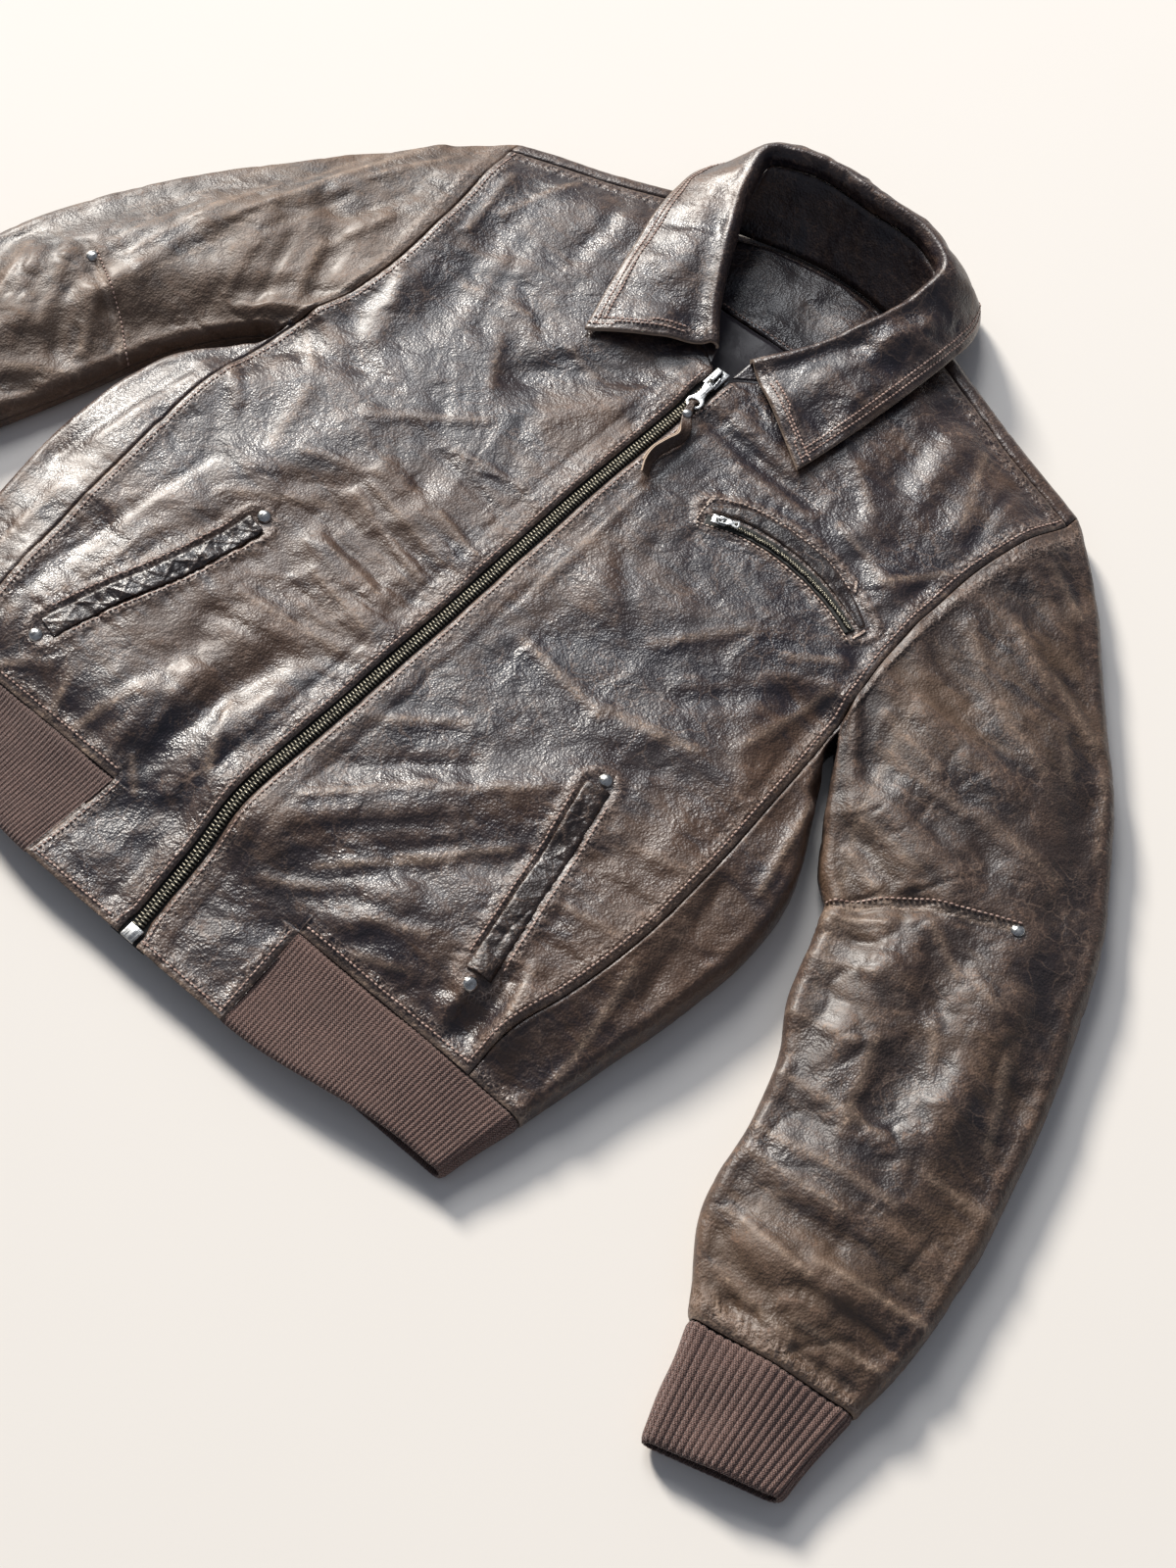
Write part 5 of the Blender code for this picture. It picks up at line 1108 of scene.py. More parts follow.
    busy: Table = ((-84, -20, 74, 0.75), (-90, -130, 80, 0.45), (-150, -110, 76, 0.40), (70, -170, 90, 0.55),
                   (200, -190, 50, 0.55), (190, -80, 60, 0.30), (250, -60, 60, 0.30), (-220, -180, 70, 0.35),
                   (60, -270, 60, 0.5), (-60, -270, 60, 0.5), (250, 60, 40, 0.3), (-250, 60, 50, 0.3))
    warmth: Table = ((-150, 250, 60, 0.10), (-60, 10, 70, 0.16), (-110, -110, 80, 0.17), (-180, -60, 60, 0.10),
                     (60, 60, 60, 0.12), (100, 260, 60, 0.10), (150, -110, 70, 0.05), (250, -90, 60, 0.17),
                     (214, 60, 40, 0.17), (-40, 150, 40, 0.13), (-250, -120, 60, 0.12), (40, -190, 50, 0.06),
                     (100, 0, 60, -0.10), (-150, 130, 50, -0.10), (120, 130, 60, -0.10), (60, -110, 60, -0.12),
                     (-70, -190, 40, -0.08), (-230, 0, 50, -0.10))

    def side(self, x: Array, y: Array) -> Array:
        """Distance of the outline from the middle on the side where x lies."""
        return np.where(np.asarray(x) >= 0, read(self.side_left, y), read(self.side_right, y))

    def panel_seam(self, side: Side) -> Table:
        """Seam between front and side panel."""
        return self.seam_left if side is Side.LEFT else self.seam_right

    def armhole(self, side: Side) -> Table:
        """Armhole seam on the front."""
        return self.arm_left if side is Side.LEFT else self.arm_right

    def zip_x(self, y: float) -> float:
        """Place of the zip line."""
        return float(read(self.zip_line, y))

    def zip_edge(self, side: Side, y: float) -> float:
        """Place of a front's zip edge: close to the chain, with room for the slider and the box."""
        room = float(smooth(np.array((y - 216.0) / 26.0)) + smooth(np.array((-284.0 - y) / 12.0)))
        return self.zip_x(y) + side.value * (self.zip_near + (self.zip_gap - self.zip_near) * room)

    def top(self, x: Array, y: Array) -> Array:
        """Height of the top face with its large folds."""
        x, y = np.asarray(x, float), np.asarray(y, float)
        side = smooth((self.side(x, y) - np.abs(x) - self.edge_reach) / self.roll)
        shoulder = smooth((read(self.shoulder, np.abs(x)) - y - self.edge_reach) / self.roll)
        low = read(self.edge, y)
        inside = side * shoulder
        return (low + (read(self.crown, y) - low) * inside
                + creases(x, y, self.folds) * np.sqrt(inside) * smooth((y - self.y_rib) / 24.0))

    def top_normal(self, x: Array, y: Array) -> Array:
        """Outward direction of the top face."""
        step = 2.0
        gx = (self.top(x + step, y) - self.top(x - step, y)) / (2 * step)
        gy = (self.top(x, y + step) - self.top(x, y - step)) / (2 * step)
        n = np.stack([-gx, -gy, np.ones_like(gx)], axis=-1)
        return unit(n)

    def blobs(self, p: Array, listed: Table) -> Array:
        """Soft spots of x, y, reach and amount, added up."""
        total = np.zeros(p.shape[:-1])
        for x, y, reach, amount in listed:
            total += amount * np.exp(-((p[..., 0] - x) ** 2 + (p[..., 1] - y) ** 2) / reach ** 2)
        return total

    def worked(self, p: Array, n: Array, extra: Array | float = 0.0) -> Array:
        """Points with the small creases and the leather's unevenness on them.

        Args:
            p: Points of a panel.
            n: Their outward directions.
            extra: Seam forms to add, in millimetres.

        Returns:
            The moved points.
        """
        above = smooth((p[..., 2] - 3.0) / 9.0)
        rise = creases(p[..., 0], p[..., 1], self.small) * smooth((p[..., 2] - 12.0) / 9.0)
        rise = rise + wrinkled(p, 0.55 + self.blobs(p, self.busy))
        return p + n * ((rise * above + extra)[..., None])

    def marks(self, p: Array, n: Array, seams: Array | float = 0.0, sewn: Optional[Array] = None,
              edges: Array | float = 0.0) -> Marks:
        """Wear on ridges and near seams, warm patches, and pale lines on the small creases.

        Args:
            p: Worked points.
            n: Their outward directions.
            seams: Wear that the seams add.
            sewn: How near the rows of stitches are.
            edges: Pale lines on turned edges.

        Returns:
            The marks.
        """
        crest = np.clip(creases(p[..., 0], p[..., 1], np.asarray(self.small) * (1, 1, 1, 1, 0.55, 1)) - 0.4, 0, 1)
        crest = crest * smooth((p[..., 2] - 12.0) / 9.0)
        return Marks(np.clip(ridges(p, n) + seams, 0, 1), self.blobs(p, self.warmth),
                     np.clip(0.8 * crest + edges, 0, 1), sewn)

    def turn(self, high: Sequence[float], way: Sequence[float], cells: int, height: Optional[float] = None) -> Array:
        """Half ellipse from the top of a rolled edge to its foot."""
        height = self.edge_height if height is None else height
        angle = np.linspace(math.pi / 2, -math.pi / 2, cells + 1)
        dx, dy = np.asarray(way, float) / np.hypot(*way)
        return np.stack([high[0] + dx * self.edge_reach * np.cos(angle),
                         high[1] + dy * self.edge_reach * np.cos(angle), height / 2 * (1 + np.sin(angle))], axis=-1)

    def armhole_ring(self, side: Side, cells: "RingCells") -> Array:
        """Edge of the armhole: over the top, round the armpit, back underneath, over the shoulder."""
        s = side.value
        line = through(self.armhole(side), np.linspace(0, 1, cells.over + 1))
        x, y = s * line[:, 0], line[:, 1]
        over = np.stack([x, y, self.top(x, y)], axis=-1)
        pit = self.turn((x[-1], y[-1]), (s * self.pit_turn[0], self.pit_turn[1]), cells.pit, float(over[-1, 2]))
        x_end = s * self.armhole(side)[0][0]
        y_fold = float(read(self.shoulder, abs(x_end))) - self.edge_reach
        back = through([(x[-1], y[-1], 0), (s * 230, 165, 0), (s * 233, 240, 0), (x_end, y_fold, 0)],
                       np.linspace(0, 1, cells.under + 1))
        rolled = self.turn((x_end, y_fold), (0, 1), cells.wrap)[::-1]
        return np.concatenate([over, pit[1:], back[1:], rolled[1:]])

    def under_seam(self, side: Side, y: float) -> float:
        """Distance of the seam between side panel and back, underneath."""
        pit = self.armhole(side)[-1][0]
        below = float(smooth(np.array((self.y_pit - y) / 70.0)))
        return pit + (float(self.side(np.array(side.value), np.array(y))) - self.side_under - pit) * below


@dataclass(frozen=True)
class RingCells:
    """Cells over the top, round the armpit, underneath and over the shoulder."""

    over: int = 66
    pit: int = 14
    under: int = 26
    wrap: int = 8


@dataclass(frozen=True)
class SeamForm:
    """Form of the leather beside a sewn seam: a groove, turned layers under it, a stitch line."""

    groove: float = 0.9
    layers: float = 0.40
    stitch_at: float = 5.2
    pucker: float = 0.42

    def rise(self, distance: Array, along: Array) -> Array:
        """Height at a distance from the seam, with puckers along it."""
        rough = np.sin(along * 1.15 + 1.7 * np.sin(along * 0.31)) * bell(distance - 7.5, 5.0) * self.pucker
        return (self.layers * bell(distance - self.stitch_at + 1, 4.2) - self.groove * bell(distance, 0.9)
                - 0.35 * bell(distance - self.stitch_at, 0.9) + rough)

    def wear(self, distance: Array) -> Array:
        """Wear that the seam adds at a distance."""
        return 0.42 * bell(distance - 1.5, 3.0)


def ridges(points: Array, normals: Array, reach: int = 3, full: float = 0.30) -> Array:
    """How far each point of a grid stands out of its neighbours, 0 to 1."""
    padded = np.pad(points, ((reach, reach), (reach, reach), (0, 0)), mode="reflect", reflect_type="odd")
    around = (padded[:-2 * reach, reach:-reach] + padded[2 * reach:, reach:-reach]
              + padded[reach:-reach, :-2 * reach] + padded[reach:-reach, 2 * reach:]) / 4
    return np.clip(np.sum((points - around) * normals, axis=-1) / full, 0, 1)


@dataclass
class Fronts:
    """The two fronts with their hem tabs, and the stitches on them."""

    body: Body
    shop: Shop
    pockets: Pockets
    tab_edge: tuple[float, float] = (79.0, 84.0)
    cell: float = 2.5
    tab_share: float = 0.34
    band: float = 18.5
    form: SeamForm = SeamForm()
    zip_row: float = 3.6
    tab_row: float = 4.5
    outer_width: float = 150.0
    shoulder_bend: float = 78.0
    row_samples: int = 420
    cut: Cut = Cut(0.262, 0.700, 0.72, Held.LAID, ("lining",))

    def spread(self) -> tuple[Array, Array]:
        """Shares of the columns within the hem tab and beyond it."""
        return spaced(self.tab_edge[0] - self.body.zip_gap, self.cell), spaced(self.outer_width, self.cell)

    def plan(self, side: Side) -> tuple[Array, Array]:
        """Plan of a front, row by row from the hem, and which cells it has."""
        b, s = self.body, side.value
        up = spaced(b.shoulder[2][1] - b.y_pit, self.cell, near=False)
        arm = through(b.armhole(side), 1 - up)
        arm = np.column_stack([s * (arm[:, 0] - b.seam / 2), arm[:, 1]])
        neck = [(s * d if i else b.zip_edge(side, b.neckline[0][1]), y)
                for i, (d, y) in enumerate(b.neckline)]
        edge = [(b.zip_edge(side, y), y) for y in np.linspace(b.y_pit, b.y_zip_top, 9)[:-1]] + neck
        inner_up = through(edge, up)
        low = b.y_rib + (b.y_pit - b.y_rib) * spaced(b.y_pit - b.y_rib, self.cell, far=False)
        outer_low = np.column_stack([s * (read(b.panel_seam(side), low) - b.seam / 2), low])
        inner_low = np.column_stack([[b.zip_edge(side, y) for y in low], low])
        outer, inner = np.concatenate([outer_low[:-1], arm]), np.concatenate([inner_low[:-1], inner_up])
        first, last = self.spread()
        t = len(first) - 1
        share = np.concatenate([first * self.tab_share, self.tab_share + (1 - self.tab_share) * last[1:]])
        plan = inner[:, None, :] + (outer - inner)[:, None, :] * share[None, :, None]
        rise = smooth((plan[:, 0, 1] - b.y_rib) / 120.0)
        keep_x = s * self.tab_edge[0] + (plan[:, t, 0] - s * self.tab_edge[0]) * rise
        first, last = first[None, :], last[None, 1:]
        plan[..., 0] = np.concatenate([plan[:, :1, 0] + (keep_x[:, None] - plan[:, :1, 0]) * first,
                                       keep_x[:, None] + (plan[:, -1:, 0] - keep_x[:, None]) * last], axis=1)
        rows = (b.y_hem + (b.y_rib - b.y_hem) * spaced(b.y_rib - b.y_hem, self.cell))[:-1]
        tab = np.repeat(plan[:1], len(rows), axis=0)
        foot = (b.y_rib - rows) / (b.y_rib - b.y_hem)
        outer_x = s * (self.tab_edge[0] + (self.tab_edge[1] - self.tab_edge[0]) * foot)
        start = np.array([b.zip_edge(side, y) for y in rows])
        tab[:, :t + 1, 0] = start[:, None] + (outer_x - start)[:, None] * first
        tab[..., 1] = rows[:, None]
        seam_y = read(b.shoulder, np.abs(plan[-1, :, 0])) - b.wrap - b.seam / 2
        bend = seam_y - plan[-1, :, 1]
        count = int(self.shoulder_bend / self.cell)
        for by in range(count):
            plan[-1 - by, :, 1] += bend * (1 - smooth(by / (count - 0.5)))
        keep = np.ones((len(rows) + len(plan) - 1, len(share) - 1), bool)
        keep[:len(rows), t:] = False
        return np.concatenate([tab, plan]), keep

    def build(self) -> None:
        """Make both fronts and their stitches."""
        b = self.body
        for side in Side:
            plan, keep = self.plan(side)
            x, y = plan[..., 0], plan[..., 1]
            tab_rows = int((~keep[:, -1]).sum())
            zip_at = np.abs(x - x[:, :1])
            out_at = np.abs(x[:, -1:] - x)
            t = len(self.spread()[0]) - 1
            tab_out = np.abs(x[:, t:t + 1] - x)
            out_at[:tab_rows] = np.where(np.arange(x.shape[1])[None, :] <= t, tab_out[:tab_rows], FAR)
            rib_at = np.where(np.arange(x.shape[1])[None, :] >= t, np.abs(y - b.y_rib), FAR)
            hem_at = np.abs(y - b.y_hem)
            shoulder_at = np.abs(read(b.shoulder, np.abs(x)) - b.wrap - y)
            neck_at = np.where(y > b.y_zip_top, zip_at, FAR)
            pts = np.stack([x, y, b.top(x, y)], axis=-1)
            n = b.top_normal(x, y)
            rise = self.form.rise(out_at, y) + self.form.rise(shoulder_at, x) + self.form.rise(rib_at, x) * 0.8
            rise += self.form.rise(hem_at, x) * 0.7
            band = np.where(y < b.y_zip_top, 1.0, 0.0)
            rise += band * (0.7 * (1 - smooth((zip_at - self.band + 3) / 4)) - 0.55 * bell(zip_at - self.band, 2.0)
                            - 1.3 * bell(zip_at, 1.3) - 0.3 * bell(zip_at - self.zip_row, 0.9))
            rise -= 0.8 * bell(neck_at, 1.4)
            rise += self.pockets.rise(x, y, side)
            pts = b.worked(pts, n, rise)
            n = facing(grid_normals(pts), 20, 20, 2, 1)
            near = np.minimum(np.minimum(out_at, hem_at), np.minimum(shoulder_at, rib_at))
            wear = self.form.wear(near) + 0.5 * bell(zip_at, 4.0) * band + 0.35 * bell(zip_at - self.band + 3, 2.5)
            lips, sewn = self.pockets.wear(x, y, side)
            wear += lips
            sewn = np.clip(sewn + bell(near - 7.0, 4.0) + bell(zip_at - 5.5, 4.5) * band, 0, 1)
            name = "front_" + side.word
            piece = self.shop.cloth(name + "_skin", pts, n, b.thick, self.shop.finishes.body,
                                    Slot.LEATHER, (name,), self.cut, keep=keep,
                                    marks=b.marks(pts, n, wear, sewn, 0.5 * bell(near - 1.2, 1.0)
                                                  + 0.9 * bell(rib_at - 1.0, 1.3) + 0.7 * bell(hem_at - 1.0, 1.3)))
            self.shop.remember(name, piece)
            rows = [self.shop.row(name, p, self.row_samples) for p in self.paths(side)]
            self.shop.sew(name + "_stitches", rows, self.shop.finishes.thread)

    def paths(self, side: Side) -> list[Array]:
        """Plans of the rows of stitches on a front."""
        b, s, at = self.body, side.value, self.form.stitch_at
        low = np.linspace(b.y_rib + 4, b.y_pit, 60)
        arm = through(b.armhole(side), np.linspace(1, 0, 60))
        outer = np.concatenate([np.column_stack([read(b.panel_seam(side), low), low]), arm[1:]])
        zip_y = np.linspace(b.y_hem + 3, b.y_zip_top - 3, 120)
        zip_path = [(b.zip_edge(side, v) + s * self.zip_row, v) for v in zip_y]
        foot = np.linspace(0, 1, 12)
        tab_x = self.tab_edge[1] + (self.tab_edge[0] - self.tab_edge[1]) * foot - self.tab_row
        tab_y = b.y_hem + 3 + (b.y_rib - b.y_hem - 4) * foot
        hem_x = np.linspace(b.zip_gap + 5, self.tab_edge[1] - 5, 12)
        rib_x = np.linspace(self.tab_edge[0] + 2, b.panel_seam(side)[0][1] - 4, 30)
        return [np.column_stack([s * (outer[:, 0] - at), outer[:, 1]]), np.array(zip_path),
                np.column_stack([s * tab_x, tab_y]),
                np.column_stack([s * hem_x, np.full(12, b.y_hem + 5.0)]),
                np.column_stack([s * rib_x, np.full(30, b.y_rib + 5.5)])]


@dataclass
class SidePanels:
    """The two side panels, from the armpit to the hem rib."""

    body: Body
    shop: Shop
    width: float = 115.0
    cell: float = 2.6
    form: SeamForm = SeamForm()
    cut: Cut = Cut(0.125, 0.335, 0.80, Held.FOLDED, ("back_panel",))

    def section(self, side: Side, y: float, cells: Array) -> tuple[Array, Array]:
        """Side of the body at y: from the front seam round the edge to the seam underneath."""
        b, s = self.body, side.value
        seam = float(read(b.panel_seam(side), np.array(y)))
        line = float(b.side(np.array(s), np.array(y)))
        reach = min(b.edge_reach, line - seam - 1.5)
        centre = line - reach
        angle = np.linspace(math.pi / 2, -math.pi / 2, 50)
        flat = np.linspace(seam + b.seam / 2, centre, 40)
        flat_z = b.top(s * flat, np.full_like(flat, y))
        x = np.concatenate([flat[:-1], centre + reach * np.cos(angle),
                            np.linspace(centre, b.under_seam(side, y), 8)[1:]])
        z = np.concatenate([flat_z[:-1], flat_z[-1] / 2 * (1 + np.sin(angle)), np.zeros(7)])
        length = np.concatenate([[0], np.cumsum(np.hypot(np.diff(x), np.diff(z)))])
        length /= length[-1]
        return np.interp(cells, length, x), np.interp(cells, length, z)

    def build(self) -> None:
        """Make both panels."""
        b = self.body
        for side in Side:
            share = spaced(self.width, self.cell)
            cells = RingCells(pit=120)
            ring = b.armhole_ring(side, cells)[cells.over:cells.over + cells.pit + 1]
            pit = np.stack([np.interp(share, np.linspace(0, 1, cells.pit + 1), ring[:, k]) for k in range(3)], axis=-1)
            pit[:, 1] -= b.seam
            rows = [pit]
            height = b.y_pit - b.y_rib
            for y in (b.y_rib + height * spaced(height, self.cell))[-2::-1]:
                x, z = self.section(side, float(y), share)
                rows.append(np.column_stack([side.value * x, np.full_like(x, y), z]))
            pts = np.array(rows)
            n = facing(grid_normals(pts), 10, 3, 2, 1)
            width = np.linalg.norm(np.diff(pts, axis=1), axis=2)
            seam_at = np.concatenate([np.zeros((len(pts), 1)), np.cumsum(width, axis=1)], axis=1)
            rib_at = np.abs(pts[..., 1] - b.y_rib)
            rise = SeamForm(groove=1.0, layers=0.0, pucker=0.2).rise(seam_at, pts[..., 1])
            rise = (rise + self.form.rise(rib_at, pts[..., 0]) * 0.7) * smooth(pts[..., 2] / 6.0)
            pts = b.worked(pts, n, rise)
            pts[..., 2] = np.maximum(pts[..., 2], 0.0)
            n = facing(grid_normals(pts), 10, 3, 2, 1)
            name = "side_panel_" + side.word
            piece = self.shop.cloth(name + "_skin", pts, n, b.thick, self.shop.finishes.body, Slot.LEATHER, (name,),
                                    self.cut, marks=b.marks(pts, n, 0.4 * bell(rib_at, 3.0), bell(rib_at - 5, 4.0),
                                                          0.9 * bell(rib_at - 1.0, 1.3)))
            self.shop.remember(name, piece)


@dataclass
class BackPanel:
    """The back: flat underneath and wrapped over both shoulders to their seams."""

    body: Body
    shop: Shop
    neck_cells: int = 26
    arm_cells: int = 34
    low_rows: int = 70
    up_rows: int = 52
    wrap_rows: int = 10
    neck_share: float = 0.392
    cut: Cut = Cut(0.540, 0.665, 0.90, Held.LAID)

    def build(self) -> None:
        """Make the back."""
        b = self.body
        cells = RingCells(under=self.up_rows, wrap=self.wrap_rows)
        first = cells.over + cells.pit
        upper = {s.value: b.armhole_ring(s, cells)[first:first + self.up_rows + 1] for s in Side}
        half = np.concatenate([np.linspace(0, self.neck_share, self.neck_cells + 1),
                               np.linspace(self.neck_share, 1, self.arm_cells + 1)[1:]])
        share = np.concatenate([-half[:0:-1], half])
        sign = np.where(share >= 0, 1, -1)
        rows = []
        for y in np.linspace(b.y_rib, b.y_pit, self.low_rows)[:-1]:
            edge = {s.value: b.under_seam(s, float(y)) - b.seam for s in Side}
            x = share * np.where(sign > 0, edge[1], edge[-1])
            rows.append(np.column_stack([x, np.full_like(x, y), np.zeros_like(x)]))
        a = np.abs(share)
        for k in range(self.up_rows + 1):
            t = k / self.up_rows
            end = np.where((sign > 0)[:, None], upper[1][k], upper[-1][k])
            last = np.where(sign > 0, upper[1][-1][1], upper[-1][-1][1])
            reach = np.abs(end[:, 0] - sign * b.seam)
            even_t = float(smooth(np.array(t)))
            neck = b.neck_half * even_t + reach * self.neck_share * (1 - even_t)
            x = np.where(a <= self.neck_share, a / self.neck_share * neck,
                         neck + (a - self.neck_share) / (1 - self.neck_share) * (reach - neck))
            high = read(b.shoulder, x) - b.edge_reach - 3 * np.clip(1 - a / self.neck_share, 0, 1)
            y = high if k == self.up_rows else end[:, 1] + (high - last) * even_t
            rows.append(np.column_stack([sign * x, y, np.zeros_like(x)]))
        fold = rows[-1]
        for angle in np.linspace(-math.pi / 2, math.pi / 2, self.wrap_rows)[1:]:
            row = fold.copy()
            row[:, 1] += b.edge_reach * math.cos(angle)
            row[:, 2] = b.edge_height / 2 * (1 + math.sin(angle))
            rows.append(row)
        seam = fold.copy()
        seam[:, 1] = read(b.shoulder, np.abs(seam[:, 0])) - b.wrap + b.seam / 2
        seam[:, 2] = b.top(seam[:, 0], seam[:, 1])
        rows += [fold * 0.5 + seam * 0.5, seam]
        rows[-2][:, 1:] = (rows[-3][:, 1:] + seam[:, 1:]) / 2
        pts = np.array(rows)
        n = facing(grid_normals(pts), 2, 2, 2, -1)
        seam_at = np.abs(pts[..., 1] - seam[None, :, 1]) * (pts[..., 2] > 12) + FAR * (pts[..., 2] <= 12)
        pts = b.worked(pts, n, SeamForm(layers=0.0).rise(seam_at, pts[..., 0]))
        pts[..., 2] = np.maximum(pts[..., 2], 0.0)
        n = facing(grid_normals(pts), 2, 2, 2, -1)
        keep = np.ones((len(pts) - 1, len(share) - 1), bool)
        middle = len(half) - 1
        keep[-(self.wrap_rows + 1):, middle - self.neck_cells:middle + self.neck_cells] = False
        self.shop.cloth("back_panel_skin", pts, n, b.thick, self.shop.finishes.body, Slot.LEATHER, ("back_panel",),
                        self.cut, keep=keep, marks=b.marks(pts, n))


def flat_ring(outer: Array, inner: Array, height: float, low: float, body: Body,
              cols: Sequence[tuple[str, float]]) -> Array:
    """Flattened ring between an outer and an inner edge point.

    Args:
        outer: Plan of the outer edge.
        inner: Plan of the inner edge.
        height: Height of the crown.
        low: Height just inside the rolled edges.
        body: Form that gives the reach of the edges and the roll.
        cols: Kind and place of each point.

    Returns:
        The ring's points.
    """
    across = (inner - outer) / np.linalg.norm(inner - outer)
    start, end = outer + across * body.edge_reach, inner - across * body.edge_reach
    width = np.linalg.norm(end - start)
    kind = np.array([k for k, _ in cols])
    t = np.array([v for _, v in cols])
    over, under = kind == "over", kind == "under"
    level = over | under
    share = np.where(level, t, np.where(kind == "pit", 1.0, 0.0))
    out = np.where(level, 0.0, np.where(kind == "pit", 1.0, -1.0)) * body.edge_reach * np.cos(np.where(level, 0, t))
    plan = start + (end - start) * share[:, None] + across * out[:, None]
    rise = smooth(np.minimum(t, 1 - t) * width / body.roll)
    z = np.where(over, low + (height - low) * rise, np.where(under, 0.0, low / 2 * (1 + np.sin(t))))
    return np.column_stack([plan, z])


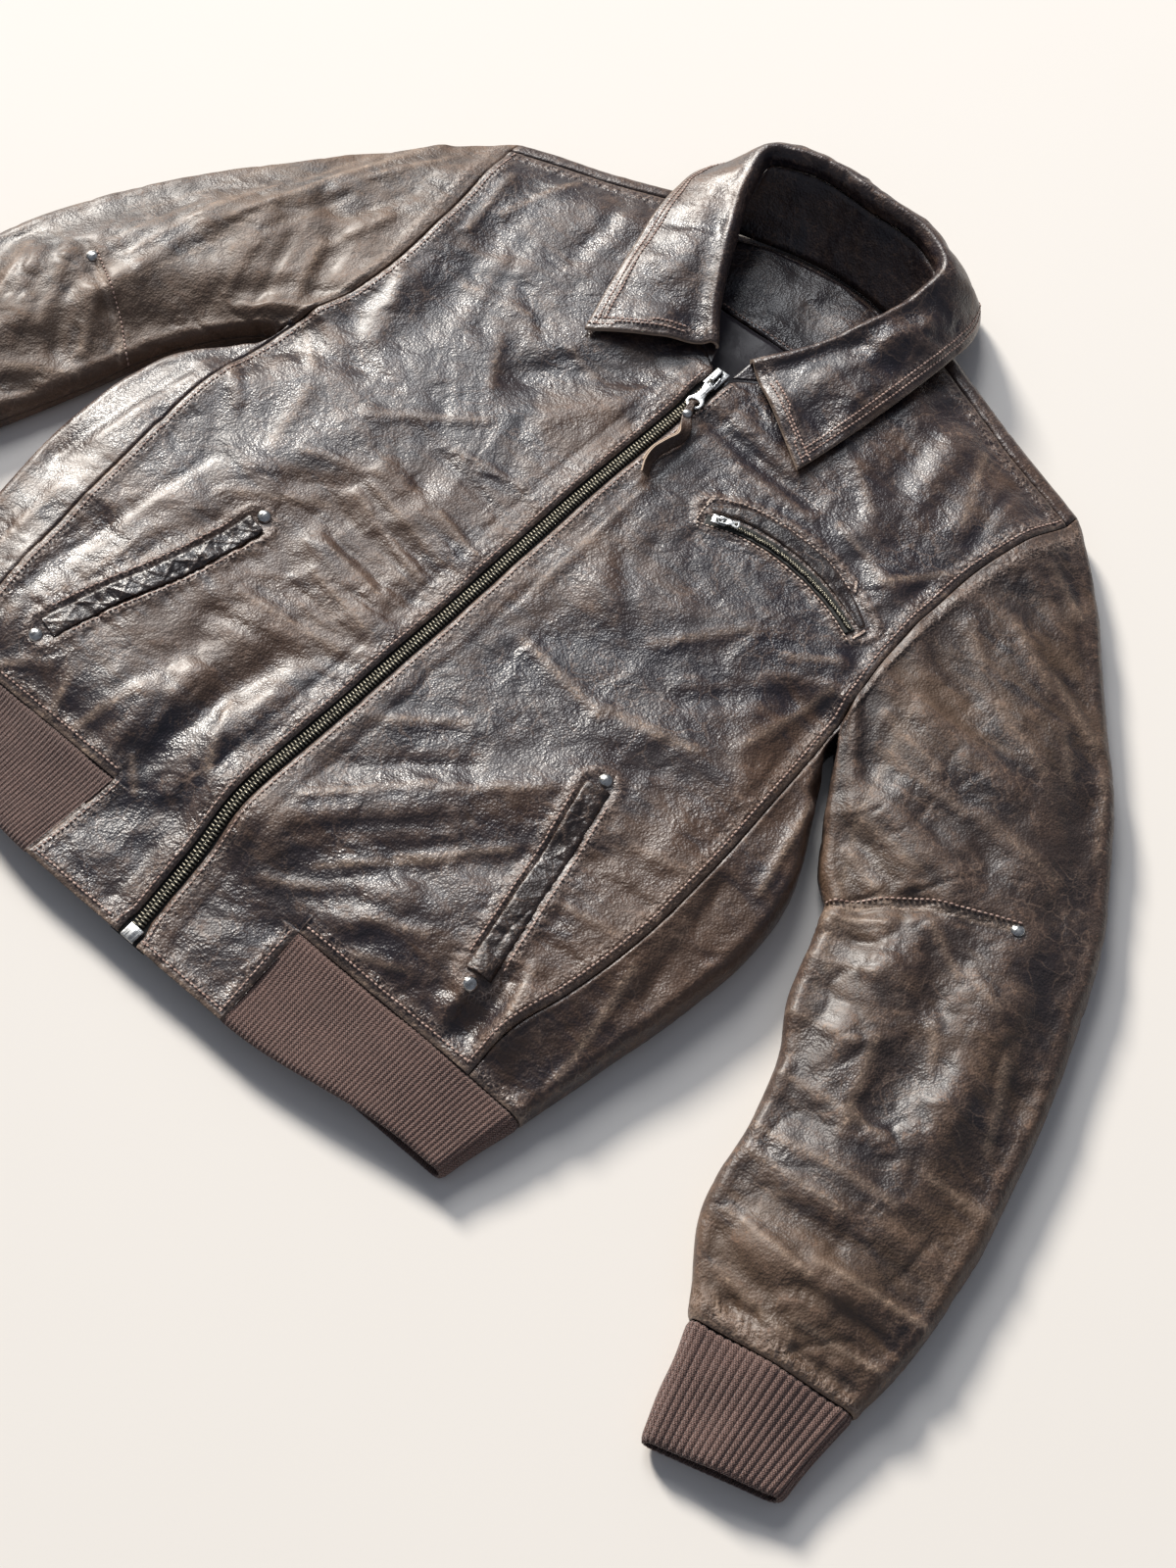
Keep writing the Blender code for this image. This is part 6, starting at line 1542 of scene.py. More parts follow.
@dataclass
class Sleeves:
    """The two sleeves, from the armholes to their cuffs, with the elbow darts."""

    body: Body
    shop: Shop
    length: float = 620.0
    cell: float = 2.8
    cells: RingCells = RingCells()
    blend: float = 0.30
    left: Table = ((257, 340, 236.5, 92, 35), (297, 300, 249, 70, 35), (350, 232, 267, 38, 36),
                   (400, 166, 284, 12, 36), (444, 90, 301, -4, 38), (472, 12, 309, -26, 37),
                   (492, -62, 322, -66, 33), (504, -126, 343, -104, 32), (510, -180, 355, -144, 34),
                   (509, -214, 366, -202, 32), (505, -239, 402, -256, 26))
    right: Table = ((257, 340, 252.5, 92, 35), (297, 300, 271, 79, 35), (350, 232, 289, 58, 36),
                    (403, 160, 303, 34, 37), (446, 82, 314, 6, 38), (472, 8, 324, -27, 37),
                    (490, -62, 337, -66, 34), (502, -126, 350, -104, 32), (507, -180, 358, -144, 33),
                    (507, -214, 367, -202, 31), (504, -239, 402, -256, 26))
    folds_left: Table = (
        (308, -6, 345, 26, 8, -3.0), (345, 26, 402, 48, 7, -2.6), (386, 22, 412, -92, 15, -4.6),
        (432, 16, 440, -86, 13, 3.2), (352, -20, 366, -90, 13, 2.8), (392, -212, 500, -184, 9, 3.6),
        (376, -186, 498, -156, 9, -2.8), (412, -238, 492, -212, 7, -3.4), (276, 252, 330, 222, 11, -2.8),
        (250, 140, 342, 128, 12, 2.6), (262, 66, 352, 54, 9, 2.6), (270, 92, 360, 82, 9, -2.2),
        (300, 282, 356, 206, 14, 2.4), (420, 120, 452, 40, 14, 2.6), (470, -20, 484, -120, 12, -2.6))
    folds_right: Table = (
        (316, -4, 352, 22, 8, -2.8), (352, 22, 400, 46, 7, -2.4), (296, 306, 352, 120, 10, 2.6),
        (352, 120, 362, 24, 9, 2.4), (284, 262, 306, 196, 11, -2.8), (292, 172, 268, 118, 10, -3.0),
        (330, 150, 312, 66, 11, 2.0), (420, 16, 386, -24, 12, 2.8), (436, -12, 404, -64, 12, -3.0),
        (350, -40, 372, -96, 13, 2.6), (392, -210, 500, -186, 9, 3.2), (380, -182, 498, -160, 9, -2.6),
        (412, -238, 492, -214, 7, -3.0), (440, 96, 404, 150, 13, 2.2))
    dart_left: Table = ((404, 53), (378, 41), (346, 26), (318, 4), (300, -8))
    dart_right: Table = ((392, 45), (370, 34), (348, 22), (326, 6), (308, -8))
    small_left: Table = (
        (262, 286, 300, 268, 5, 1.3), (256, 262, 296, 240, 5, -1.3), (270, 232, 318, 204, 6, 1.2),
        (300, 226, 340, 214, 5, -1.3), (318, 214, 362, 196, 6, 1.2), (250, 210, 276, 190, 5, 1.2),
        (244, 180, 286, 164, 6, -1.2), (300, 170, 350, 152, 8, 1.0), (262, 150, 320, 146, 6, -1.0),
        (250, 118, 300, 108, 5, 1.2), (262, 96, 330, 96, 5, 1.2), (268, 80, 330, 72, 4.5, -1.2),
        (274, 56, 330, 44, 5, 1.3), (282, 44, 326, 30, 4.5, -1.3), (292, 30, 330, 16, 4.5, 1.3),
        (300, 14, 322, 4, 4, -1.2), (304, -14, 340, 4, 4.5, 1.4), (308, -24, 350, -10, 5, -1.3),
        (314, -38, 356, -28, 5, 1.2), (318, -54, 360, -52, 5, -1.1), (326, -76, 372, -70, 5, 1.1),
        (360, 20, 392, 4, 5, 1.2), (372, 6, 400, -22, 6, -1.2), (396, 10, 424, 0, 5, 1.2),
        (400, -30, 430, -70, 6, 1.3), (420, -50, 446, -110, 6, -1.3), (380, -60, 400, -120, 7, 1.2),
        (350, -110, 420, -106, 6, 1.1), (354, -128, 430, -120, 5, -1.1), (360, -146, 450, -134, 6, 1.2),
        (440, -110, 500, -100, 6, 1.1), (450, -140, 506, -128, 6, -1.2), (446, -20, 470, -70, 7, 1.2),
        (368, -160, 430, -158, 5, 1.3), (372, -176, 440, -172, 5, -1.4), (380, -196, 440, -200, 5, 1.4),
        (386, -210, 430, -222, 4.5, -1.5), (396, -226, 446, -232, 4, 1.4), (436, -190, 506, -176, 5, 1.4),
        (440, -206, 506, -196, 4.5, -1.4), (448, -222, 504, -212, 4, 1.4), (458, -236, 500, -228, 3.5, -1.3),
        (404, -238, 420, -250, 4, 1.3), (428, -232, 440, -250, 3.5, -1.3), (452, -230, 460, -246, 3.5, 1.2),
        (474, -226, 482, -242, 3.5, -1.2), (430, 140, 460, 60, 7, 1.1), (456, 60, 470, 0, 6, -1.1),
        (404, 150, 432, 100, 7, -1.1), (330, 262, 370, 206, 7, -1.1), (380, 180, 410, 130, 7, 1.1),
        (340, 100, 400, 96, 8, 0.9), (350, 70, 410, 72, 7, -0.9), (340, 190, 366, 160, 6, 1.0))
    small_right: Table = (
        (290, 300, 344, 130, 3.4, 1.4), (276, 286, 300, 230, 4, 1.3), (310, 280, 352, 180, 5, -1.2),
        (344, 200, 360, 120, 4, 1.2), (300, 210, 318, 140, 4, -1.2), (268, 240, 286, 190, 4.5, -1.5),
        (262, 210, 276, 160, 4.5, 1.4), (282, 160, 262, 116, 5, 1.4), (300, 150, 280, 96, 5, -1.3),
        (318, 140, 300, 80, 5, 1.1), (360, 140, 372, 60, 4.5, 1.2), (380, 130, 392, 70, 5, -1.1),
        (366, 24, 340, -16, 5, 1.3), (384, 20, 352, -30, 5, -1.3), (402, 30, 372, -22, 5, 1.3),
        (420, 36, 396, -6, 5, -1.3), (436, 26, 410, -30, 5, 1.3), (448, 10, 424, -44, 6, -1.2),
        (330, -30, 366, -60, 6, 1.2), (344, -60, 400, -110, 6, -1.1), (350, -110, 420, -106, 6, 1.1),
        (354, -128, 430, -120, 5, -1.1), (360, -146, 450, -134, 6, 1.2), (440, -110, 500, -100, 6, 1.1),
        (450, -140, 506, -128, 6, -1.2), (368, -160, 430, -158, 5, 1.3), (372, -176, 440, -172, 5, -1.4),
        (380, -196, 440, -200, 5, 1.4), (386, -210, 430, -222, 4.5, -1.5), (396, -226, 446, -232, 4, 1.4),
        (436, -190, 506, -176, 5, 1.4), (440, -206, 506, -196, 4.5, -1.4), (448, -222, 504, -212, 4, 1.4),
        (404, -238, 420, -250, 4, 1.3), (428, -232, 440, -250, 3.5, -1.3), (452, -230, 460, -246, 3.5, 1.2),
        (474, -226, 482, -242, 3.5, -1.2), (430, 130, 470, 30, 6, 1.1), (400, 200, 440, 110, 6, 1.0))
    # Long pale creases rubbed into the right sleeve: start, end, width, strength.
    pale_right: Table = (
        (295, 312, 322, 200, 1.5, 0.9), (322, 200, 340, 96, 1.4, 0.9), (340, 96, 358, 30, 1.3, 0.7),
        (306, 300, 340, 190, 1.2, 0.6), (284, 270, 300, 190, 1.2, 0.5), (352, 190, 372, 90, 1.2, 0.5),
        (312, 172, 322, 110, 1.1, 0.5), (270, 260, 286, 186, 1.1, 0.4), (362, 210, 400, 100, 1.2, 0.5),
        (376, 130, 392, 56, 1.0, 0.5), (420, 150, 446, 76, 1.2, 0.5), (330, 60, 350, 16, 1.2, 0.5),
        (410, 20, 380, -30, 1.2, 0.5), (440, 20, 410, -40, 1.2, 0.4))
    pale_left: Table = (
        (304, -6, 330, -40, 2.4, 0.6), (300, -8, 322, 6, 2.2, 0.6), (262, 130, 280, 60, 1.6, 0.5),
        (280, 58, 304, 4, 1.8, 0.6), (330, -50, 350, -100, 1.6, 0.35))
    busy: Table = ((330, 10, 60, 0.7), (440, -210, 70, 0.8), (300, 60, 50, 0.5), (410, -70, 80, 0.4),
                   (300, 240, 60, 0.35), (400, 0, 60, 0.4), (450, -130, 60, 0.4))
    warmth: Table = ((470, -120, 40, 0.10), (330, 160, 80, 0.06), (440, -220, 60, 0.20), (300, 40, 60, 0.08),
                     (260, 160, 40, 0.12), (450, 60, 60, -0.06), (370, 100, 60, -0.10), (400, -120, 60, -0.12))
    cut: Cut = Cut(0.420, 0.660, 0.84, Held.LAID, ("back_panel",))
    form: SeamForm = SeamForm(groove=1.0, layers=0.8, stitch_at=9.0, pucker=0.35)

    def columns(self) -> list[tuple[str, float]]:
        """Kind and place of each column, in the order of the armhole ring."""
        c = self.cells
        cols = [("over", t) for t in np.linspace(0, 1, c.over + 1)]
        cols += [("pit", a) for a in np.linspace(math.pi / 2, -math.pi / 2, c.pit + 1)[1:]]
        cols += [("under", t) for t in np.linspace(1, 0, c.under + 1)[1:]]
        return cols + [("shoulder", a) for a in np.linspace(-math.pi / 2, math.pi / 2, c.wrap + 1)[1:]]

    def grid(self, side: Side) -> tuple[Array, Array]:
        """Points of a sleeve and how far along it each row lies."""
        b, s = self.body, side.value
        st = np.asarray(self.left if s > 0 else self.right, float)
        folds = self.folds_left if s > 0 else self.folds_right
        middle = (st[:, 0:2] + st[:, 2:4]) / 2
        gaps = np.linalg.norm(np.diff(middle, axis=0), axis=1)
        knots = np.concatenate([[0.0], np.cumsum(gaps)]) / gaps.sum()
        cols = self.columns()
        mirrored = b.armhole_ring(side, self.cells) * (s, 1, 1)
        start = flat_ring(st[0, 0:2], st[0, 2:4], st[0, 4], b.edge_height, b, cols)
        place = np.array([t if kind == "over" else 0.0 for kind, t in cols])
        inside = np.sqrt(smooth(np.minimum(place, 1 - place) * 4.0))
        shares = spaced(self.length, self.cell)
        rows = []
        for share in shares:
            v = hermite(knots, st, share)[0]
            low = b.edge_height - 4.0 * float(smooth(np.array((share - 0.85) / 0.15)))
            pts = flat_ring(v[0:2], v[2:4], v[4], low, b, cols)
            pts[:, 2] += creases(pts[:, 0], pts[:, 1], folds) * inside * smooth(np.array((1 - share) / 0.03))
            pts += (mirrored - start) * (1 - smooth(np.array(share / self.blend)))
            rows.append(pts)
        return np.array(rows)[:, :-1], shares * gaps.sum()

    def build(self) -> None:
        """Make both sleeves and the stitches of their darts."""
        b = self.body
        for side in Side:
            s = side.value
            small, pale, dart = ((self.small_left, self.pale_left, self.dart_left) if s > 0 else
                                 (self.small_right, self.pale_right, self.dart_right))
            pts, along = self.grid(side)
            n = facing(grid_normals(pts, ring=True), 10, 10, 2, 1)
            n[0] = n[1]
            x, y = pts[..., 0], pts[..., 1]
            over = smooth((pts[..., 2] - 12.0) / 9.0)
            seam_at = np.repeat(along[:, None], pts.shape[1], axis=1)
            end_at = along[-1] - seam_at
            ends = smooth(seam_at / 14.0) * smooth(end_at / 7.0)
            groove = creases(x, y, [(*dart[i], *dart[i + 1], 1.9, -1.5) for i in range(len(dart) - 1)])
            groove = np.maximum(groove, -1.5)
            rise = (creases(x, y, small) * over + wrinkled(pts, 0.7 + b.blobs(pts, self.busy), 11 + s)
                    ) * smooth((pts[..., 2] - 3.0) / 9.0) * ends
            rise += groove * over + self.form.rise(seam_at, np.arange(pts.shape[1])[None, :] * 2.6)
            rise += SeamForm(layers=0.9, pucker=0.5).rise(end_at, np.arange(pts.shape[1])[None, :] * 2.2)
            pts = pts + n * rise[..., None]
            pts[..., 2] = np.maximum(pts[..., 2], 0.0)
            worn = 0.45 * bell(seam_at - 1.5, 4.0) + 0.5 * bell(end_at - 2, 4.0) - 0.4 * np.minimum(groove, 0)
            lines = np.clip(creases(x, y, np.asarray(pale) * (1, 1, 1, 1, 1.7, 1)), 0, 1)
            crest = np.clip(creases(x, y, np.asarray(small) * (1, 1, 1, 1, 0.6, 1)) - 0.4, 0, 1)
            lines = np.maximum(np.maximum(lines, 0.7 * crest), np.clip(-0.6 * groove, 0, 1)) * over
            lines = np.maximum(lines, 0.95 * bell(end_at - 1.0, 1.4))
            warm = b.blobs(pts, self.warmth) + (0.10 if s < 0 else 0.0)
            sewn = bell(seam_at - 10, 4.0) + bell(end_at - 7, 5.0) + np.clip(-groove, 0, 1) * over
            cut_at = self.cells.over + self.cells.pit // 2
            turn = np.r_[cut_at:pts.shape[1], 0:cut_at + 1]
            pts = pts[:, turn] * (s, 1, 1)
            pts[:, -1, 2] += 0.3
            n = facing(grid_normals(pts), 10, int(np.argmax(pts[10, :, 2])), 2, 1)
            marks = Marks(np.clip(ridges(pts, n) + worn[:, turn], 0, 1), warm[:, turn], lines[:, turn],
                          np.clip(sewn, 0, 1)[:, turn])
            name = "sleeve_" + side.word
            pts[0, :, 0] += s * b.seam
            piece = self.shop.cloth(name + "_skin", pts, n, b.thick, self.shop.finishes.sleeve, Slot.SLEEVE, (name,),
                                    self.cut, marks=marks)
            self.shop.remember(name, piece)
            path = np.asarray(dart, float)
            way = np.gradient(path, axis=0)
            way = unit(way)
            off = np.column_stack([way[:, 1], -way[:, 0]]) * 4.2
            rows = [self.shop.row(name, (path + off) * (s, 1), 160)]
            self.shop.sew(name + "_stitches", rows, self.shop.finishes.thread, slot=Slot.SLEEVE)


@dataclass
class Knits:
    """The hem rib and the two cuffs."""

    body: Body
    shop: Shop
    tab_edge: tuple[float, float] = (79.0, 84.0)
    thick: float = 1.6
    hem_pitch: float = 3.1
    hem_round: float = 868.0
    hem_length: float = 70.0
    cuff_length: float = 66.0
    hem_samples: int = 5
    hem_rows: int = 18
    hem_lift: float = 17.0
    rib_depth: float = 0.95
    cuff_ribs: int = 46
    cuff_samples: int = 8
    cuff_rows: int = 26
    cuff_start: Table = ((505, -239, 402, -256, 26), (504, -239, 402, -256, 26))
    cuff_end: tuple[float, ...] = (503, -300, 424, -325, 21)
    hem_cut: Cut = Cut(0.900, 0.070, 0.97, Held.FOLDED, ("back_panel",))
    cuff_cut: Cut = Cut(0.228, 0.068, 1.0, Held.FOLDED)

    def hem_half(self, side: Side, y: float) -> tuple[Array, Array]:
        """Section of the hem at y from the tab round to the underside: distance and height."""
        b, s = self.body, side.value
        line = float(b.side(np.array(s), np.array(y)))
        low = float(read(b.edge, np.array(y)))
        share = (b.y_rib - y) / (b.y_rib - b.y_hem)
        edge = self.tab_edge[0] + (self.tab_edge[1] - self.tab_edge[0]) * share + b.seam
        centre = line - b.edge_reach
        angle = np.linspace(math.pi / 2, -math.pi / 2, 60)
        flat = np.linspace(edge, centre, 80)[:-1]
        x = np.concatenate([flat, centre + b.edge_reach * np.cos(angle)])
        return x, np.concatenate([b.top(s * flat, np.full_like(flat, y)), low / 2 * (1 + np.sin(angle))])

    def hem(self) -> None:
        """Make the hem rib: one band from tab to tab, ribbed all round."""
        b = self.body
        rows, widths = [], []
        for y in np.linspace(b.y_rib - b.seam, b.y_hem, self.hem_rows):
            down = (b.y_rib - y) / (b.y_rib - b.y_hem)
            parts = []
            for side in Side:
                x, z = self.hem_half(side, float(y))
                foot = y + self.hem_lift * down * smooth((x - self.tab_edge[1]) / 140.0)
                parts.append(np.column_stack([side.value * x, foot, z]))
            under = np.linspace(parts[0][-1], parts[1][-1], 80)[1:-1]
            line = np.concatenate([parts[0], under, parts[1][::-1]])
            length = run(line[:, [0, 2]])
            ribs = int(self.hem_round / self.hem_pitch)
            at = np.linspace(0, length[-1], ribs * self.hem_samples + 1)
            rows.append(np.stack([np.interp(at, length, line[:, k]) for k in range(3)], axis=-1))
            widths.append(at)
        pts = np.array(rows)
        n = facing(grid_normals(pts), 3, 30, 2, 1)
        phase = np.arange(pts.shape[1]) / self.hem_samples * 2 * math.pi
        wave = self.rib_depth * (np.abs(np.cos(phase / 2)) ** 0.8 - 1.0)
        down = np.linspace(0, 1, self.hem_rows)[:, None]
        ease = 0.5 * Ripple(31, 60.0).at(pts) * smooth(pts[..., 2] / 12.0) - 1.2 * bell(down * self.hem_length, 2.0)
        ease -= 1.0 * bell((1 - down) * self.hem_length, 2.2)
        pts = pts + n * (wave[None, :] + ease)[..., None]
        pts[..., 2] = np.maximum(pts[..., 2], 0.0)
        uv = np.stack([np.array(widths), np.repeat(down * self.hem_length, pts.shape[1], axis=1)], axis=-1) * MM
        self.shop.cloth("hem_rib_skin", pts, n, self.thick, self.shop.finishes.knit, Slot.KNIT, ("hem_rib",),
                        self.hem_cut, uv=uv)

    def ring(self, v: Array, low: float) -> tuple[Array, Array]:
        """Evenly spaced points round a cuff, and how far round each lies."""
        t = np.linspace(0, 1, 60)
        cols = [("over", a) for a in t] + [("pit", a) for a in np.linspace(math.pi / 2, -math.pi / 2, 30)[1:]]
        cols += [("under", a) for a in t[::-1][1:]]
        cols += [("shoulder", a) for a in np.linspace(-math.pi / 2, math.pi / 2, 30)[1:-1]]
        dense = flat_ring(v[0:2], v[2:4], float(v[4]), low, self.body, cols)
        closed = np.concatenate([dense, dense[:1]])
        length = run(closed)
        at = np.linspace(0, length[-1], self.cuff_ribs * self.cuff_samples, endpoint=False)
        return np.stack([np.interp(at, length, closed[:, k]) for k in range(3)], axis=-1), at

    def cuff(self, side: Side) -> None:
        """Make one cuff: a ribbed tube after the sleeve's end, its foot turned in."""
        first = np.asarray(self.cuff_start[0 if side is Side.LEFT else 1], float)
        last = np.asarray(self.cuff_end, float)
        rows, uvs = [], []
        shares = np.linspace(0.008, 1.0, self.cuff_rows)
        for t in shares:
            v = first + (last - first) * t
            v[4] -= 2.0 * math.sin(math.pi * t)
            pts, at = self.ring(v, 20.0 - 3.0 * t)
            rows.append(pts)
            uvs.append(np.column_stack([at, np.full_like(at, t * self.cuff_length)]))
        pts = np.array(rows)
        n = facing(grid_normals(pts, ring=True), 5, 60, 2, 1)
        phase = np.arange(pts.shape[1]) / self.cuff_samples * 2 * math.pi
        wave = 1.15 * self.rib_depth * (np.abs(np.cos(phase / 2)) ** 0.8 - 1.0)
        t = shares[:, None]
        ease = 0.5 * Ripple(37, 40.0).at(pts) - 1.0 * bell(t * self.cuff_length, 2.0)
        ease -= 1.6 * bell((1 - t) * self.cuff_length, 2.2)
        pts = (pts + n * (wave[None, :] + ease)[..., None]) * (side.value, 1, 1)
        n = n * (side.value, 1, 1)
        pts[..., 2] = np.maximum(pts[..., 2], 0.0)
        name = "cuff_" + side.word
        self.shop.cloth(name + "_skin", pts, n, self.thick, self.shop.finishes.knit, Slot.KNIT, (name,),
                        self.cuff_cut, ring=True, uv=np.array(uvs) * MM)

    def build(self) -> None:
        """Make the hem and both cuffs."""
        self.hem()
        for side in Side:
            self.cuff(side)


@dataclass
class Collar:
    """The open collar: its stand, its fall with raw edges, and two rows of stitches."""

    body: Body
    shop: Shop
    steps: int = 230
    across: int = 54
    stand_rows: int = 12
    thick: float = 2.0
    centre: tuple[float, float] = (-4.0, 352.0)
    leaf_lift: float = 4.2
    drop: float = 15.0
    stand_least: float = 2.5
    rows_at: tuple[float, float] = (5.5, 10.0)
    roll: Table = ((-17, 271, 47), (-37, 298, 52), (-65, 348, 58), (-87, 396, 62), (-92, 426, 64),
                   (-66, 441, 64), (-8, 445, 63), (44, 440, 63), (67, 425, 63), (69, 396, 61),
                   (56, 345, 58), (37, 305, 52), (16, 276, 47))
    leaf: Table = ((-91, 224, 42), (-111, 290, 42), (-130, 370, 38), (-133, 402, 30), (-114, 448, 14),
                   (-66, 464, 8), (-8, 468, 7), (46, 463, 8), (90, 448, 14), (110, 404, 30),
                   (112, 374, 38), (104, 290, 42), (93, 228, 42))
    foot: Table = ((-8.2, 261.3, 38), (-28.6, 276.9, 38), (-56.5, 316.0, 38), (-79.6, 357.6, 38), (-92.6, 380, 26),
                   (-95.6, 390, 24), (-95.6, 396, 13), (-93.5, 393, 4), (-82, 396, 3), (-48, 405, 3),
                   (0, 410.5, 3), (48, 405, 3), (82, 396, 3), (93.5, 393, 4), (95.6, 396, 13),
                   (95.6, 390, 24), (92.6, 380, 26), (79.6, 357.6, 38), (56.5, 316.0, 38), (28.6, 276.9, 38),
                   (10.4, 262, 38))
    dents: Table = (
        (-120, 330, -70, 350, 9, -1.6), (-118, 300, -60, 300, 9, 1.5), (-110, 262, -60, 280, 8, -1.2),
        (-124, 380, -90, 400, 9, 1.5), (-128, 420, -96, 430, 7, -1.4), (-80, 458, -74, 440, 6, 1.3),
        (-50, 464, -44, 444, 6, -1.3), (-24, 468, -20, 446, 6, 1.3), (10, 466, 8, 446, 7, -1.3),
        (34, 464, 30, 444, 6, 1.2), (62, 456, 56, 438, 6, -1.3), (94, 440, 74, 420, 7, 1.5),
        (106, 400, 76, 396, 8, -1.6), (108, 372, 70, 360, 8, 1.6), (110, 340, 60, 330, 9, -1.4),
        (104, 300, 60, 296, 9, 1.3), (98, 262, 50, 276, 8, -1.1), (88, 380, 72, 340, 6, 1.4))
    fall_cut: Cut = Cut(0.610, 0.112, 0.86, Held.FOLDED, ("collar_stand",))
    stand_cut: Cut = Cut(0.640, 0.040, 0.86, Held.FOLDED, ("front_left", "front_right"))

    def profiles(self, share: Array) -> tuple[Array, ...]:
        """Foot, seam, roll and outer edge along the collar, with its outward way and the stand's drop."""
        b = self.body
        roll, edge, foot = through(self.roll, share), through(self.leaf, share), through(self.foot, share)
        tangent = np.gradient(roll[:, :2], axis=0)
        out = np.column_stack([tangent[:, 1], -tangent[:, 0]])
        out = unit(out)
        out *= np.sign(np.sum(out * (roll[:, :2] - np.array(self.centre)), axis=1))[:, None]
        out = np.column_stack([out, np.zeros(len(out))])
        lift = b.top(edge[:, 0], edge[:, 1]) + self.leaf_lift
        edge[:, 2] = np.where(edge[:, 1] < 396, np.maximum(edge[:, 2], lift), edge[:, 2])
        foot[:, 2] = np.where(foot[:, 1] < 378, b.top(foot[:, 0], foot[:, 1]) + 0.3, np.maximum(foot[:, 2], 2.4))
        drop = np.clip(roll[:, 2] - foot[:, 2] - self.stand_least, 4.0, self.drop)[:, None]
        seam = roll - out * 6.5 - np.array([0, 0, 1.0]) * drop
        return foot, seam, roll, edge, out, drop

    def build(self) -> None:
        """Make the stand, the fall and the stitches."""
        share = np.linspace(0, 1, self.steps + 1)
        foot, seam, roll, edge, out, drop = self.profiles(share)
        near = roll + out * 5.0 - UP * 2.2
        leaf = edge - near
        bulge = UP * 3.0 + out * 2.0
        paths = np.stack([seam, roll - out * 4.8 - UP * drop / 3.0, roll, near, near + leaf * 0.33 + bulge,
                          near + leaf * 0.68 + bulge * 0.8, edge], axis=1)
        places = np.concatenate([np.linspace(0, 0.25, 16), np.linspace(0.25, 1.0, self.across - 15)[1:]])
        pts = np.array([through(path, places) for path in paths])
        middle = self.steps // 2
        n = facing(grid_normals(pts), middle, 40, 1, 1)
        edge_at = np.linalg.norm(pts[:, -1:] - pts, axis=2)
        seam_at = np.linalg.norm(pts[:, :1] - pts, axis=2)
        ends = np.minimum(np.linalg.norm(pts - pts[:1], axis=2), np.linalg.norm(pts - pts[-1:], axis=2))
        border = np.minimum(edge_at, ends)
        along = np.arange(self.steps + 1)[:, None] * 2.8 + 0 * edge_at
        leaf_part = smooth((places - 0.25) / 0.1)[None, :]
        rise = creases(pts[..., 0], pts[..., 1], self.dents) * leaf_part * smooth(border / 12.0)
        rise += wrinkled(pts, 0.75 + 0 * border, 23) * smooth(border / 8.0)
        for at in self.rows_at:
            rise -= 0.40 * bell(border - at, 1.0) * leaf_part
        rise += 0.5 * bell(border - 8.0, 2.6) * leaf_part
        rise += 0.28 * np.sin(along * 1.1) * bell(border - 12.0, 4.0) * leaf_part
        rise -= 0.9 * bell(seam_at, 1.6) + 0.35 * bell(seam_at - 5, 0.9)
        rise += 0.5 * Ripple(29, 26.0).at(pts) * bell(border, 7.0) * leaf_part
        pts = pts + n * rise[..., None]
        n = facing(grid_normals(pts), middle, 40, 1, 1)
        wear = np.clip(ridges(pts, n, 3, 0.35) + 0.75 * bell(border, 3.0) + 0.3 * bell(border - 8, 3.0)
                       + 0.25 * bell(np.linalg.norm(pts - roll[:, None], axis=2), 8.0), 0, 1)
        finishes = self.shop.finishes
        self.shop.cloth("collar_fall_skin", pts, n, self.thick, finishes.body, Slot.LEATHER, ("collar_fall",),
                        self.fall_cut, edge=finishes.raw,
                        marks=Marks(wear, 0.10 * Ripple(41, 90.0).at(pts), 0.9 * bell(border, 1.3),
                                    bell(border - 9, 5.0)))
        rows = []
        for at in self.rows_at:
            line, way = self.level(pts, n, edge_at, at)
            keep = np.minimum(np.linalg.norm(line - line[0], axis=1), np.linalg.norm(line - line[-1], axis=1)) > at
            rows.append((line[keep], way[keep]))
            for end in (0, -1):
                path = pts[end]
                inner = 1 if end == 0 else -1
                k = np.argmax(np.linalg.norm(pts[::inner] - path[None], axis=2) > at, axis=0)
                idx = k if end == 0 else self.steps - k
                cols = np.arange(18, len(path))
                row = pts[idx[cols], cols]
                ok = np.linalg.norm(row - path[-1], axis=1) > at
                rows.append((row[ok], n[idx[cols], cols][ok]))
        self.shop.sew("collar_stitches", rows, finishes.thread, pitch=3.2)
        inside, inside_n = self.level(pts, -n, seam_at, 4.5)
        self.shop.sew("collar_seam_stitches", [(inside + inside_n * self.thick, inside_n)], finishes.thread, pitch=3.2)
        self.build_stand(foot, seam, out)

    def build_stand(self, foot: Array, seam: Array, out: Array) -> None:
        """Make the stand.

        Args:
            foot: Its foot line.
            seam: The line where the fall is sewn on.
            out: Direction away from the neck, at each point.
        """
        head = seam + out * 1.6 - UP * 0.6
        belly = out * np.clip((seam - foot)[:, 2:] / 30.0, 0, 1) * 2.0
        t = np.linspace(0, 1, self.stand_rows)[None, :, None]
        stand = foot[:, None] + (head - foot)[:, None] * t + belly[:, None] * np.sin(math.pi * t)
        n = facing(grid_normals(stand), self.steps // 2, 4, 1, 1)
        stand = stand + n * (wrinkled(stand, 0.6 + 0 * stand[..., 0], 27))[..., None]
        self.shop.cloth("collar_stand_skin", stand, n, self.body.thick, self.shop.finishes.body, Slot.LEATHER,
                        ("collar_stand",), self.stand_cut, marks=Marks(wear=ridges(stand, n)))

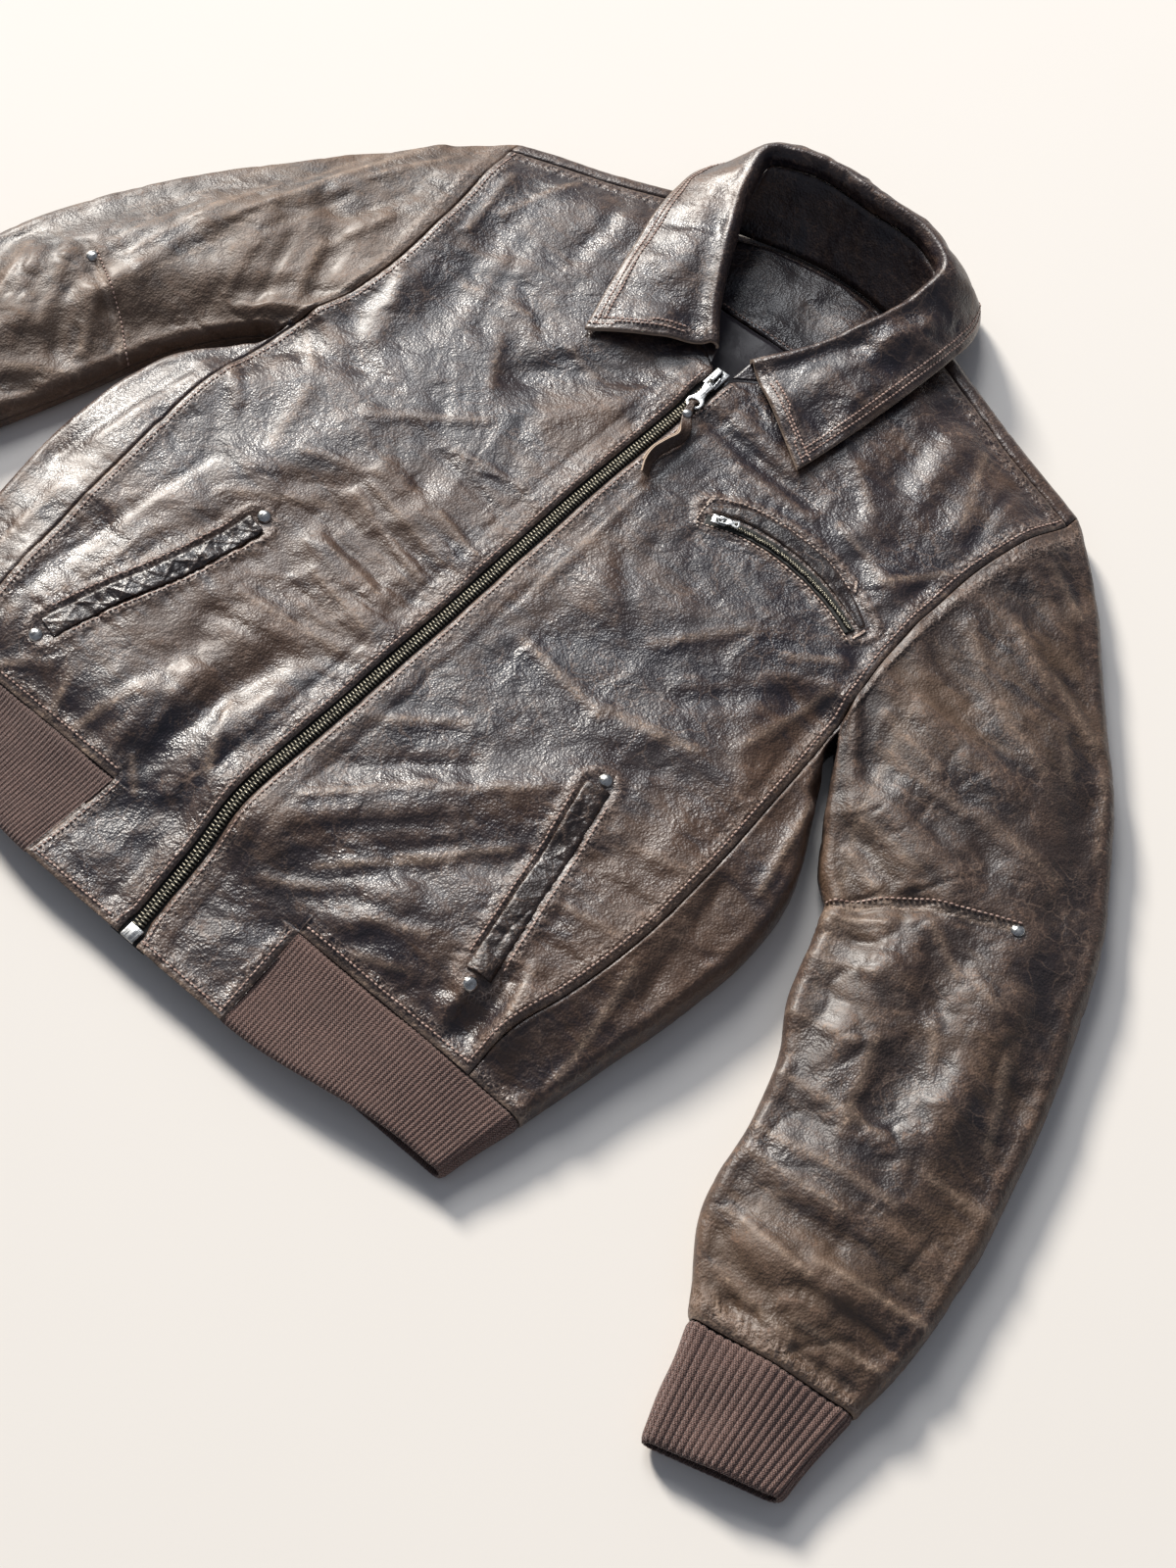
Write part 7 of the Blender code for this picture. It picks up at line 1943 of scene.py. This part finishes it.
    @staticmethod
    def level(pts: Array, n: Array, distance: Array, at: float) -> tuple[Array, Array]:
        """Points of the grid's rows at a distance from its outer edge or from its seam."""
        lines, ways = [], []
        for p, d, way in zip(pts, distance, n):
            order = np.argsort(d)
            lines.append([np.interp(at, d[order], p[order, k]) for k in range(3)])
            ways.append(way[np.argmin(np.abs(d - at))])
        return np.array(lines), np.array(ways)


@dataclass
class HipPockets:
    """The welts of the two hip pockets, with the stitches beside them."""

    pockets: Pockets
    shop: Shop
    thick: float = 1.3
    rows: int = 170
    columns: int = 18
    row_at: float = 11.6
    cut: Cut = Cut(0.0205, 0.166, 0.95, Held.LAID, ("front_left", "front_right"))

    def build(self) -> None:
        """Make both welts."""
        for side in Side:
            line = self.pockets.hip(side)
            key, name = "front_" + side.word, "hip_welt_" + side.word
            cut = Cut(self.cut.width, self.cut.length, self.cut.share, self.cut.held, (key,))
            half = np.full(self.rows, self.pockets.hip_half - 0.5)
            pts, n, across, along = laid_strip(self.shop, key, line, half, self.columns)
            edge = half[:, None] - np.abs(across)
            rise = 0.25 + self.thick + 0.35 * smooth(edge / 3.0) - 0.5 * bell(edge, 0.9)
            rise += 0.34 * np.sin(along * 0.42 + 1.9 * np.sin(along * 0.11 + across * 0.05)) * smooth(edge / 2.5)
            rise += wrinkled(pts, 0.9 + 0 * along, 33 + side.value)
            folds = sum((1 - np.abs(np.sin(along * 0.17 + k * across * 0.19 + k + 0.9 * np.sin(along * 0.07)))) ** 6
                        for k in (-1, 1)) * smooth(edge / 2.0)
            outward = np.sign(abs(pts[80, -1, 0]) - abs(pts[80, 0, 0])) * across
            folds = folds * (1.0 if side is Side.RIGHT else 0.45)
            rise += 0.7 * folds - 1.0 * bell(half[:, None] - outward, 1.6)
            pts = pts + n * rise[..., None]
            n = facing(grid_normals(pts), 10, 10, 2, 1)
            wear = np.clip(0.35 * ridges(pts, n, 2, 0.2) + 0.8 * folds + bell(half[:, None] + outward, 0.9), 0, 1)
            self.shop.cloth(name + "_skin", pts, n, self.thick, self.shop.finishes.welt, Slot.WELT, (name,), cut,
                            marks=Marks(wear=wear))
            rows = [self.shop.row(key, offset(line, s * self.row_at)[4:-4], 150) for s in (-1, 1)]
            self.shop.sew(name + "_stitches", rows, self.shop.finishes.thread)


@dataclass
class BreastPocket:
    """The zipped breast pocket: welt, tape, chain, slider, pull and stitches."""

    pockets: Pockets
    shop: Shop
    key: str = "front_left"
    thick: float = 1.2
    rows: int = 150
    tape_half: float = 4.0
    tooth_pitch: float = 1.0
    top_row: Table = ((68, 177), (84, 184.5), (120, 189.5), (152, 186.5), (176, 179.5))
    low_row: Table = ((68, 152), (92, 160), (120, 163.5), (150, 161.5), (178, 154.5), (199, 146.5))
    end_row: Table = ((66, 176), (65.5, 165), (68, 153))
    tacks: Table = ((64.5, 176, 64.5, 168), (201, 150, 203, 160), (176, 186, 180, 180))
    welt_cut: Cut = Cut(0.014, 0.136, 0.82, Held.LAID, ("front_left",))
    tape_cut: Cut = Cut(0.010, 0.132, 0.80, Held.LAID, ("front_left",))

    def build(self) -> None:
        """Make every piece of the pocket."""
        shop, finishes = self.shop, self.shop.finishes
        share = np.linspace(0, 1, self.rows)
        ends, middle = self.pockets.breast_half
        half = ends + (middle - ends) * np.sin(math.pi * share) ** 0.7
        pts, n, across, along = laid_strip(shop, self.key, self.pockets.breast_welt, half, 16)
        edge = half[:, None] - np.abs(across)
        rise = 0.4 + self.thick + 0.3 * smooth(edge / 2.0) - 0.4 * bell(edge, 0.8) + wrinkled(pts, 0.6 + 0 * along, 35)
        pts = pts + n * rise[..., None]
        n = facing(grid_normals(pts), 10, 8, 2, 1)
        shop.cloth("breast_welt_skin", pts, n, self.thick, finishes.welt, Slot.WELT, ("breast_welt",), self.welt_cut,
                   edge=finishes.raw, marks=Marks(wear=0.5 * ridges(pts, n, 2, 0.2) + 0.6 * bell(edge, 0.8)))
        pts, n, across, _ = laid_strip(shop, self.key, self.pockets.breast_zip, np.full(self.rows, self.tape_half), 8)
        pts = pts + n * 0.9
        shop.cloth("breast_zip_tape_skin", pts, n, 0.6, finishes.tape, Slot.TAPE, ("breast_zip_tape",), self.tape_cut)
        path = np.asarray(through(self.pockets.breast_zip, np.linspace(0.10, 0.99, 240)))
        spots, out = shop.drop(self.key, path)
        line = even(np.concatenate([spots, out], axis=1), self.tooth_pitch)
        shop.zip_teeth("breast_zip_teeth", line[:, :3] + line[:, 3:] * 1.9, line[:, 3:], 0.35, finishes.brass,
                       Slot.BRASS, ("breast_zip_chain",), Reach=0.0022, Width=0.0008, Height=0.0013, Head=0.0010)
        shop.refined("breast_slider_body", "breast_slider", finishes.silver, Slot.SILVER, "jacket", 0.00035)
        shop.refined("breast_pull_plate", "breast_pull", finishes.silver, Slot.SILVER, "pocket_pull", 0.00022)
        rows = [shop.row(self.key, path, 160) for path in (self.top_row, self.low_row, self.end_row)]
        shop.sew("breast_stitches", rows, finishes.pale_thread, pitch=3.5, length=0.0027, width=0.0015,
                 lift=0.5)
        bars = []
        for x0, y0, x1, y1 in self.tacks:
            for shift in (-0.5, 0.0, 0.5):
                bars.append(shop.row(self.key, ((x0 + shift, y0), (x1 + shift, y1)), 12))
        shop.sew("breast_tacks", bars, finishes.pale_thread, pitch=1.6, length=0.0024, width=0.0010, lift=0.5)


@dataclass
class FrontZip:
    """The front zip: tapes, teeth, bottom box, slider, and the pull with its doubled strap and stud."""

    body: Body
    shop: Shop
    slider_y: float = 253.5
    tape_reach: float = 14.0
    tape_drop: float = 3.2
    tape_thick: float = 0.8
    tooth_pitch: float = 1.3
    strap: Table = ((3.6, -34.5, 3.6), (7.0, -41, 3.6), (12.5, -49, 4.6), (15.5, -58, 6.0), (13.0, -69, 6.2),
                    (11.0, -79, 6.0), (13.0, -90, 6.0), (17.5, -99, 6.0))
    strap_steps: int = 112
    strap_shorter: int = 16
    strap_leather: float = 1.2
    strap_tilt: float = 1.0
    strap_columns: int = 9
    strap_half: tuple[float, float] = (2.7, 1.5)
    bend_half: float = 2.1
    bend: Table = ((0.0, 5.9), (1.5, 5.95), (2.6, 5.7), (3.3, 4.8), (3.6, 3.4), (3.3, 2.0), (2.6, 1.1), (1.5, 0.85),
                   (0.0, 0.9))
    hole: tuple[float, float] = (0.0, -27.6)
    pull_turn: float = 0.1
    stud_step: int = 8
    tape_cut: Cut = Cut(0.0135, 0.558, 0.99, Held.LAID)
    strap_cut: Cut = Cut(0.010, 0.145, 0.80, Held.FOLDED)

    def level(self, y: float) -> float:
        """Height of the fronts beside the zip."""
        b = self.body
        x, reach = b.zip_x(y), b.zip_gap
        return min(float(b.top(np.array(x + reach), np.array(y))), float(b.top(np.array(x - reach), np.array(y))))

    def build(self) -> None:
        """Make every piece of the zip."""
        b, shop, finishes = self.body, self.shop, self.shop.finishes
        rows = np.linspace(b.y_hem, self.slider_y + 1.5, 240)
        level = np.array([self.level(float(y)) for y in rows])
        level = np.convolve(np.pad(level, 4, mode="edge"), np.ones(9) / 9, mode="valid")
        middle = np.array([b.zip_x(float(y)) for y in rows])
        for side in Side:
            s = side.value
            reach = np.linspace(b.seam / 2, self.tape_reach, 12)
            x = middle[:, None] + s * reach[None, :]
            bead = 0.45 * bell(reach - 4.6, 0.9)[None, :]
            z = level[:, None] - self.tape_drop + bead + 0 * x
            pts = np.stack([x, np.repeat(rows[:, None], 12, axis=1), z], axis=-1)
            n = facing(grid_normals(pts), 5, 5, 2, 1)
            name = "zip_tape_" + side.word
            shop.cloth(name + "_cloth", pts, n, self.tape_thick, finishes.tape, Slot.TAPE, (name,), self.tape_cut)
        low, high = b.y_hem + 10.6, self.slider_y - 7.0
        y = np.arange(low, high, self.tooth_pitch)
        spots = np.column_stack([np.interp(y, rows, middle), y, np.interp(y, rows, level) - 0.1 - 1.25])
        out = np.tile((0.0, 0.0, 1.0), (len(y), 1))
        shop.zip_teeth("zip_teeth", spots, out, 1.55, finishes.brass, Slot.BRASS, ("zip_chain",), Reach=0.0042,
                       Width=0.0011, Height=0.0023, Head=0.0020)
        shop.refined("zip_box", "zip_bottom_box", finishes.silver, Slot.SILVER, "jacket", 0.0006)
        shop.refined("zip_slider_body", "zip_slider", finishes.silver, Slot.SILVER, "jacket", 0.0007, 3)
        shop.refined("zip_pull_plate", "zip_pull", finishes.silver, Slot.SILVER, "zip_pull", 0.00035)
        self.pull_strap()

    def pull_strap(self) -> None:
        """Make the doubled strap through the pull's hole, and its stud."""
        b, shop = self.body, self.shop
        place = np.array([b.zip_x(self.slider_y), self.slider_y, self.level(self.slider_y)])
        share = np.linspace(0, 1, self.strap_steps + 1)
        middle = through([(place[0] + x, place[1] + y, 0.0) for x, y, _ in self.strap], share)
        lift = through(self.strap, share)[:, 2]
        middle[:, 2] = np.maximum(b.top(middle[:, 0], middle[:, 1]), place[2]) + lift
        along = np.gradient(middle, axis=0)
        along = unit(along)
        flat = np.cross(along, (0.0, 0.0, 1.0))
        flat = unit(flat)
        tilt = self.strap_tilt * smooth((share - 0.12) / 0.3)[:, None]
        across = flat * np.cos(tilt) + np.cross(flat, along) * np.sin(tilt)
        normal = np.cross(across, along)
        half = self.strap_half[0] + self.strap_half[1] * smooth(share * 14 / 4.0)
        offset_by = (self.strap_leather + 0.6) / 2
        c, s = math.cos(self.pull_turn), math.sin(self.pull_turn)
        hole = (c * self.hole[0] - s * self.hole[1], s * self.hole[0] + c * self.hole[1])
        bend = np.array([(place[0] + hole[0] + 0.12 * y, place[1] + hole[1] - 2.9 + y, place[2] + z)
                         for y, z in self.bend])
        short = self.strap_shorter
        line = np.concatenate([(middle + normal * offset_by)[::-1][:-4], bend, (middle - normal * offset_by)[4:-short]])
        spread = np.concatenate([across[::-1][:-4], np.repeat(across[:1], len(bend), axis=0), across[4:-short]])
        width = np.concatenate([half[::-1][:-4], np.full(len(bend), self.bend_half), half[4:-short]])
        place_across = np.linspace(-1, 1, self.strap_columns)
        pts = line[:, None, :] + spread[:, None, :] * (width[:, None, None] * place_across[None, :, None])
        n = np.cross(spread, np.gradient(line, axis=0))
        n = unit(n)
        n = np.repeat(n[:, None, :], self.strap_columns, axis=1)
        finishes = shop.finishes
        wear = np.tile(0.6 * np.abs(place_across) ** 4, (len(line), 1))
        shop.cloth("pull_strap_leather", pts + n * self.strap_leather / 2, n, self.strap_leather, finishes.strap,
                   Slot.STRAP, ("pull_strap",), self.strap_cut, body="zip_pull", edge=finishes.raw,
                   marks=Marks(wear=wear))
        seat = middle[self.stud_step] + normal[self.stud_step] * (offset_by + self.strap_leather / 2 + 0.25)
        shop.grown("pull_stud_head", seat[None], along[self.stud_step][None], normal[self.stud_step][None],
                   shop.rivet, finishes.silver, Slot.SILVER, ("pull_stud",), "zip_pull", Across=0.0068, Rise=0.0040,
                   Rim=0.0009)


@dataclass
class Rivets:
    """Domed rivets at the ends of the hip pockets and of the elbow darts."""

    shop: Shop
    places: tuple[tuple[str, str, float, float], ...] = (
        ("rivet_upper_left", "front_left", 152, -37), ("rivet_lower_left", "front_left", 182, -194),
        ("rivet_upper_right", "front_right", -143, -36), ("rivet_lower_right", "front_right", -186, -197),
        ("rivet_elbow_left", "sleeve_left", 402, 52), ("rivet_elbow_right", "sleeve_right", -390, 44))

    def build(self) -> None:
        """Make each rivet on the leather that carries it."""
        for name, key, x, y in self.places:
            spot, out = self.shop.drop(key, np.array([[x, y]]))
            self.shop.grown(name + "_head", spot + out * 0.25, np.array([[1.0, 0.0, 0.0]]), out, self.shop.rivet,
                            self.shop.finishes.silver, Slot.SILVER, (name,))


@dataclass
class NeckInside:
    """The part of the inside that the open neck shows: satin lining and leather facing."""

    body: Body
    shop: Shop
    lining_y: tuple[float, float] = (150.0, 329.5)
    lining_half: float = 150.0
    facing_half: float = 82.0
    lining_cut: Cut = Cut(0.300, 0.180, 0.99, Held.LAID, ("back_panel",))
    facing_cut: Cut = Cut(0.164, 0.072, 0.95, Held.LAID, ("back_panel",))

    def sheet(self, x: Array, low: float, high: Array, thick: float, rows: int, seed: int) -> tuple[Array, Array]:
        """Grid over the back, with soft unevenness."""
        t = np.linspace(0, 1, rows)[:, None]
        y = low + (high[None, :] - low) * t
        pts = np.stack([np.repeat(x[None, :], rows, axis=0), y,
                        np.full_like(y, 1.5 + self.body.seam + thick)], axis=-1)
        pts[..., 2] += 0.8 + 0.8 * Ripple(seed, 40.0).at(pts)
        return pts, facing(grid_normals(pts), 3, 3, 2, 1)

    def build(self) -> None:
        """Make the lining and the facing."""
        finishes = self.shop.finishes
        x = np.linspace(-self.lining_half, self.lining_half, 72)
        pts, n = self.sheet(x, self.lining_y[0], np.full_like(x, self.lining_y[1]), 1.0, 52, 51)
        self.shop.cloth("lining_cloth", pts, n, 0.6, finishes.satin, Slot.LINING, ("lining",), self.lining_cut)
        x = np.linspace(-self.facing_half, self.facing_half, 64)
        pts, n = self.sheet(x, self.lining_y[1] + 0.5, read(self.body.shoulder, np.abs(x)) - 18.0, 1.5, 30, 53)
        edge = np.minimum(pts[..., 1] - self.lining_y[1], 99)
        pts = pts + n * (0.4 + 0.5 * bell(edge - 3.0, 2.0) - 0.4 * bell(edge, 1.0))[..., None]
        self.shop.cloth("neck_facing_skin", pts, n, 1.1, finishes.body, Slot.LEATHER, ("neck_facing",),
                        self.facing_cut, marks=Marks(wear=0.4 * ridges(pts, n)))
        self.shop.remember("neck_facing", bpy.data.objects["neck_facing_skin"])
        path = [(v, self.lining_y[1] + 4.0) for v in np.linspace(-78, 78, 20)]
        self.shop.sew("neck_facing_stitches", [self.shop.row("neck_facing", path, 120)], finishes.thread)


@dataclass(frozen=True)
class Lamp:
    """Square area light that looks at the middle of the jacket."""

    name: str
    way: tuple[float, float, float]
    distance: float
    size: float
    watts: float
    tint: tuple[float, float, float] = (1.0, 1.0, 1.0)

    def build(self, aim: Vector) -> None:
        """Make the light."""
        data = bpy.data.lights.new(self.name, "AREA")
        data.size, data.energy, data.color = self.size, self.watts, self.tint
        obj = bpy.data.objects.new(self.name, data)
        obj.location = aim + Vector(self.way).normalized() * self.distance
        obj.rotation_euler = (aim - obj.location).to_track_quat("-Z", "Y").to_euler()
        bpy.context.scene.collection.objects.link(obj)


@dataclass(frozen=True)
class Studio:
    """Camera at the photograph's angle, pale floor and soft light."""

    lens: float = 53.64
    sensor: float = 36.0
    floor_half: float = 4000.0
    floor_drop: float = 0.3
    aim: tuple[float, float, float] = (0.0, 0.06, 0.02)
    place: tuple[float, float, float] = (0.5707, -0.6152, 1.287)
    level_right: tuple[float, float, float] = (0.8010, 0.5987, 0.0)
    level_up: tuple[float, float, float] = (-0.5204, 0.6962, 0.4944)
    roll: float = 0.0803
    world: float = 0.21
    world_tint: tuple[float, float, float, float] = (0.77, 0.84, 1.0, 1.0)
    sun_way: tuple[float, float, float] = (-0.85, 0.35, 0.47)
    sun_watts: float = 4.3
    sun_angle: float = 0.20
    sun_tint: tuple[float, float, float] = (1.0, 0.95, 0.88)
    lamps: tuple[Lamp, ...] = (
        Lamp("window", (-0.74, 0.62, 1.0), 3.8, 1.5, 60.0, (0.95, 0.97, 1.0)),)

    def build(self) -> None:
        """Make the camera, the floor, the lights and the pale surround."""
        right, up = Vector(self.level_right), Vector(self.level_up)
        across = right * math.cos(self.roll) + up * math.sin(self.roll)
        rise = (up * math.cos(self.roll) - right * math.sin(self.roll)).normalized()
        across.normalize()
        back = across.cross(rise).normalized()
        rise = back.cross(across)
        data = bpy.data.cameras.new("camera")
        data.lens, data.sensor_width, data.clip_start = self.lens, self.sensor, 0.01
        camera = bpy.data.objects.new("camera", data)
        turned = Matrix((across, rise, back)).transposed().to_4x4()
        camera.matrix_world = Matrix.Translation(Vector(self.place)) @ turned
        bpy.context.scene.collection.objects.link(camera)
        bpy.context.scene.camera = camera
        corners = [(x * self.floor_half, y * self.floor_half, -self.floor_drop)
                   for x, y in ((-1, -1), (1, -1), (1, 1), (-1, 1))]
        floor = Shop.mesh_object("floor", np.array(corners), np.array([[0, 1, 2, 3]]))
        floor.data.materials.append(FloorFinish().material())
        for lamp in self.lamps:
            lamp.build(Vector(self.aim))
        sun = bpy.data.lights.new("sun", "SUN")
        sun.energy, sun.angle, sun.color = self.sun_watts, self.sun_angle, self.sun_tint
        key = bpy.data.objects.new("sun", sun)
        key.rotation_euler = Vector(self.sun_way).to_track_quat("Z", "Y").to_euler()
        bpy.context.scene.collection.objects.link(key)
        bpy.context.scene.view_settings.view_transform = "Standard"
        world = bpy.data.worlds.new("surround")
        world.use_nodes = True
        ground = world.node_tree.nodes["Background"]
        ground.inputs["Color"].default_value = self.world_tint
        ground.inputs["Strength"].default_value = self.world
        bpy.context.scene.world = world


def main() -> None:
    """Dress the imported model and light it."""
    logging.basicConfig(level=logging.INFO, format="%(name)s: %(message)s")
    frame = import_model()
    Studio().build()
    body, pockets = Body(), Pockets()
    shop = Shop(Finishes(), frame["nodes"])
    Fronts(body, shop, pockets).build()
    BackPanel(body, shop).build()
    SidePanels(body, shop).build()
    Sleeves(body, shop).build()
    Knits(body, shop).build()
    Collar(body, shop).build()
    NeckInside(body, shop).build()
    HipPockets(pockets, shop).build()
    BreastPocket(pockets, shop).build()
    FrontZip(body, shop).build()
    Rivets(shop).build()


if __name__ == "__main__":
    main()
